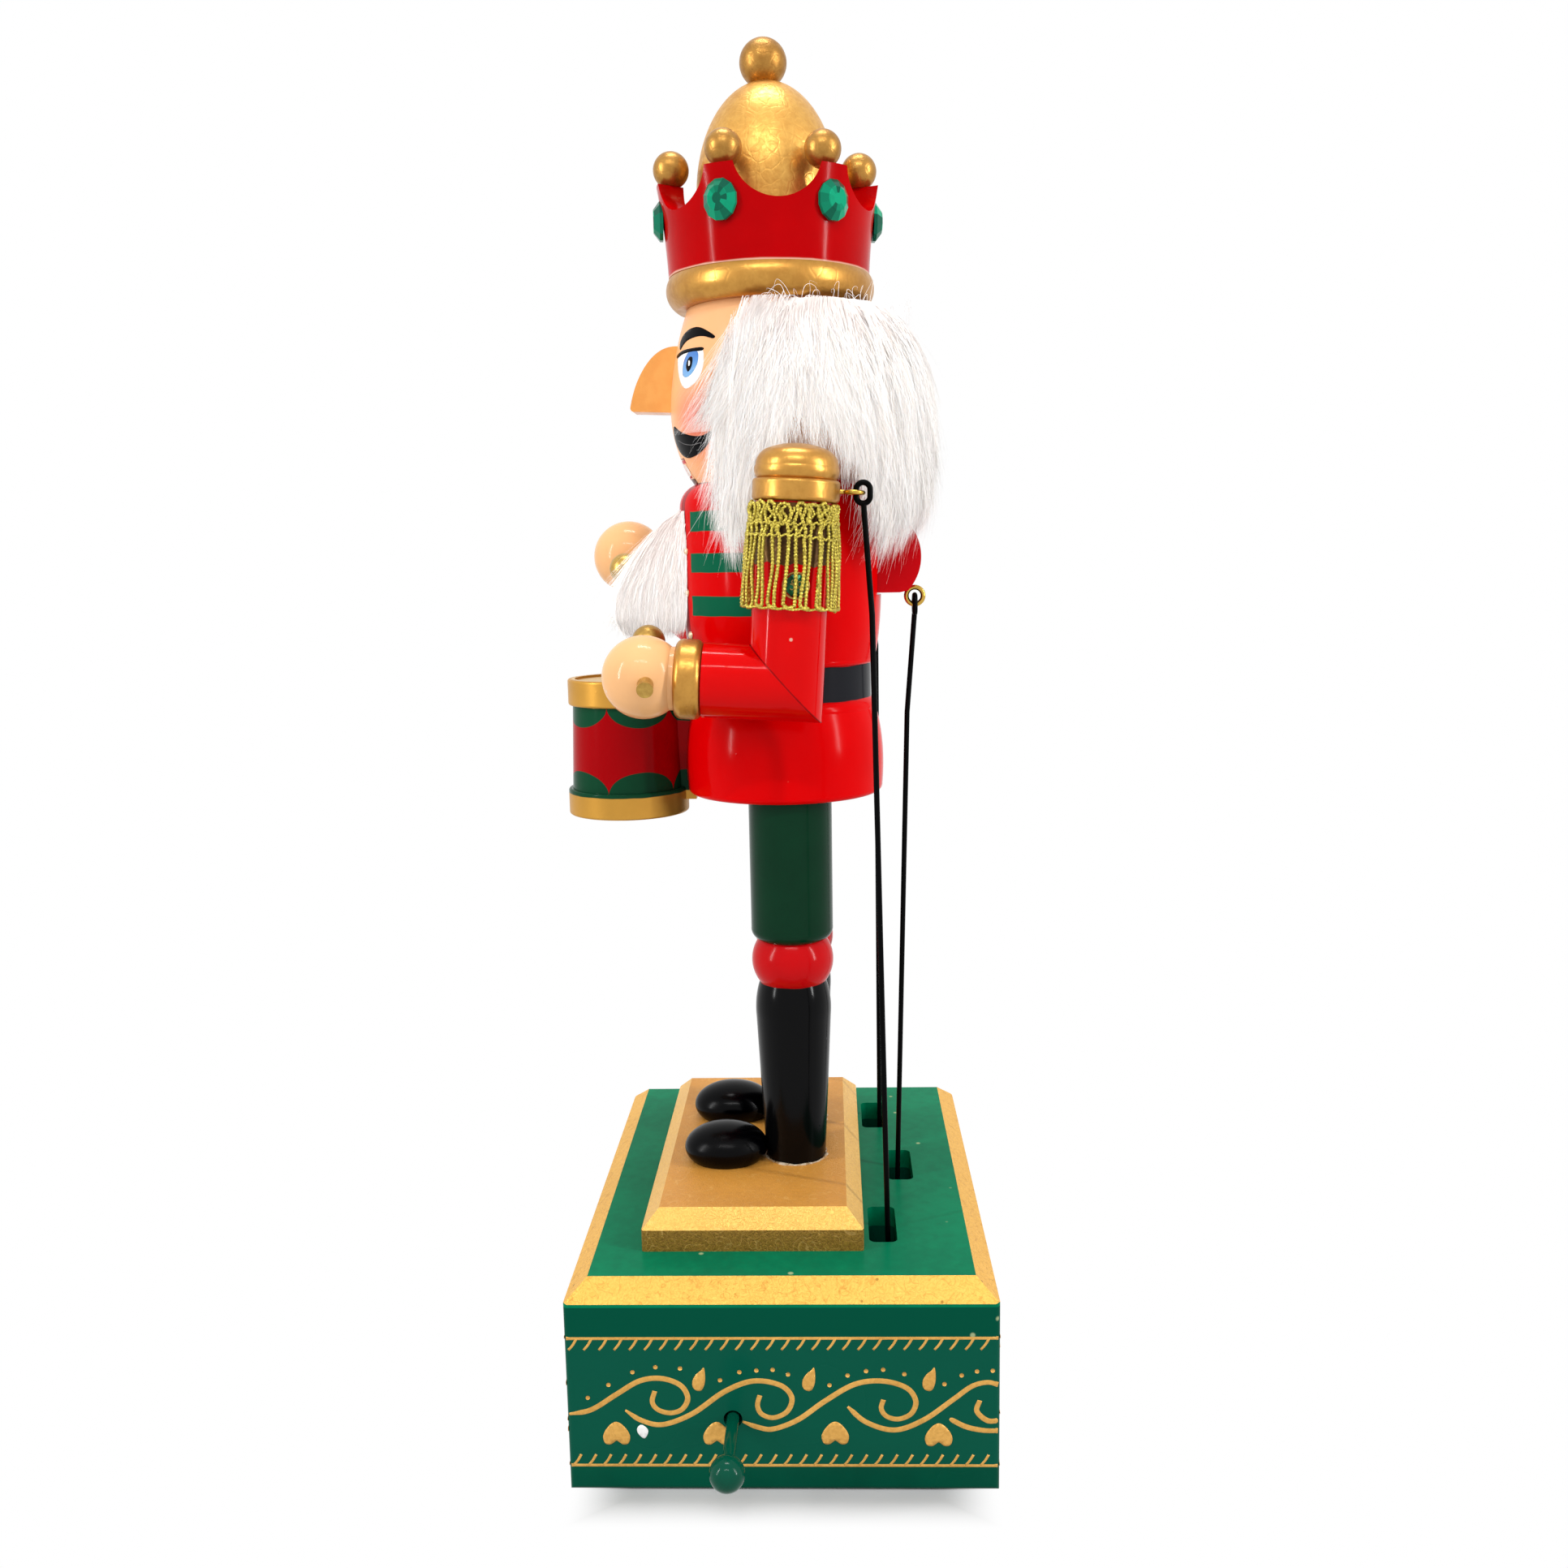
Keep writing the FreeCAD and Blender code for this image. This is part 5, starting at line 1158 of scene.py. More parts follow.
@dataclass
class MusicBase:
    """The green box with its gold bevels, the printed scrolls, the plinth and the stop rod."""

    half_long: float = 76.7
    half_wide: float = 60.0
    line_high: float = 45.9
    line_low: float = 7.7
    hatch_pitch: float = 4.2
    hatch_high: float = 42.5
    hatch_low: float = 11.0
    hatch_lean: float = 2.3
    print_gold: Rgb = (226, 172, 84)
    scrolls: tuple[tuple[Spot, ...], ...] = (
        ((-60.0, 23.2), (-53.1, 24.6), (-46.0, 29.2), (-39.5, 33.2), (-33.5, 34.0), (-28.2, 32.0),
         (-26.2, 28.2), (-27.8, 24.8), (-31.1, 23.6), (-34.6, 24.6), (-36.1, 27.0), (-35.3, 30.2)),
        ((-43.7, 24.4), (-39.2, 21.3), (-33.3, 20.1), (-25.0, 23.4), (-16.0, 30.0), (-8.0, 33.2),
         (-0.6, 32.0), (2.6, 28.4), (1.4, 24.2), (-2.4, 22.2), (-5.7, 23.2), (-6.9, 25.8), (-6.2, 28.9)),
        ((-11.2, 21.0), (-6.6, 19.2), (-2.5, 18.8), (4.3, 21.6), (11.8, 27.2), (20.0, 32.2), (27.6, 33.2),
         (34.2, 31.2), (36.8, 27.3), (35.6, 23.5), (32.1, 21.8), (28.8, 22.6), (27.3, 24.9), (27.9, 27.6)),
        ((18.0, 25.5), (23.2, 20.8), (31.0, 18.5), (39.1, 21.6), (47.0, 27.6), (52.2, 31.6), (56.4, 32.8),
         (60.0, 32.1)),
        ((60.0, 21.3), (56.4, 21.4), (53.6, 24.2), (54.4, 27.4)),
        ((46.1, 21.9), (50.6, 19.5), (55.4, 18.4), (60.0, 18.3)))
    hearts: tuple[Spot, ...] = ((-46.4, 17.3), (-18.4, 17.3), (14.5, 17.4), (43.1, 16.9))
    leaves: tuple[Spot, ...] = ((-23.1, 33.2), (7.3, 33.2), (40.4, 33.2))
    dots: tuple[Spot, ...] = (
        (-54.0, 28.2), (-48.1, 32.1), (-41.3, 35.9), (-34.9, 37.4), (-28.1, 37.0), (-17.1, 33.5),
        (-11.7, 35.9), (-7.0, 36.4), (-2.5, 36.6), (1.7, 35.2), (13.1, 32.0), (18.1, 34.9), (23.2, 36.2),
        (27.9, 36.6),
        (33.7, 35.3), (44.7, 32.3), (49.4, 34.9), (53.6, 36.1), (57.9, 36.3))

    def build(self) -> None:
        """Dresses the base and lays its print on the four walls."""
        self.paint()
        gold = GoldPaint("printed_gold", self.print_gold, (196, 144, 62), 0.45, 0.35, 500.0, 0.1).material()
        for wall in Wall:
            self.print_wall(wall, gold)
        self.fleck()

    def paint(self) -> None:
        """Gives the base's CAD nodes their finishes."""
        field = Patch((6, 80, 62), z=(7.9, 45.7), blur=0.6)
        strip = Patch((0, 59, 47), z=(45.7, 70.0), blur=0.6)
        walls = Lacquer("green_wall", (0, 74, 55), 0.22, 0.16, 0.05, 30.0, 1.0, 0.002, level=0.04,
                        patches=(field, strip))
        dress(walls.material(), "base_wall_front", "base_wall_back", "base_wall_left", "base_wall_right")
        dress(self.board(), "base_top")
        dress(self.plinth(), "plinth")
        dress(BareWood("plain_board", (196, 158, 110), (160, 120, 76), 0.5, 0).material(), "base_bottom")
        dress(Lacquer("green_knob", (0, 70, 52), 0.14, 0.08, 0.03, 60.0, level=0.12).material(), "stop_rod")

    def board(self) -> bpy.types.Material:
        """Builds the top board's paint: green with a leafed gold bevel."""
        made, bench, shader = new_material("green_board")
        place = bench.object_place()
        z = bench.times(bench.split(place)[2], 1000.0)
        stir = bench.times(bench.noise(place, 90.0, 1.0).outputs["Fac"], 0.5)
        slope = bench.slope()
        tilted = bench.times(bench.ramp(slope, 0.25, 0.35), bench.ramp(slope, 0.97, 0.93))
        bevel = bench.times(tilted, bench.ramp(bench.plus(z, stir), 55.7, 56.0))
        cloud = bench.group(Effect.CLOUDS, Place=place, Scale=22.0, Grain=0.4)
        shader.inputs["Specular IOR Level"].default_value = 0.03
        green = bench.mix(cloud.outputs["Tone"], (0, 106, 72), (0, 122, 82))
        # The board's upright faces are drawn darker than its top: painted shade.
        flank_shade = bench.times(bench.ramp(slope, 0.25, 0.15), bench.ramp(z, 55.2, 54.8))
        green = bench.mix(flank_shade, green, (0, 74, 55))
        dust = bench.group(Effect.SPECKS, Place=place, Scale=260.0, Amount=0.03)
        green = bench.mix(bench.times(dust.outputs["Mask"], 0.6), green, (190, 200, 150))
        crease = bench.group(Effect.CRINKLE, Place=place, Scale=900.0)
        gold = bench.mix(crease.outputs["Tone"], (222, 168, 78), (238, 186, 92))
        thin = bench.group(Effect.HAIRLINES, Place=place, Scale=110.0, Width=0.035)
        gold = bench.mix(bench.times(thin.outputs["Mask"], 0.5), gold, (186, 128, 52))
        dirt = bench.group(Effect.SPECKS, Place=place, Scale=420.0, Amount=0.05)
        gold = bench.mix(bench.times(dirt.outputs["Mask"], 0.6), gold, (110, 76, 26))
        bench.feed(shader.inputs["Metallic"], bench.times(bevel, 0.4))
        bench.look(shader, bench.mix(bevel, green, gold), bench.between(bevel, 0.26, 0.42))
        coat = bench.group(Effect.BRUSHED, Place=place, Scale=30.0, Stretch=1.0, Nibs=0.1)
        height = bench.between(bevel, bench.times(coat.outputs["Height"], 0.15), crease.outputs["Height"])
        bench.relief(shader, height, 0.35)
        return made

    def plinth(self) -> bpy.types.Material:
        """Builds the plinth's gold: matte bronze above, bright on the bevel, and darker on the upright sides,
        which is painted shade.
        """
        made, bench, shader = new_material("plinth_gold")
        place = bench.object_place()
        slope = bench.slope()
        flat = bench.ramp(slope, 0.93, 0.97)
        upright = bench.ramp(slope, 0.30, 0.20)
        crease = bench.group(Effect.CRINKLE, Place=place, Scale=900.0)
        cloud = bench.group(Effect.CLOUDS, Place=place, Scale=60.0, Grain=0.4)
        bright = bench.mix(crease.outputs["Tone"], (220, 166, 76), (240, 190, 94))
        matte = bench.mix(cloud.outputs["Tone"], (204, 140, 54), (218, 152, 60))
        # Darker gold on the upright sides: painted shade.
        side_shade_olive = bench.mix(crease.outputs["Tone"], (128, 92, 28), (160, 120, 44))
        colour = bench.mix(upright, bench.mix(flat, bright, matte), side_shade_olive)
        thin = bench.group(Effect.HAIRLINES, Place=place, Scale=60.0, Width=0.02)
        colour = bench.mix(bench.times(thin.outputs["Mask"], 0.3), colour, (232, 186, 110))
        bench.feed(shader.inputs["Metallic"], bench.between(flat, 0.4, 0.15))
        bench.look(shader, colour, bench.between(flat, 0.4, 0.5))
        bench.relief(shader, crease.outputs["Height"], 0.3)
        return made

    def on_wall(self, wall: Wall) -> tuple[Place, float, float]:
        """Gives how the print lies on a wall.

        Args:
            wall: Which wall.

        Returns:
            The placing function, the wall's half length, and how far the pattern is stretched along it.
        """
        if wall in (Wall.LEFT, Wall.RIGHT):
            side = 1 if wall is Wall.LEFT else -1
            return lambda u, v, h: Vector((side * (self.half_long + h), side * u, v)), self.half_wide, 1.0
        side = 1 if wall is Wall.BACK else -1
        stretch = self.half_long / self.half_wide
        return lambda u, v, h: Vector((-side * u, side * (self.half_wide + h), v)), self.half_long, stretch

    def print_wall(self, wall: Wall, gold: bpy.types.Material) -> None:
        """Prints the scrolls, hearts, leaves, dots, lines and hatching on one wall.

        Args:
            wall: Which wall.
            gold: The print's finish.
        """
        place, half, stretch = self.on_wall(wall)
        shape = Shape()
        edge = half - 0.6
        for z in (self.line_high, self.line_low):
            line = np.array([(u, z) for u in np.linspace(-edge, edge, 30)])
            shape.stroke(line, 0.95, place, 0.06)
        self.hatch(shape, place, edge)
        for scroll in self.scrolls:
            spots = [(min(max(u * stretch, -edge), edge), v) for u, v in scroll]
            line = flow(spots, 9)
            share = np.linspace(0, 1, len(line))
            width = 1.75 - 0.35 * np.abs(share - 0.35) - 0.9 * np.clip((0.05 - share) / 0.05, 0, 1)
            shape.stroke(line, width, place, 0.08)
        for u, v in self.hearts:
            shape.plate(self.heart(u * stretch, v), place, 0.07)
        for u, v in self.leaves:
            shape.plate(self.leaf(u * stretch, v), place, 0.07)
        for u, v in self.dots:
            angle = np.linspace(0, 2 * math.pi, 14, endpoint=False)
            dot = np.stack([u * stretch + 0.62 * np.cos(angle), v + 0.62 * np.sin(angle)], 1)
            shape.plate(dot, place, 0.07)
        shape.piece(f"print_{wall.value}", gold, "stand", "gold_paint")

    def hatch(self, shape: Shape, place: Place, edge: float) -> None:
        """Prints the slanted strokes under the upper line and over the lower one.

        Args:
            shape: The print's mesh.
            place: How the print lies on the wall.
            edge: How far the print reaches.
        """
        count = int(2 * edge / self.hatch_pitch)
        for i in range(count + 1):
            u = -edge + 0.6 + i * self.hatch_pitch
            for top, foot in ((self.line_high, self.hatch_high), (self.hatch_low, self.line_low)):
                if u + self.hatch_lean > edge:
                    continue
                bend = (u + self.hatch_lean * 0.55, foot + (top - foot) * 0.45)
                line = flow([(u, foot), bend, (u + self.hatch_lean, top)], 3)
                shape.stroke(line, np.linspace(0.75, 0.85, len(line)), place, 0.06)

    @staticmethod
    def heart(u: float, v: float) -> np.ndarray:
        """Draws an upside-down heart.

        Args:
            u: Its place along the wall.
            v: Its height.

        Returns:
            The outline's points.
        """
        half = [(0.0, 3.6), (1.5, 2.9), (3.1, 1.0), (3.8, -1.0), (3.2, -2.9), (1.7, -3.2), (0.3, -2.2)]
        spots = [(u + a, v + b) for a, b in half] + [(u - a, v + b) for a, b in half[::-1] if a > 0.1]
        return ring(spots, 4)

    @staticmethod
    def leaf(u: float, v: float) -> np.ndarray:
        """Draws a drop-shaped leaf whose tip bends to one side.

        Args:
            u: Its place along the wall.
            v: Its height.

        Returns:
            The outline's points.
        """
        spots = [(1.6, 4.0), (1.9, 1.6), (1.7, -0.8), (0.9, -2.6), (-0.4, -2.9), (-1.6, -1.8), (-1.6, 0.2),
                 (-0.6, 2.0), (0.7, 3.1)]
        return ring([(u + a, v + b) for a, b in spots], 4)

    def fleck(self) -> None:
        """Lays the fleck of bare white ground beside the first heart."""
        place = self.on_wall(Wall.LEFT)[0]
        shape = Shape()
        spots = [(-39.6, 20.0), (-38.2, 19.4), (-37.5, 17.9), (-38.6, 15.9), (-40.2, 17.2), (-40.6, 18.8)]
        shape.plate(ring(spots, 4), place, 0.05)
        paint = Lacquer("white_fleck", (232, 232, 230), 0.4, 0.08, 0.1)
        shape.piece("wall_fleck", paint.material(), "stand", "green_lacquer")


@dataclass
class Boots:
    """The legs and shoes: green trousers, red knee rolls, black boots, and the glue at their feet."""

    knee_z: float = 129.0
    trouser_z: float = 142.5
    plinth_top: float = 72.4
    steps: int = 90

    def build(self) -> None:
        """Dresses the legs and shoes and lays the glue."""
        knee = Patch((186, 6, 12), z=(self.knee_z, self.trouser_z), blur=0.3)
        boot = Patch((4, 4, 5), z=(0.0, self.knee_z), blur=0.3)
        legs = Lacquer("leg_paint", (4, 48, 28), 0.18, 0.18, 0.12, 60.0, 0.12, 0.004, level=0.09,
                       patches=(knee, boot))
        dress(legs.material(), "leg_left", "leg_right")
        shoe = Lacquer("black_shoe", (1, 1, 2), 0.22, 0.1, 0.03, 60.0, dust=0.002, level=0.08)
        dress(shoe.material(), "shoe_left", "shoe_right")
        glue = Glue("dried_glue").material()
        rng = np.random.default_rng(7)
        for side, name in ((1, "left"), (-1, "right")):
            self.bead(rng, side, name, glue)

    def bead(self, rng: np.random.Generator, side: int, name: str, glue: bpy.types.Material) -> None:
        """Lays the uneven bead of glue round one boot's foot.

        Args:
            rng: The seeded source of unevenness.
            side: 1 for the figure's left, -1 for the right.
            name: The side's name.
            glue: The finish.
        """
        lo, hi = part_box(f"leg_{name}")
        skin = Skin(f"leg_{name}")
        middle = ((lo.x + hi.x) / 2 / MM, (lo.y + hi.y) / 2 / MM)
        angles = np.linspace(0, 360, self.steps, endpoint=False)
        rough = np.tile(rng.uniform(-1, 1, self.steps), 3)
        rough = np.convolve(rough, np.ones(5) / 5, "same")[self.steps:2 * self.steps]
        path, radii = [], []
        for a, r in zip(angles, rough):
            spot = skin.around(float(a), self.plinth_top + 0.5, 0.25 + 0.35 * abs(r), middle)
            spot.z = self.plinth_top + 0.12
            path.append(spot)
            radii.append(0.42 + 0.3 * r)
        shape = Shape()
        shape.tube(np.array(path), np.array(radii), 8, True)
        shape.piece(f"boot_glue_{name}", glue, "stand", "black_lacquer")


@dataclass
class Coat:
    """The torso: red coat with green bars, the dark placket, buttons and the belt."""

    belt_low: float = 215.2
    belt_high: float = 225.5
    bars: tuple[Spot, ...] = ((265.3, 271.2), (253.4, 259.1), (240.9, 246.7))
    bar_y: Spot = (-24.5, -5.5)
    button_z: tuple[float, ...] = (259.6, 247.5, 235.0)
    button_turn: float = 25.5
    button_r: float = 1.2
    button_rise: float = 0.9
    red: Rgb = (216, 0, 3)

    def build(self) -> None:
        """Dresses the torso and sets the buttons."""
        bars = tuple(Patch((8, 92, 64), y=self.bar_y, z=bar, blur=0.3) for bar in self.bars)
        belt = Patch((32, 33, 37), z=(self.belt_low, self.belt_high), blur=0.35)
        placket = Patch((150, 2, 14), x=(-12.2, 12.2), y=(-40.0, 0.0), z=(226.5, 279.5), blur=0.4)
        paint = Lacquer("coat_paint", self.red, 0.13, 0.05, 0.12, 42.0, 0.35, 0.004, level=0.04,
                        patches=bars + (placket, belt))
        dress(paint.material(), "torso")
        self.buttons()

    def buttons(self) -> None:
        """Sets three small pale buttons down each side of the jaw."""
        skin = Skin("torso")
        shape = Shape()
        for z in self.button_z:
            for degrees in (-self.button_turn, self.button_turn):
                at = skin.around(degrees, z, 0.0)
                a = math.radians(degrees)
                shape.dome(tuple(at), self.button_r, (math.sin(a), -math.cos(a), 0), self.button_rise)
        gold = GoldPaint("button_gold", (248, 234, 204), (220, 190, 150), 0.3, 0.4)
        shape.piece("coat_buttons", gold.material(), "stand", "gold_trim")


@dataclass
class Face:
    """The head, the nose, the lower jaw and everything painted on them."""

    flesh: Rgb = (240, 184, 140)
    cheek: tuple[float, float, float] = (0.0200, 0.0200, 0.2965)
    chin_z: float = 280.4
    face_r: float = 30.0
    brow: tuple[Spot, ...] = ((21.4, 318.0), (20.0, 319.7), (23.0, 321.3), (30.4, 322.5), (38.1, 322.8),
                              (44.0, 322.4), (50.0, 321.3), (57.0, 319.4), (56.0, 318.7), (49.2, 319.6),
                              (44.1, 319.9), (37.6, 319.8), (31.1, 319.3), (26.1, 318.2), (23.6, 317.4))
    lid: tuple[Spot, ...] = ((17.6, 316.0), (26.4, 316.8), (37.1, 316.9), (48.6, 316.6), (48.6, 315.7),
                             (39.1, 315.9), (29.4, 315.8), (20.5, 315.2))
    white: tuple[Spot, ...] = ((21.0, 315.2), (27.0, 316.2), (38.0, 316.3), (48.4, 316.0), (50.6, 313.6),
                               (50.4, 310.6), (47.4, 307.8), (42.0, 306.2), (36.2, 305.8), (30.6, 307.6),
                               (25.0, 311.2))
    iris: tuple[Spot, ...] = ((31.4, 311.4), (31.8, 313.6), (34.6, 315.5), (39.2, 316.2), (43.8, 315.9),
                              (46.0, 314.7), (46.0, 312.4), (43.4, 310.4), (39.8, 309.2), (35.8, 308.9),
                              (32.4, 309.7))
    pupil: tuple[Spot, ...] = ((35.4, 311.8), (35.8, 313.5), (38.1, 314.5), (40.8, 314.2), (41.4, 312.6),
                               (40.2, 311.1), (37.7, 310.4))
    glint: tuple[Spot, ...] = ((37.4, 313.4), (38.8, 313.3), (39.2, 312.2), (37.9, 312.0))
    whisker: tuple[Spot, ...] = ((14.2, 295.0), (17.4, 296.0), (22.4, 295.2), (28.2, 294.0), (34.0, 293.1),
                                 (40.7, 292.4), (47.2, 292.2), (53.0, 292.8), (58.6, 294.0), (55.2, 291.4),
                                 (50.4, 289.4), (44.6, 287.9), (36.9, 286.9), (29.0, 286.6), (21.6, 287.4),
                                 (15.4, 289.4), (12.0, 292.2))
    shine: tuple[Spot, ...] = ((21.0, 291.9), (29.0, 290.6), (38.0, 290.0), (47.0, 290.4))

    def build(self) -> None:
        """Dresses the head and paints the face on both sides."""
        dress(self.head_paint(), "head")
        dress(BareWood("nose_wood", (242, 170, 84), (234, 156, 72), 0.22, 0).material(), "nose")
        dress(self.jaw_paint(), "jaw_lever")
        skin = Skin("head")
        black = Lacquer("face_black", (14, 14, 16), 0.14, 0.1, 0.05).material()
        self.paint_pair("brow", skin, black, self.brow, 0.10)
        self.paint_pair("eye_white", skin, Lacquer("eye_white", (246, 244, 240), 0.15, 0.03, 0.04).material(),
                        self.white, 0.05)
        self.paint_pair("iris", skin, self.iris_paint(), self.iris, 0.08)
        self.paint_pair("pupil", skin, black, self.pupil, 0.11)
        self.paint_pair("glint", skin, Lacquer("eye_glint", (250, 250, 250), 0.2, 0.02, 0.02).material(),
                        self.glint, 0.13)
        self.paint_pair("eyelid", skin, black, self.lid, 0.13)
        self.paint_pair("moustache", skin, black, self.whisker, 0.14)
        self.shines(skin)
        self.mouth()

    def head_paint(self) -> bpy.types.Material:
        """Builds the peach paint with its blushed cheeks."""
        made, bench, shader = new_material("head_paint")
        place = bench.object_place()
        cloud = bench.group(Effect.CLOUDS, Place=place, Scale=25.0, Grain=0.15)
        shader.inputs["Specular IOR Level"].default_value = 0.1
        colour = bench.mix(cloud.outputs["Tone"], (240, 178, 124), (246, 186, 134))
        away = bench.vector("DISTANCE", bench.vector("ABSOLUTE", place), self.cheek)
        front = bench.ramp(bench.split(place)[1], 0.006, -0.004)
        blush = bench.times(bench.ramp(away, 0.0165, 0.001), front)
        colour = bench.mix(bench.times(blush, 0.85), colour, (238, 116, 98))
        coat = bench.group(Effect.BRUSHED, Place=place, Scale=45.0, Stretch=0.6, Nibs=0.2)
        bench.look(shader, colour, bench.between(coat.outputs["Tone"], 0.2, 0.3))
        bench.relief(shader, coat.outputs["Height"], 0.05, 0.002)
        return made

    def jaw_paint(self) -> bpy.types.Material:
        """Builds the jaw lever's paint: flesh at the chin, then a dark line, then the red of the coat."""
        line = Patch((86, 44, 34), z=(self.chin_z - 0.9, self.chin_z + 0.5), blur=0.2)
        chin = Patch(self.flesh, z=(self.chin_z, 300.0), blur=0.2)
        lip = Patch((196, 40, 40), y=(-40.0, -25.0), z=(285.3, 300.0), blur=0.2)
        paint = Lacquer("jaw_paint", (206, 10, 20), 0.15, 0.1, 0.05, 45.0, patches=(chin, lip, line))
        return paint.material()

    def iris_paint(self) -> bpy.types.Material:
        """Builds the iris: blue, deeper towards the lid."""
        made, bench, shader = new_material("iris_blue")
        place = bench.object_place()
        streak = bench.group(Effect.CLOUDS, Place=place, Scale=300.0, Grain=0.5).outputs["Tone"]
        depth = bench.plus(bench.ramp(bench.split(place)[2], 0.3085, 0.3165), bench.times(streak, 0.25))
        colour = bench.mix(depth, (120, 176, 224), (62, 122, 196))
        bench.look(shader, colour, bench.between(streak, 0.12, 0.2))
        return made

    def paint_pair(self, name: str, skin: Skin, material: bpy.types.Material, spots: tuple[Spot, ...],
                   height: float) -> None:
        """Paints a shape on the figure's left side of the head, and its mirror image on the right.

        Args:
            name: The piece's name.
            skin: The head's outside.
            material: The paint.
            spots: The outline, as degrees from the front and heights.
            height: How far the paint stands up.
        """
        arc = math.radians(1) * self.face_r
        shape = Shape()
        for side in (1, -1):
            outline = ring([(side * a * arc, z) for a, z in spots], 5)
            shape.plate(outline, lambda u, v, h: skin.around(u / arc, v, h), height, 0.8)
        shape.piece(f"painted_{name}", material, "stand", "flesh_paint")

    def shines(self, skin: Skin) -> None:
        """Paints the thin grey highlight along each half of the moustache.

        Args:
            skin: The head's outside.
        """
        arc = math.radians(1) * self.face_r
        shape = Shape()
        for side in (1, -1):
            line = flow([(side * a * arc, z) for a, z in self.shine], 5)
            shape.stroke(line, 0.28, lambda u, v, h: skin.around(u / arc, v, h), 0.18)
        grey = Lacquer("whisker_shine", (104, 104, 104), 0.3, 0.1, 0.05).material()
        shape.piece("painted_shine", grey, "stand", "flesh_paint")

    def mouth(self) -> None:
        """Paints the row of teeth and the red corners on the lower jaw."""
        lo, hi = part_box("jaw_lever")
        front = lo.y / MM
        half = (hi.x - lo.x) / 2 / MM
        top = hi.z / MM
        skin = Skin("jaw_lever")
        teeth = Shape()

        def on_front(u: float, v: float, h: float) -> Vector:
            """Lays paint on the front of the jaw.

            Args:
                u: How far to the side.
                v: The height.
                h: How far over the surface.

            Returns:
                The point.
            """
            found = skin.hit(Vector((u, front - 20, v)), Vector((0, 1, 0)))
            at = found[0].y if found else front
            return Vector((u, at - h, v))

        outline = ring([(-half + 1.2, top - 1.4), (-half + 1.8, top - 4.6), (half - 1.8, top - 4.6),
                        (half - 1.2, top - 1.4), (0.0, top - 1.0)], 5)
        teeth.plate(outline, on_front, 0.06, 1.0)
        white = Lacquer("tooth_white", (240, 236, 228), 0.2, 0.04, 0.03).material()
        teeth.piece("painted_teeth", white, "jaw", "flesh_paint")
        gaps = Shape()
        for u in np.linspace(-half + 3.0, half - 3.0, 5):
            gaps.stroke(np.array([(u, top - 4.3), (u, top - 2.8), (u, top - 1.5)]), 0.3, on_front, 0.1)
        lip = flow([(-half + 1.4, top - 4.7), (0.0, top - 5.2), (half - 1.4, top - 4.7)], 6)
        gaps.stroke(lip, 0.7, on_front, 0.1)
        red = Lacquer("lip_red", (186, 24, 30), 0.18, 0.08, 0.04).material()
        gaps.piece("painted_lip", red, "jaw", "flesh_paint")


@dataclass
class Crown:
    """The crown: red with leafed dome, balls and finial, the satin ring and the green stones."""

    def build(self) -> None:
        """Dresses the crown's nodes."""
        line = Patch((236, 196, 170), z=(338.3, 338.9), blur=0.5, share=0.7)
        paint = Lacquer("crown_red", (182, 0, 4), 0.13, 0.10, 0.16, 40.0, 0.3, 0.006, level=0.04,
                        patches=(line,))
        dress(paint.material(), "crown")
        leaf = GoldPaint("gold_leaf", (226, 174, 88), (190, 136, 60), 0.38, 0.8, 330.0, 0.10)
        dress(leaf.material(), "crown_dome")
        # The balls and finial wear a darker copy of the leaf: painted shade for their darker reflections.
        ball = GoldPaint("ball_gold_shaded", (184, 136, 64), (150, 104, 42), 0.36, 0.8, 330.0, 0.08)
        dress(ball.material(), "crown_finial", "crown_balls")
        satin = GoldPaint("satin_gold", (200, 147, 68), (174, 122, 52), 0.32, 0.8, 240.0, 0.06)
        dress(satin.material(), "crown_ring", "shoulder_cap_left", "shoulder_cap_right", "cuff_left",
              "cuff_right")
        dress(CrownStones("green_stone", (0, 156, 114), (0, 88, 66)).material(), "crown_stones")


@dataclass
class DrumKit:
    """The drum, the sticks and the hands that hold them."""

    def build(self) -> None:
        """Dresses the drum, the sticks and the hands."""
        paint = DrumPaint("drum_paint", (14, 66, 42), 0.14, 0.12, 0.06, 50.0, level=0.05)
        dress(paint.material(), "drum")
        flesh = Lacquer("hand_flesh", (240, 184, 128), 0.12, 0.05, 0.04, 40.0, 1.0, 0.004, level=0.12)
        dress(flesh.material(), "hand_left", "hand_right")
        sticks = GoldPaint("stick_gold", (196, 160, 80), (156, 116, 50), 0.34, 0.7, 300.0, 0.08)
        dress(sticks.material(), "drumstick_left", "drumstick_right")


@dataclass
class Works:
    """The wires, eyes, key and the movement inside the box."""

    def build(self) -> None:
        """Dresses the metal parts."""
        wire = Lacquer("black_wire", (5, 5, 6), 0.3, 0.2, 0.06, 200.0, 0.1, 0.0, level=0.04)
        dress(wire.material(), "rod_left", "rod_right", "rod_jaw")
        brass = BareMetal("bright_brass", (214, 172, 78), 0.22).material()
        dress(brass, "screw_eye_left", "screw_eye_right", "jaw_eye", "winding_key", "spring_barrel",
              "note_cylinder", "governor_wheel", "governor_fly")
        steel = BareMetal("brushed_steel", (172, 172, 176), 0.3).material()
        dress(steel, "pivot_pins", "movement_frame", "comb", "lever_left", "lever_right", "lever_jaw",
              "camshaft", "winding_arbor", "wood_screws")
        dress(BareMetal("blued_steel", (70, 84, 120), 0.28).material(), "mainspring")


class Side(Enum):
    """The figure's two arms."""

    LEFT = 1
    RIGHT = -1

    @property
    def word(self) -> str:
        """The side's name in the frame's node names."""
        return self.name.lower()


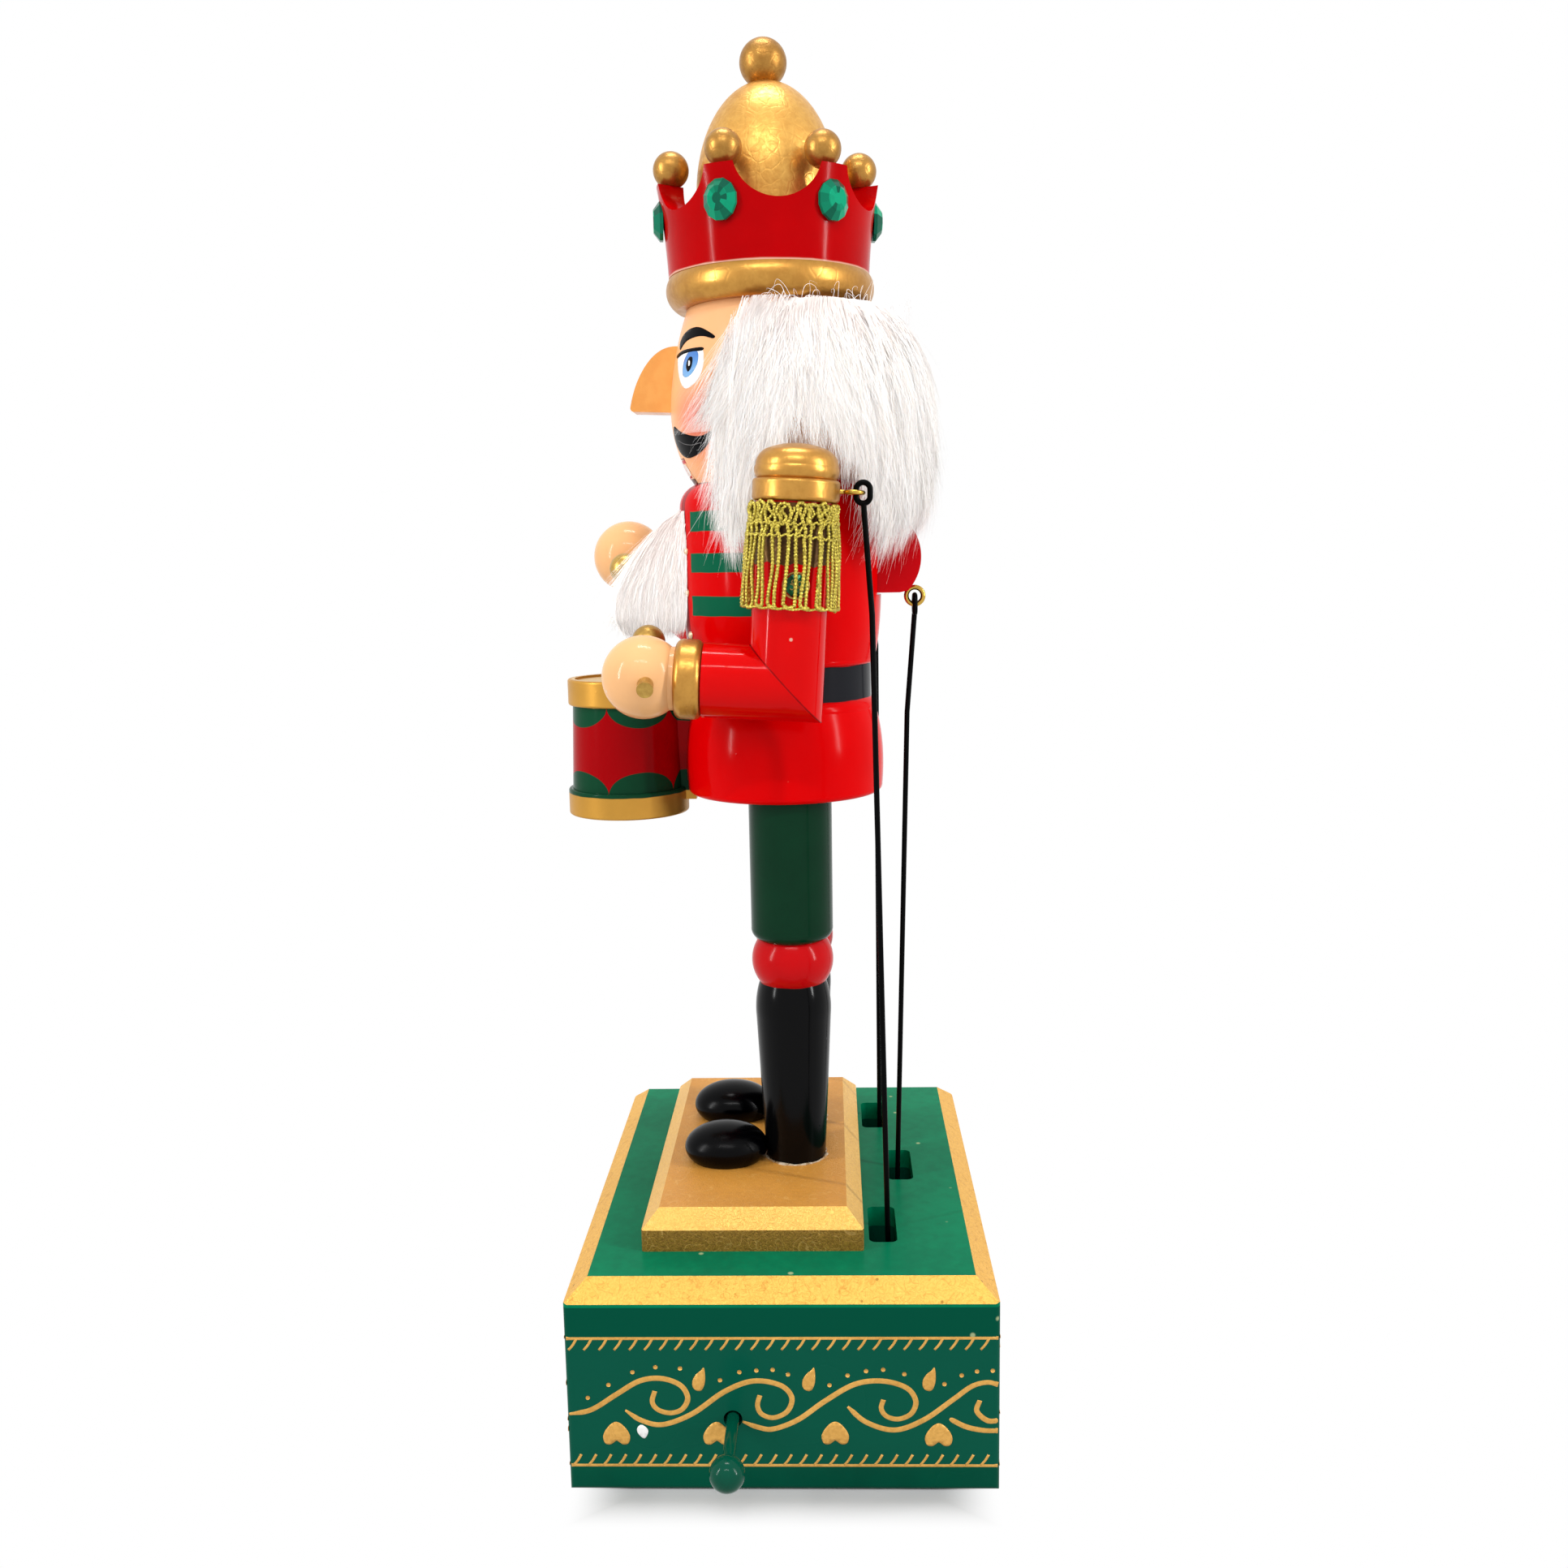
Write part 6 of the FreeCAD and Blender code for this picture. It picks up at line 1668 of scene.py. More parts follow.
@dataclass
class Arm:
    """One sleeve with its fringe and its stone, laid out hanging and then lifted to its place."""

    side: Side
    lift: float
    pivot: tuple[float, float, float] = (42.0, 6.5, 263.0)
    gold_z: float = 255.5
    sleeve_r: float = 10.5
    sleeve_y: float = -0.4
    elbow_drop: float = 40.4
    fringe_top: float = 9.3
    fringe_length: float = 29.3
    top_r: float = 12.1
    hem_r: float = 13.4
    body_gap: float = 7.5
    cord_r: float = 0.62
    cords: int = 26
    stone_z: float = -13.0
    seed: int = 11

    def build(self) -> None:
        """Dresses the sleeve, hangs the fringe and sets the stone."""
        a = -math.radians(self.lift)
        y, z = (math.cos(a) - math.sin(a)) / math.sqrt(2), (math.cos(a) + math.sin(a)) / math.sqrt(2)
        off = (y * self.pivot[1] + z * self.pivot[2] + (self.sleeve_y - self.elbow_drop) / math.sqrt(2)) * MM
        red = Lacquer(f"sleeve_red_{self.side.word}", (212, 0, 2), 0.10, 0.05, 0.14, 42.0, 0.35, 0.004,
                      level=0.09, seam=(y, z, off))
        dress(red.material(), f"upper_arm_{self.side.word}", f"forearm_{self.side.word}")
        self.fringe()
        self.stone()

    def place(self, points: np.ndarray) -> np.ndarray:
        """Moves points from the hanging arm's own place, measured from the pivot, to the lifted arm.

        Args:
            points: The points in millimetres, one row each, with x away from the body.

        Returns:
            The points in the frame.
        """
        a = -math.radians(self.lift)
        x = self.side.value * (self.pivot[0] + points[:, 0])
        y = self.pivot[1] + points[:, 1] * math.cos(a) - points[:, 2] * math.sin(a)
        z = self.pivot[2] + points[:, 1] * math.sin(a) + points[:, 2] * math.cos(a)
        return np.stack([x, y, z], 1)

    def around(self, turn: float | np.ndarray, radius: float | np.ndarray,
               z: float | np.ndarray) -> np.ndarray:
        """Gives points round the sleeve, at angles from straight out of the body, before the arm is lifted."""
        turn, radius, z = np.broadcast_arrays(turn, radius, z)
        return np.stack([radius * np.cos(turn), self.sleeve_y + radius * np.sin(turn), z], -1)

    def cord(self, shape: Shape, path: np.ndarray, radius: float, bead: float) -> None:
        """Lays a wound metal thread, which looks like a row of small beads, along a path.

        Args:
            shape: The fringe's mesh.
            path: The cord's middle line.
            radius: The thread's greatest radius.
            bead: How long one bead is.
        """
        run = np.concatenate([[0], np.cumsum(np.linalg.norm(np.diff(path, axis=0), axis=1))])
        at = np.linspace(0, run[-1], max(5, int(run[-1] / bead * 5)))
        line = np.stack([np.interp(at, run, path[:, i]) for i in range(3)], 1)
        shape.tube(self.place(line), radius * (0.56 + 0.44 * np.abs(np.sin(at / bead * math.pi))), 6)

    def fringe(self) -> None:
        """Hangs the one long gold cord that runs down and up in loops, with its stitched heading."""
        rng = np.random.default_rng(self.seed + self.side.value)
        reach = math.acos(-(self.body_gap - 0.8) / self.hem_r)
        turns = np.linspace(-reach + 0.04, reach - 0.04, self.cords)
        step = turns[1] - turns[0]
        pull = np.where(np.arange(self.cords) % 2 == 0, 1, -1) * rng.uniform(0.02, 0.20, self.cords) * step
        turns = turns + pull + rng.normal(0, 0.09, self.cords) * step
        top, hem = self.fringe_top - 1.3, self.fringe_top - self.fringe_length + 1.4
        shape = Shape()
        self.runs(shape, rng, turns, step, top, hem)
        self.heading(shape, rng, turns, step, top)
        name = f"gold_fringe_{self.side.word}"
        piece = shape.piece(name, Cord(f"bullion_{self.side.word}").material(), f"arm_{self.side.word}",
                            "gold_bullion")
        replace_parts(piece, f"fringe_{self.side.word}")
        self.backing()

    def runs(self, shape: Shape, rng: np.random.Generator, turns: np.ndarray, step: float, top: float,
             hem: float) -> None:
        """Lays the cord's runs up and down, with a bow at each end.

        Args:
            shape: The fringe's mesh.
            rng: The seeded source of unevenness.
            turns: The runs' angles.
            step: The angle from one run to the next.
            top: The heading's top.
            hem: The hem's height.
        """
        t = np.linspace(0, 1, 17)
        path = []
        for i, turn in enumerate(turns):
            sway = 0.16 * step * np.sin(t * rng.uniform(4, 9) + rng.uniform(0, 6.3)) * (0.4 + t)
            wander = turn + sway + 0.25 * step * np.sin(t * 26 + i) * (t < 0.3)
            out = self.top_r + (self.hem_r - self.top_r) * np.sin(np.clip(t * 1.15, 0, 1) * math.pi / 2)
            out = out - 0.3 + rng.normal(0, 0.16) + 0.12 * np.sin(t * 11 + i)
            low = hem + rng.uniform(-0.35, 0.5)
            run = self.around(wander, out, top + (low - top) * t)
            bow = self.around(turn + step * np.array([0.25, 0.5, 0.75]), out[-1 if i % 2 == 0 else 0] + 0.15,
                              (low - np.array([0.6, 0.8, 0.6])) if i % 2 == 0
                              else (top + rng.uniform(0.3, 1.3) * np.array([0.8, 1.0, 0.8])))
            path += [run if i % 2 == 0 else run[::-1], bow]
        self.cord(shape, flow(np.vstack(path[:-1]), 2), self.cord_r, 0.95)

    def heading(self, shape: Shape, rng: np.random.Generator, turns: np.ndarray, step: float,
                top: float) -> None:
        """Works the short curled loops at the top, the two chain-stitched lines and the hem's links.

        Args:
            shape: The fringe's mesh.
            rng: The seeded source of unevenness.
            turns: The cords' angles.
            step: The angle from one cord to the next.
            top: The heading's top.
        """
        for turn in turns[:-1]:
            a = np.linspace(0, 1, 12)
            mid = turn + step * rng.uniform(0.3, 0.7)
            path = self.around(mid + 0.3 * step * np.sin(a * rng.uniform(7, 12) + rng.uniform(0, 6)),
                               self.top_r + rng.uniform(-0.4, 0.3) + 0.2 * np.sin(a * 9),
                               top + rng.uniform(-0.4, 0.9) - a * rng.uniform(4.5, 7.5))
            self.cord(shape, flow(path, 2), self.cord_r * 0.8, 0.8)
        fine = np.linspace(turns[0] - 0.03, turns[-1] + 0.03, 240)
        for drop, lean in ((4.6, 0.35), (8.0, -0.3)):
            wave = 0.28 * np.sin(fine / step * math.pi * 2) + 0.2 * np.sin(fine * 3.1 + drop)
            out = self.top_r + 0.42 + 0.3 * (drop > 6)
            path = self.around(fine, out, top - drop + wave + lean * np.sin(fine))
            self.cord(shape, path, self.cord_r * 0.62, 0.7)
        low = self.fringe_top - self.fringe_length + 1.0
        link = low - 0.35 * np.abs(np.sin((fine - turns[0]) / step * math.pi / 2))
        self.cord(shape, self.around(fine, self.hem_r - 0.1, link), self.cord_r * 0.7, 0.8)

    def backing(self) -> None:
        """Lays the gold paint round the sleeve behind the heading, drawn dark as painted shade under the
        fringe.
        """
        shape = Shape()
        top, foot = self.fringe_top - 0.4, self.gold_z - self.pivot[2]
        turns = np.linspace(-2.1, 2.1, 60)
        rows = []
        for z in np.linspace(top, foot, 6):
            ragged = z + (0.35 * np.sin(turns * 7.3) + 0.25 * np.sin(turns * 17.1) if z == foot else 0)
            rows.append(self.around(turns, self.sleeve_r + 0.07, ragged))
        grid = np.vstack(rows)
        shape.put(self.place(grid), woven(len(rows), len(turns)))
        # Dark gold: painted shade under the fringe.
        gold = GoldPaint(f"shaded_sleeve_gold_{self.side.word}", (112, 76, 22), (70, 44, 12), 0.4, 0.6, 260.0, 0.15)
        shape.piece(f"sleeve_band_{self.side.word}", gold.material(), f"arm_{self.side.word}", "gold_trim")

    def stone(self) -> None:
        """Sets the green stone in its gold wire rim on the sleeve, half hidden by the cords."""
        shape = Shape()
        y, z, half = 1.3, self.stone_z, 3.2
        base, sides = self.sleeve_r + 0.05, 8
        rings = []
        for share, out in ((1.0, 0.0), (0.98, 0.5), (0.62, 1.0), (0.0, 1.0)):
            for i in range(sides):
                a = (i + 0.5) * 2 * math.pi / sides
                dy, dz = y + half * share * math.cos(a), z + half * share * math.sin(a)
                on_sleeve = math.sqrt(max(base ** 2 - (dy - self.sleeve_y) ** 2, 0))
                rings.append((self.sleeve_r + out - 0.35 if out else on_sleeve, dy, dz))
        shape.put(self.place(np.array(rings)), woven(len(rings) // sides, sides, True))
        stone = CutStone(f"sleeve_stone_{self.side.word}", (20, 96, 60), (4, 44, 26)).material()
        shape.piece(f"stone_{self.side.word}", stone, f"arm_{self.side.word}", "green_stone", False)
        rim = Shape()
        a = np.linspace(0, 2 * math.pi, 24, endpoint=False)
        wire = np.stack([np.full(24, self.sleeve_r + 0.15), y + 3.5 * np.cos(a), z + 3.5 * np.sin(a)], 1)
        rim.tube(self.place(wire), 0.28, 6, True)
        for turn in range(4):
            b = turn * math.pi / 2 + 0.5
            curl = np.linspace(0, 4.5, 14)
            out = 0.2 + curl * 0.2
            wire = np.stack([np.full(len(curl), self.sleeve_r + 0.85),
                             y + 1.4 * math.cos(b) + out * np.cos(curl + b),
                             z + 1.4 * math.sin(b) + out * np.sin(curl + b)], 1)
            rim.tube(self.place(wire), 0.13, 5)
        gold = GoldPaint(f"rim_gold_{self.side.word}", (206, 170, 96), (150, 112, 50), 0.3, 0.8).material()
        rim.piece(f"stone_rim_{self.side.word}", gold, f"arm_{self.side.word}", "gold_trim")


@dataclass
class FurCoat:
    """Strands of plush over an inner shell, laid along a form."""

    name: str
    body: str
    node: str
    slot: str = "white_fur"
    seed: int = 3
    stations: int = 6

    def strands(self, paths: np.ndarray, widths: np.ndarray, sides: np.ndarray, facing: np.ndarray,
                label: str, fur: bpy.types.Material) -> bpy.types.Object:
        """Makes one piece of flat tapering strands.

        Args:
            paths: Every strand's points, as strand, station and axis, in millimetres.
            widths: Every strand's width at its root.
            sides: The way across each strand at each station.
            facing: The way that each strand's faces look at each station, for soft shading.
            label: The piece's name.
            fur: The finish.

        Returns:
            The new piece.
        """
        n, k, _ = paths.shape
        t = np.linspace(0, 1, k)
        taper = (1 - 0.85 * t ** 1.5)[None, :, None]
        off = sides * widths[:, None, None] * taper / 2
        points = np.stack([paths - off, paths + off], 2).reshape(-1, 3) * MM
        first = (np.arange(n)[:, None] * k + np.arange(k - 1)[None, :]) * 2
        faces = np.stack([first, first + 1, first + 3, first + 2], 2).reshape(-1, 4)
        mesh = bpy.data.meshes.new(label)
        mesh.vertices.add(len(points))
        mesh.vertices.foreach_set("co", points.ravel())
        mesh.loops.add(faces.size)
        mesh.loops.foreach_set("vertex_index", faces.ravel())
        mesh.polygons.add(len(faces))
        mesh.polygons.foreach_set("loop_start", np.arange(len(faces)) * 4)
        mesh.polygons.foreach_set("loop_total", np.full(len(faces), 4))
        rng = np.random.default_rng(self.seed + 50)
        tone = np.repeat(rng.uniform(0, 1, n), k * 2)
        along = np.tile(np.repeat(t, 2), n)
        layer = mesh.uv_layers.new(name="strand")
        layer.data.foreach_set("uv", np.stack([along, tone], 1)[faces.ravel()].ravel())
        mesh.update(calc_edges=True)
        mesh.shade_smooth()
        looks = facing + rng.normal(0, 0.15, (n, 1, 3))
        looks /= np.linalg.norm(looks, axis=2)[:, :, None]
        mesh.normals_split_custom_set_from_vertices(np.repeat(looks.reshape(-1, 3), 2, axis=0))
        mesh.materials.append(fur)
        return hang(bpy.data.objects.new(label, mesh), self.body, self.slot)

    def under(self, shape: Shape, word: str, fur: bpy.types.Material) -> bpy.types.Object:
        """Makes the piece that the strands grow over, in the tone of a strand's middle.

        Args:
            shape: Its mesh.
            word: What it is called after the coat's own name.
            fur: The finish.

        Returns:
            The new piece.
        """
        piece = shape.piece(f"{self.name}_{word}", fur, self.body, self.slot)
        layer = piece.data.uv_layers.new(name="strand")
        layer.data.foreach_set("uv", np.tile([0.35, 0.4], len(piece.data.loops)))
        return piece


@dataclass
class Wig(FurCoat):
    """The long white plush that hangs from under the crown's ring."""

    axis_y: float = 9.0
    top_z: float = 328.8
    head_r: float = 31.3
    count: int = 80000
    tufts: int = 880
    parts: int = 4
    loose: int = 90
    far_turn: float = 2.3
    shell_turn: float = 2.22
    parting: float = 1.56
    ring_y: float = -0.25
    ring_r: float = 31.0

    def reach(self, turn: np.ndarray, z: np.ndarray) -> np.ndarray:
        """Gives how far the fur's outside lies from the wig's axis.

        Args:
            turn: Angles in radians from straight back, towards the figure's left.
            z: Heights.

        Returns:
            The radii in millimetres.
        """
        high = np.interp(z, [244, 252, 258, 264, 270, 280, 290, 300, 310, 318, 324, 329],
                         [27.0, 30.0, 33.0, 35.6, 37.6, 39.0, 39.6, 39.5, 38.4, 36.2, 33.4, 28.6])
        front = np.clip((np.abs(turn) - 1.7) / 0.7, 0, 1)
        return high - front * 2.0 * (z > 276) - front * 1.0

    def build(self) -> None:
        """Lays the inner shell and the strands, and stands them for the CAD hair."""
        fur = PlushFur("white_plush").material()
        rng = np.random.default_rng(self.seed)
        pieces = [self.shell(fur)]
        for part in range(self.parts):
            pieces.append(self.part(rng, part, fur))
        pieces.append(self.curls(rng, fur))
        for piece in pieces:
            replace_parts(piece, self.node)

    def edge(self, z: np.ndarray) -> np.ndarray:
        """Gives how far round to the front the fur reaches at each height."""
        return np.interp(z, [250, 258, 270, 280, 290, 300, 311, 322, 329],
                         [2.10, 2.18, 2.24, 2.26, 2.28, 2.32, 2.32, 2.26, 2.22])

    def foot(self, turn: np.ndarray) -> np.ndarray:
        """Gives how low the fur hangs at each angle.

        Args:
            turn: Angles in radians from straight back.

        Returns:
            The heights in millimetres.
        """
        turns = [0, 0.45, 0.8, 1.0, 1.15, 1.28, 1.45, 1.6, 1.75, 1.9, 2.05, 2.2, 2.35, 2.5]
        lows = [272, 269, 264, 268, 277, 285, 293, 294, 291, 280, 268, 262, 267, 278]
        return np.interp(np.abs(turn), turns, lows)

    def part(self, rng: np.random.Generator, part: int, fur: bpy.types.Material) -> bpy.types.Object:
        """Lays one share of the strands.

        Args:
            rng: The seeded source of unevenness.
            part: Which share.
            fur: The finish.

        Returns:
            The new piece.
        """
        n, tufts = self.count // self.parts, self.tufts // self.parts
        of = rng.integers(0, tufts, n)
        own = rng.normal(0, 1, (tufts, 6))
        tuft_u, tuft_v = rng.uniform(-1, 1, tufts), rng.uniform(0, 1, tufts) ** 0.85
        u = np.clip(tuft_u[of] + rng.normal(0, 0.032, n), -1, 1)
        v = np.clip(tuft_v[of] + rng.normal(0, 0.04, n), 0, 1)
        stray = rng.uniform(0, 1, n) < 0.08
        wisp = rng.uniform(0, 1, n) < 0.020
        u = np.where(wisp, np.sign(u) * rng.uniform(0.84, 1.0, n), u)
        foot = self.foot(u * self.far_turn)
        z0 = np.where(wisp, rng.uniform(302, 325, n), self.top_z - v * (self.top_z - foot - 14.0))
        turn0 = u * (self.edge(z0) - 0.04)
        ends = z0 - foot + own[of, 1] * 5.5 - rng.exponential(4.6, n) + 3.5 + 7.0 * stray
        length = (34 + own[of, 0] * 8).clip(20, 54) * rng.uniform(0.55, 1.0, n)
        length = np.minimum(length, ends).clip(8, None)
        length = np.where(wisp, np.minimum(rng.uniform(14, 34, n), z0 - 293.0).clip(6, None), length)
        t = np.linspace(0, 1, self.stations)[None, :]
        side, at = np.sign(turn0), np.abs(turn0)
        off = at - self.parting
        parted = np.sign(off) * np.exp(-(off / 0.42) ** 2) * np.clip((312 - z0 + length) / 30, 0, 1)
        forward = np.clip((at - 1.45) / 0.7, 0, 1) * (0.06 + 0.05 * own[of, 2])
        swing = side * (0.15 * parted + forward - 0.05 * np.clip((1.4 - at) / 1.0, 0, 1)) + own[of, 3] * 0.05
        swing = swing + rng.normal(0, 0.03, n) + np.where(stray, rng.normal(0, 0.16, n), 0)
        swing = np.where(wisp, side * rng.uniform(0.14, 0.56, n), swing)
        gather = np.where(stray | wisp, 0.0, (tuft_u[of] * (self.edge(z0) - 0.04) - turn0) * 0.85)
        wave = 0.03 * np.sin(t * 4.2 + own[of, 4][:, None] * 2)
        wave = wave + 0.012 * np.sin(t * 9 + rng.uniform(0, 6.3, n)[:, None])
        turn = turn0[:, None] + gather[:, None] * t ** 1.2 + swing[:, None] * t ** 1.3 + wave * t
        z = z0[:, None] - length[:, None] * t * (0.92 + 0.08 * t)
        deep = rng.uniform(0, 1, n) ** 1.4 * 1.8
        out = self.reach(turn, z) - 0.4 - 2.8 * (1 - t) ** 1.4 - deep[:, None]
        lift = rng.normal(0, 0.45, n) + own[of, 5] * 0.8 + np.where(stray, rng.uniform(0.3, 4.2, n), 0)
        out = out + lift[:, None] * t ** 1.2 + np.where(wisp, 1.4, 0.0)[:, None] * t
        x, y = out * np.sin(turn), self.axis_y + out * np.cos(turn)
        near = np.maximum(1.0, (self.head_r + 0.3 * t) / np.hypot(x, y))
        paths = np.stack([x * near, y * near, z], 2)
        across = np.stack([np.cos(turn), -np.sin(turn), np.zeros_like(turn)], 2)
        outward = np.stack([np.sin(turn), np.cos(turn), np.zeros_like(turn) + 0.6], 2)
        tilt = rng.uniform(-0.6, 0.6, n)[:, None, None]
        sides = across * np.cos(tilt) + outward * np.sin(tilt)
        facing = outward + across * (own[of, 3] * 0.22)[:, None, None]
        widths = np.where(wisp | stray, rng.uniform(0.07, 0.13, n), rng.uniform(0.09, 0.25, n))
        return self.strands(paths, widths, sides, facing, f"{self.name}_{part + 1}", fur)

    def curls(self, rng: np.random.Generator, fur: bpy.types.Material) -> bpy.types.Object:
        """Lays the loose curls that spring up over the foot of the crown's ring.

        Args:
            rng: The seeded source of unevenness.
            fur: The finish.

        Returns:
            The new piece.
        """
        n = self.loose
        t = np.linspace(0, 1, 16)[None, :]
        each = rng.uniform(0, 1, (n, 6))
        rise = 3.5 + 5.0 * each[:, :1] ** 1.6
        turn = (each[:, 1:2] * 2 - 1) * 2.15 + (each[:, 2:3] - 0.5) * 0.50 * t
        turn = turn + 0.03 * np.sin(t * 7 + each[:, 3:4] * 6.3) * t
        z = self.top_z - 4.0 + rise * np.sin(t * math.pi * (0.6 + 0.5 * each[:, 4:5]))
        out = self.reach(turn, np.full_like(turn, self.top_z - 4.0)) - 0.4 + 1.6 * each[:, 5:] * t
        x, y = out * np.sin(turn), self.axis_y + out * np.cos(turn)
        far = np.maximum(1.0, (self.ring_r + 0.5 * t) / np.hypot(x, y - self.ring_y))
        paths = np.stack([x * far, self.ring_y + (y - self.ring_y) * far, z], 2)
        outward = np.stack([np.sin(turn), np.cos(turn), np.zeros_like(turn)], 2)
        sides = np.cross(np.gradient(paths, axis=1), outward)
        sides /= np.linalg.norm(sides, axis=2)[:, :, None]
        facing = outward + np.array([0.0, 0.0, 0.6])
        return self.strands(paths, rng.uniform(0.08, 0.15, n), sides, facing, f"{self.name}_curls", fur)

    def shell(self, fur: bpy.types.Material) -> bpy.types.Object:
        """Lays the rough inner shell that the strands grow over.

        Args:
            fur: The finish.

        Returns:
            The new piece.
        """
        shape = Shape()
        rows, n = 26, 96
        grid = []
        for i in range(rows):
            s = i / (rows - 1)
            for j in range(n):
                turn = -1 + 2 * j / (n - 1)
                around = turn * self.shell_turn
                foot = float(self.foot(np.array(around))) + 8.0
                z = self.top_z - s * (self.top_z - foot)
                out = float(self.reach(np.array(around), np.array(z))) - 3.0 - 2.2 * s
                out += 0.5 * math.sin(j * 1.7 + i * 0.9) + 0.3 * math.sin(j * 4.1)
                grid.append((out * math.sin(around), self.axis_y + out * math.cos(around), z))
        shape.put(np.array(grid), woven(rows, n))
        return self.under(shape, "shell", fur)


@dataclass
class Whiskers(FurCoat):
    """The beard: a long tuft of plush that hangs from the chin and moves with the jaw."""

    count: int = 40000
    tufts: int = 300
    coat_r: float = 30.9
    chin_z: float = 279.0
    low_z: float = 233.5
    half_width: float = 12.8
    parts: int = 2

    def build(self) -> None:
        """Lays the tuft, and stands it for the CAD beard."""
        # The beard's stronger glow is painted light, which lifts it out of the shade under the head.
        fur = PlushFur("beard_plush", 0.17).material()
        rng = np.random.default_rng(self.seed)
        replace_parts(self.core(fur), self.node)
        for part in range(self.parts):
            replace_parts(self.part(rng, part, fur), self.node)

    def front(self, z: np.ndarray) -> np.ndarray:
        """Gives how far to the front the tuft reaches at each height.

        Args:
            z: Heights.

        Returns:
            The places along y in millimetres.
        """
        heights = [232, 236, 240, 245, 249, 254, 258, 262, 266, 269, 271.5, 276, 282]
        places = [-44.5, -46.2, -47.4, -47.4, -46.2, -43.7, -41.6, -38.9, -35.8, -32.6, -28.4, -27.4, -26.8]
        return np.interp(z, heights, places)

    def wide(self, z: np.ndarray) -> np.ndarray:
        """Gives the tuft's half width at each height."""
        share = np.interp(z, [232, 240, 250, 262, 272, 282], [0.62, 0.86, 0.98, 1.0, 0.92, 0.72])
        return share * self.half_width

    def core(self, fur: bpy.types.Material) -> bpy.types.Object:
        """Lays the rounded core under the strands.

        Args:
            fur: The finish.

        Returns:
            The new piece.
        """
        shape = Shape()
        rows = []
        turns = np.linspace(0, 2 * math.pi, 33)[:-1]
        heights = np.linspace(self.low_z + 7.0, 270.0, 16)
        for i, z in enumerate(heights):
            close = math.sqrt(max(0.0, 1 - (1 - i / 3) ** 2)) if i < 3 else 1.0
            x = (self.wide(z) - 1.4) * close * np.sign(np.sin(turns)) * np.abs(np.sin(turns)) ** 0.7
            back = 1.2 - np.sqrt(self.coat_r ** 2 - x ** 2)
            share = 0.5 + 0.5 * np.sign(np.cos(turns)) * np.abs(np.cos(turns)) ** 0.7 * close
            y = back + (self.front(z) + 1.6 - back) * share
            rows.append(np.stack([x, y, np.full(len(turns), z)], 1))
        n = len(turns)
        ends = [tuple(range(n))[::-1], tuple((len(rows) - 1) * n + j for j in range(n))]
        shape.put(np.vstack(rows), woven(len(rows), n, True) + ends)
        return self.under(shape, "core", fur)

    def part(self, rng: np.random.Generator, part: int, fur: bpy.types.Material) -> bpy.types.Object:
        """Lays one share of the strands.

        Args:
            rng: The seeded source of unevenness.
            part: Which share.
            fur: The finish.

        Returns:
            The new piece.
        """
        n, tufts = self.count // self.parts, self.tufts // self.parts
        of = rng.integers(0, tufts, n)
        own = rng.normal(0, 1, (tufts, 5))
        front_face = (rng.uniform(0, 1, tufts) < 0.4)[of]
        rim = rng.exponential(0.07, n).clip(0, 0.35)
        hand = np.where(rng.uniform(0, 1, tufts) < 0.5, -1, 1)[of]
        x0 = np.where(front_face, np.clip(rng.uniform(-1, 1, tufts)[of] + rng.normal(0, 0.10, n), -1, 1),
                      hand * (1 - rim))
        inner = np.clip(rng.uniform(0, 1.05, tufts)[of] + rng.normal(0, 0.09, n), 0, 1)
        depth = np.where(front_face, 1 - rim, inner)
        stray = rng.uniform(0, 1, n) < 0.10
        t = np.linspace(0, 1, self.stations)[None, :]
        z0 = self.chin_z - 6.5 - rng.uniform(0, 1, tufts)[of] * 30.0 - rng.uniform(0, 4.0, n)
        end = self.low_z + rng.exponential(2.6, n) + np.abs(x0) ** 2 * 2.0
        end = end + np.abs(own[of, 1]) * 2.4 + depth ** 3 * 2.5
        length = np.minimum(rng.uniform(12, 34, n), z0 - end).clip(6, None)
        z = np.maximum(z0[:, None] - length[:, None] * t, self.low_z - 1.5)
        x = x0[:, None] * self.wide(z) + (own[of, 0] * 0.8 + rng.normal(0, 0.5, n))[:, None] * t
        x = x + np.sin(t * 3 + rng.uniform(0, 6.3, n)[:, None]) * rng.normal(0, 0.4, n)[:, None]
        rear = 1.4 - np.sqrt(self.coat_r ** 2 - np.clip(x, -14, 14) ** 2)
        drift = (own[of, 4] * 0.07 + rng.normal(0, 0.06, n))[:, None] * np.sin(t * 2.2)
        share = np.clip(depth[:, None] + drift, 0, 1.03)
        y = rear + (self.front(z) - rear) * share + (1 - t) * 0.6
        loose = rng.uniform(0.5, 7.0, n) * stray * depth + np.clip(own[of, 2], 0, 2) * 0.5 * depth
        y = y - loose[:, None] * t ** 1.4
        paths = np.stack([x, y, z], 2)
        edge = np.abs(x0)[:, None] + t * 0
        ahead = -0.45 - 0.5 * depth[:, None] + edge * 0
        outward = np.stack([np.sign(x0)[:, None] * edge, ahead, edge * 0 + 0.9], 2)
        outward /= np.linalg.norm(outward, axis=2)[:, :, None]
        across = np.stack([outward[:, :, 1], -outward[:, :, 0], outward[:, :, 2] * 0], 2)
        across /= np.linalg.norm(across, axis=2)[:, :, None]
        tilt = rng.uniform(-0.8, 0.8, n)[:, None, None]
        sides = across * np.cos(tilt) + outward * np.sin(tilt)
        facing = outward + across * (own[of, 3] * 0.2)[:, None, None]
        widths = np.where(stray, rng.uniform(0.07, 0.13, n), rng.uniform(0.10, 0.26, n))
        return self.strands(paths, widths, sides, facing, f"{self.name}_{part + 1}", fur)


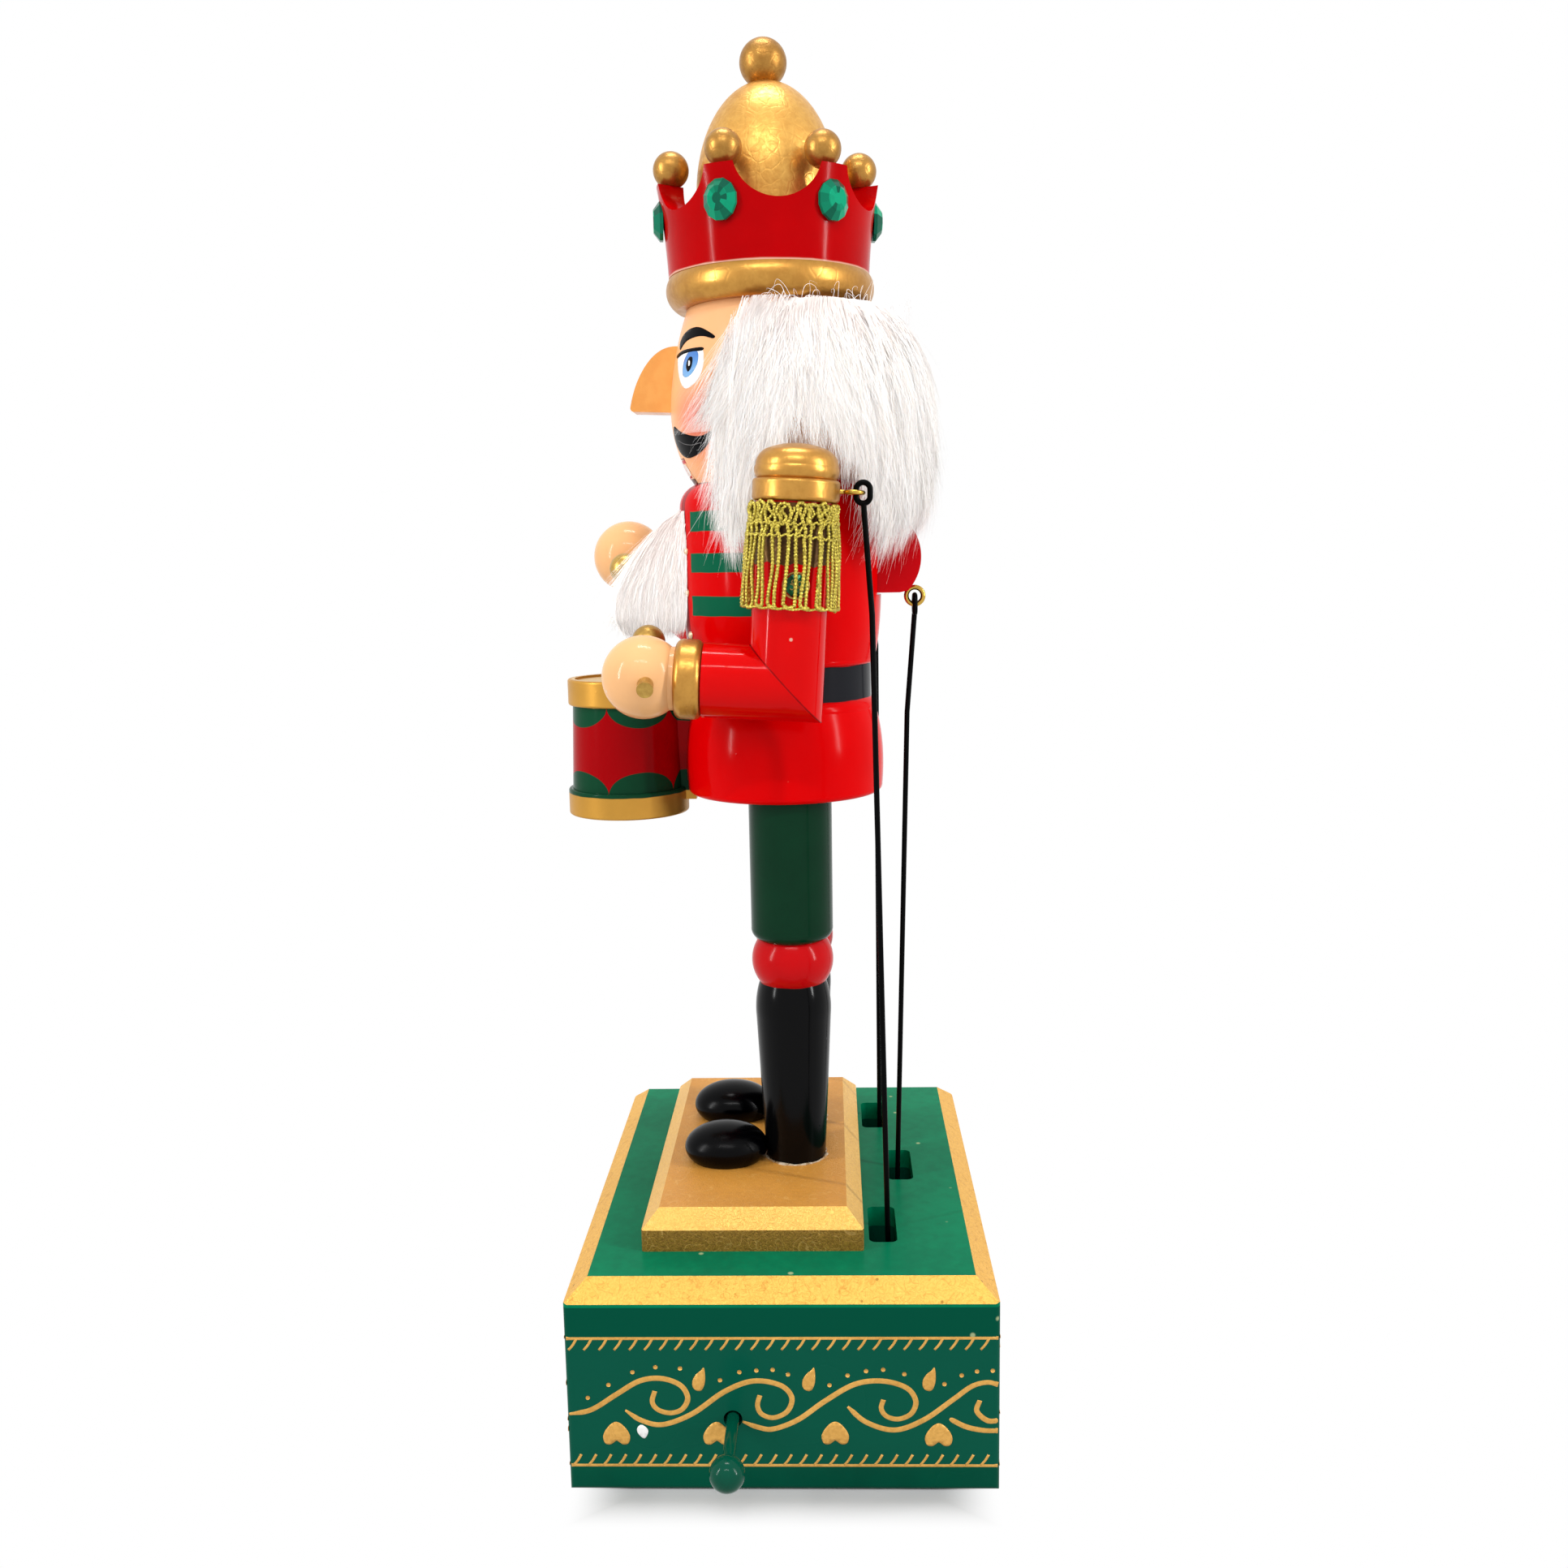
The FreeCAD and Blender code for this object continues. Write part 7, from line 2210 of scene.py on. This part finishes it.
def main() -> None:
    """Builds the studio and dresses the music box, one sub-assembly after another."""
    logging.basicConfig(level=logging.INFO, format="%(name)s: %(message)s")
    Studio().build()
    MusicBase().build()
    Boots().build()
    Coat().build()
    Face().build()
    Crown().build()
    DrumKit().build()
    Works().build()
    Arm(Side.LEFT, 3.5).build()
    Arm(Side.RIGHT, 40.5).build()
    Wig("wig", "stand", "hair").build()
    Whiskers("beard_fur", "jaw", "beard").build()


if __name__ == "__main__":
    main()
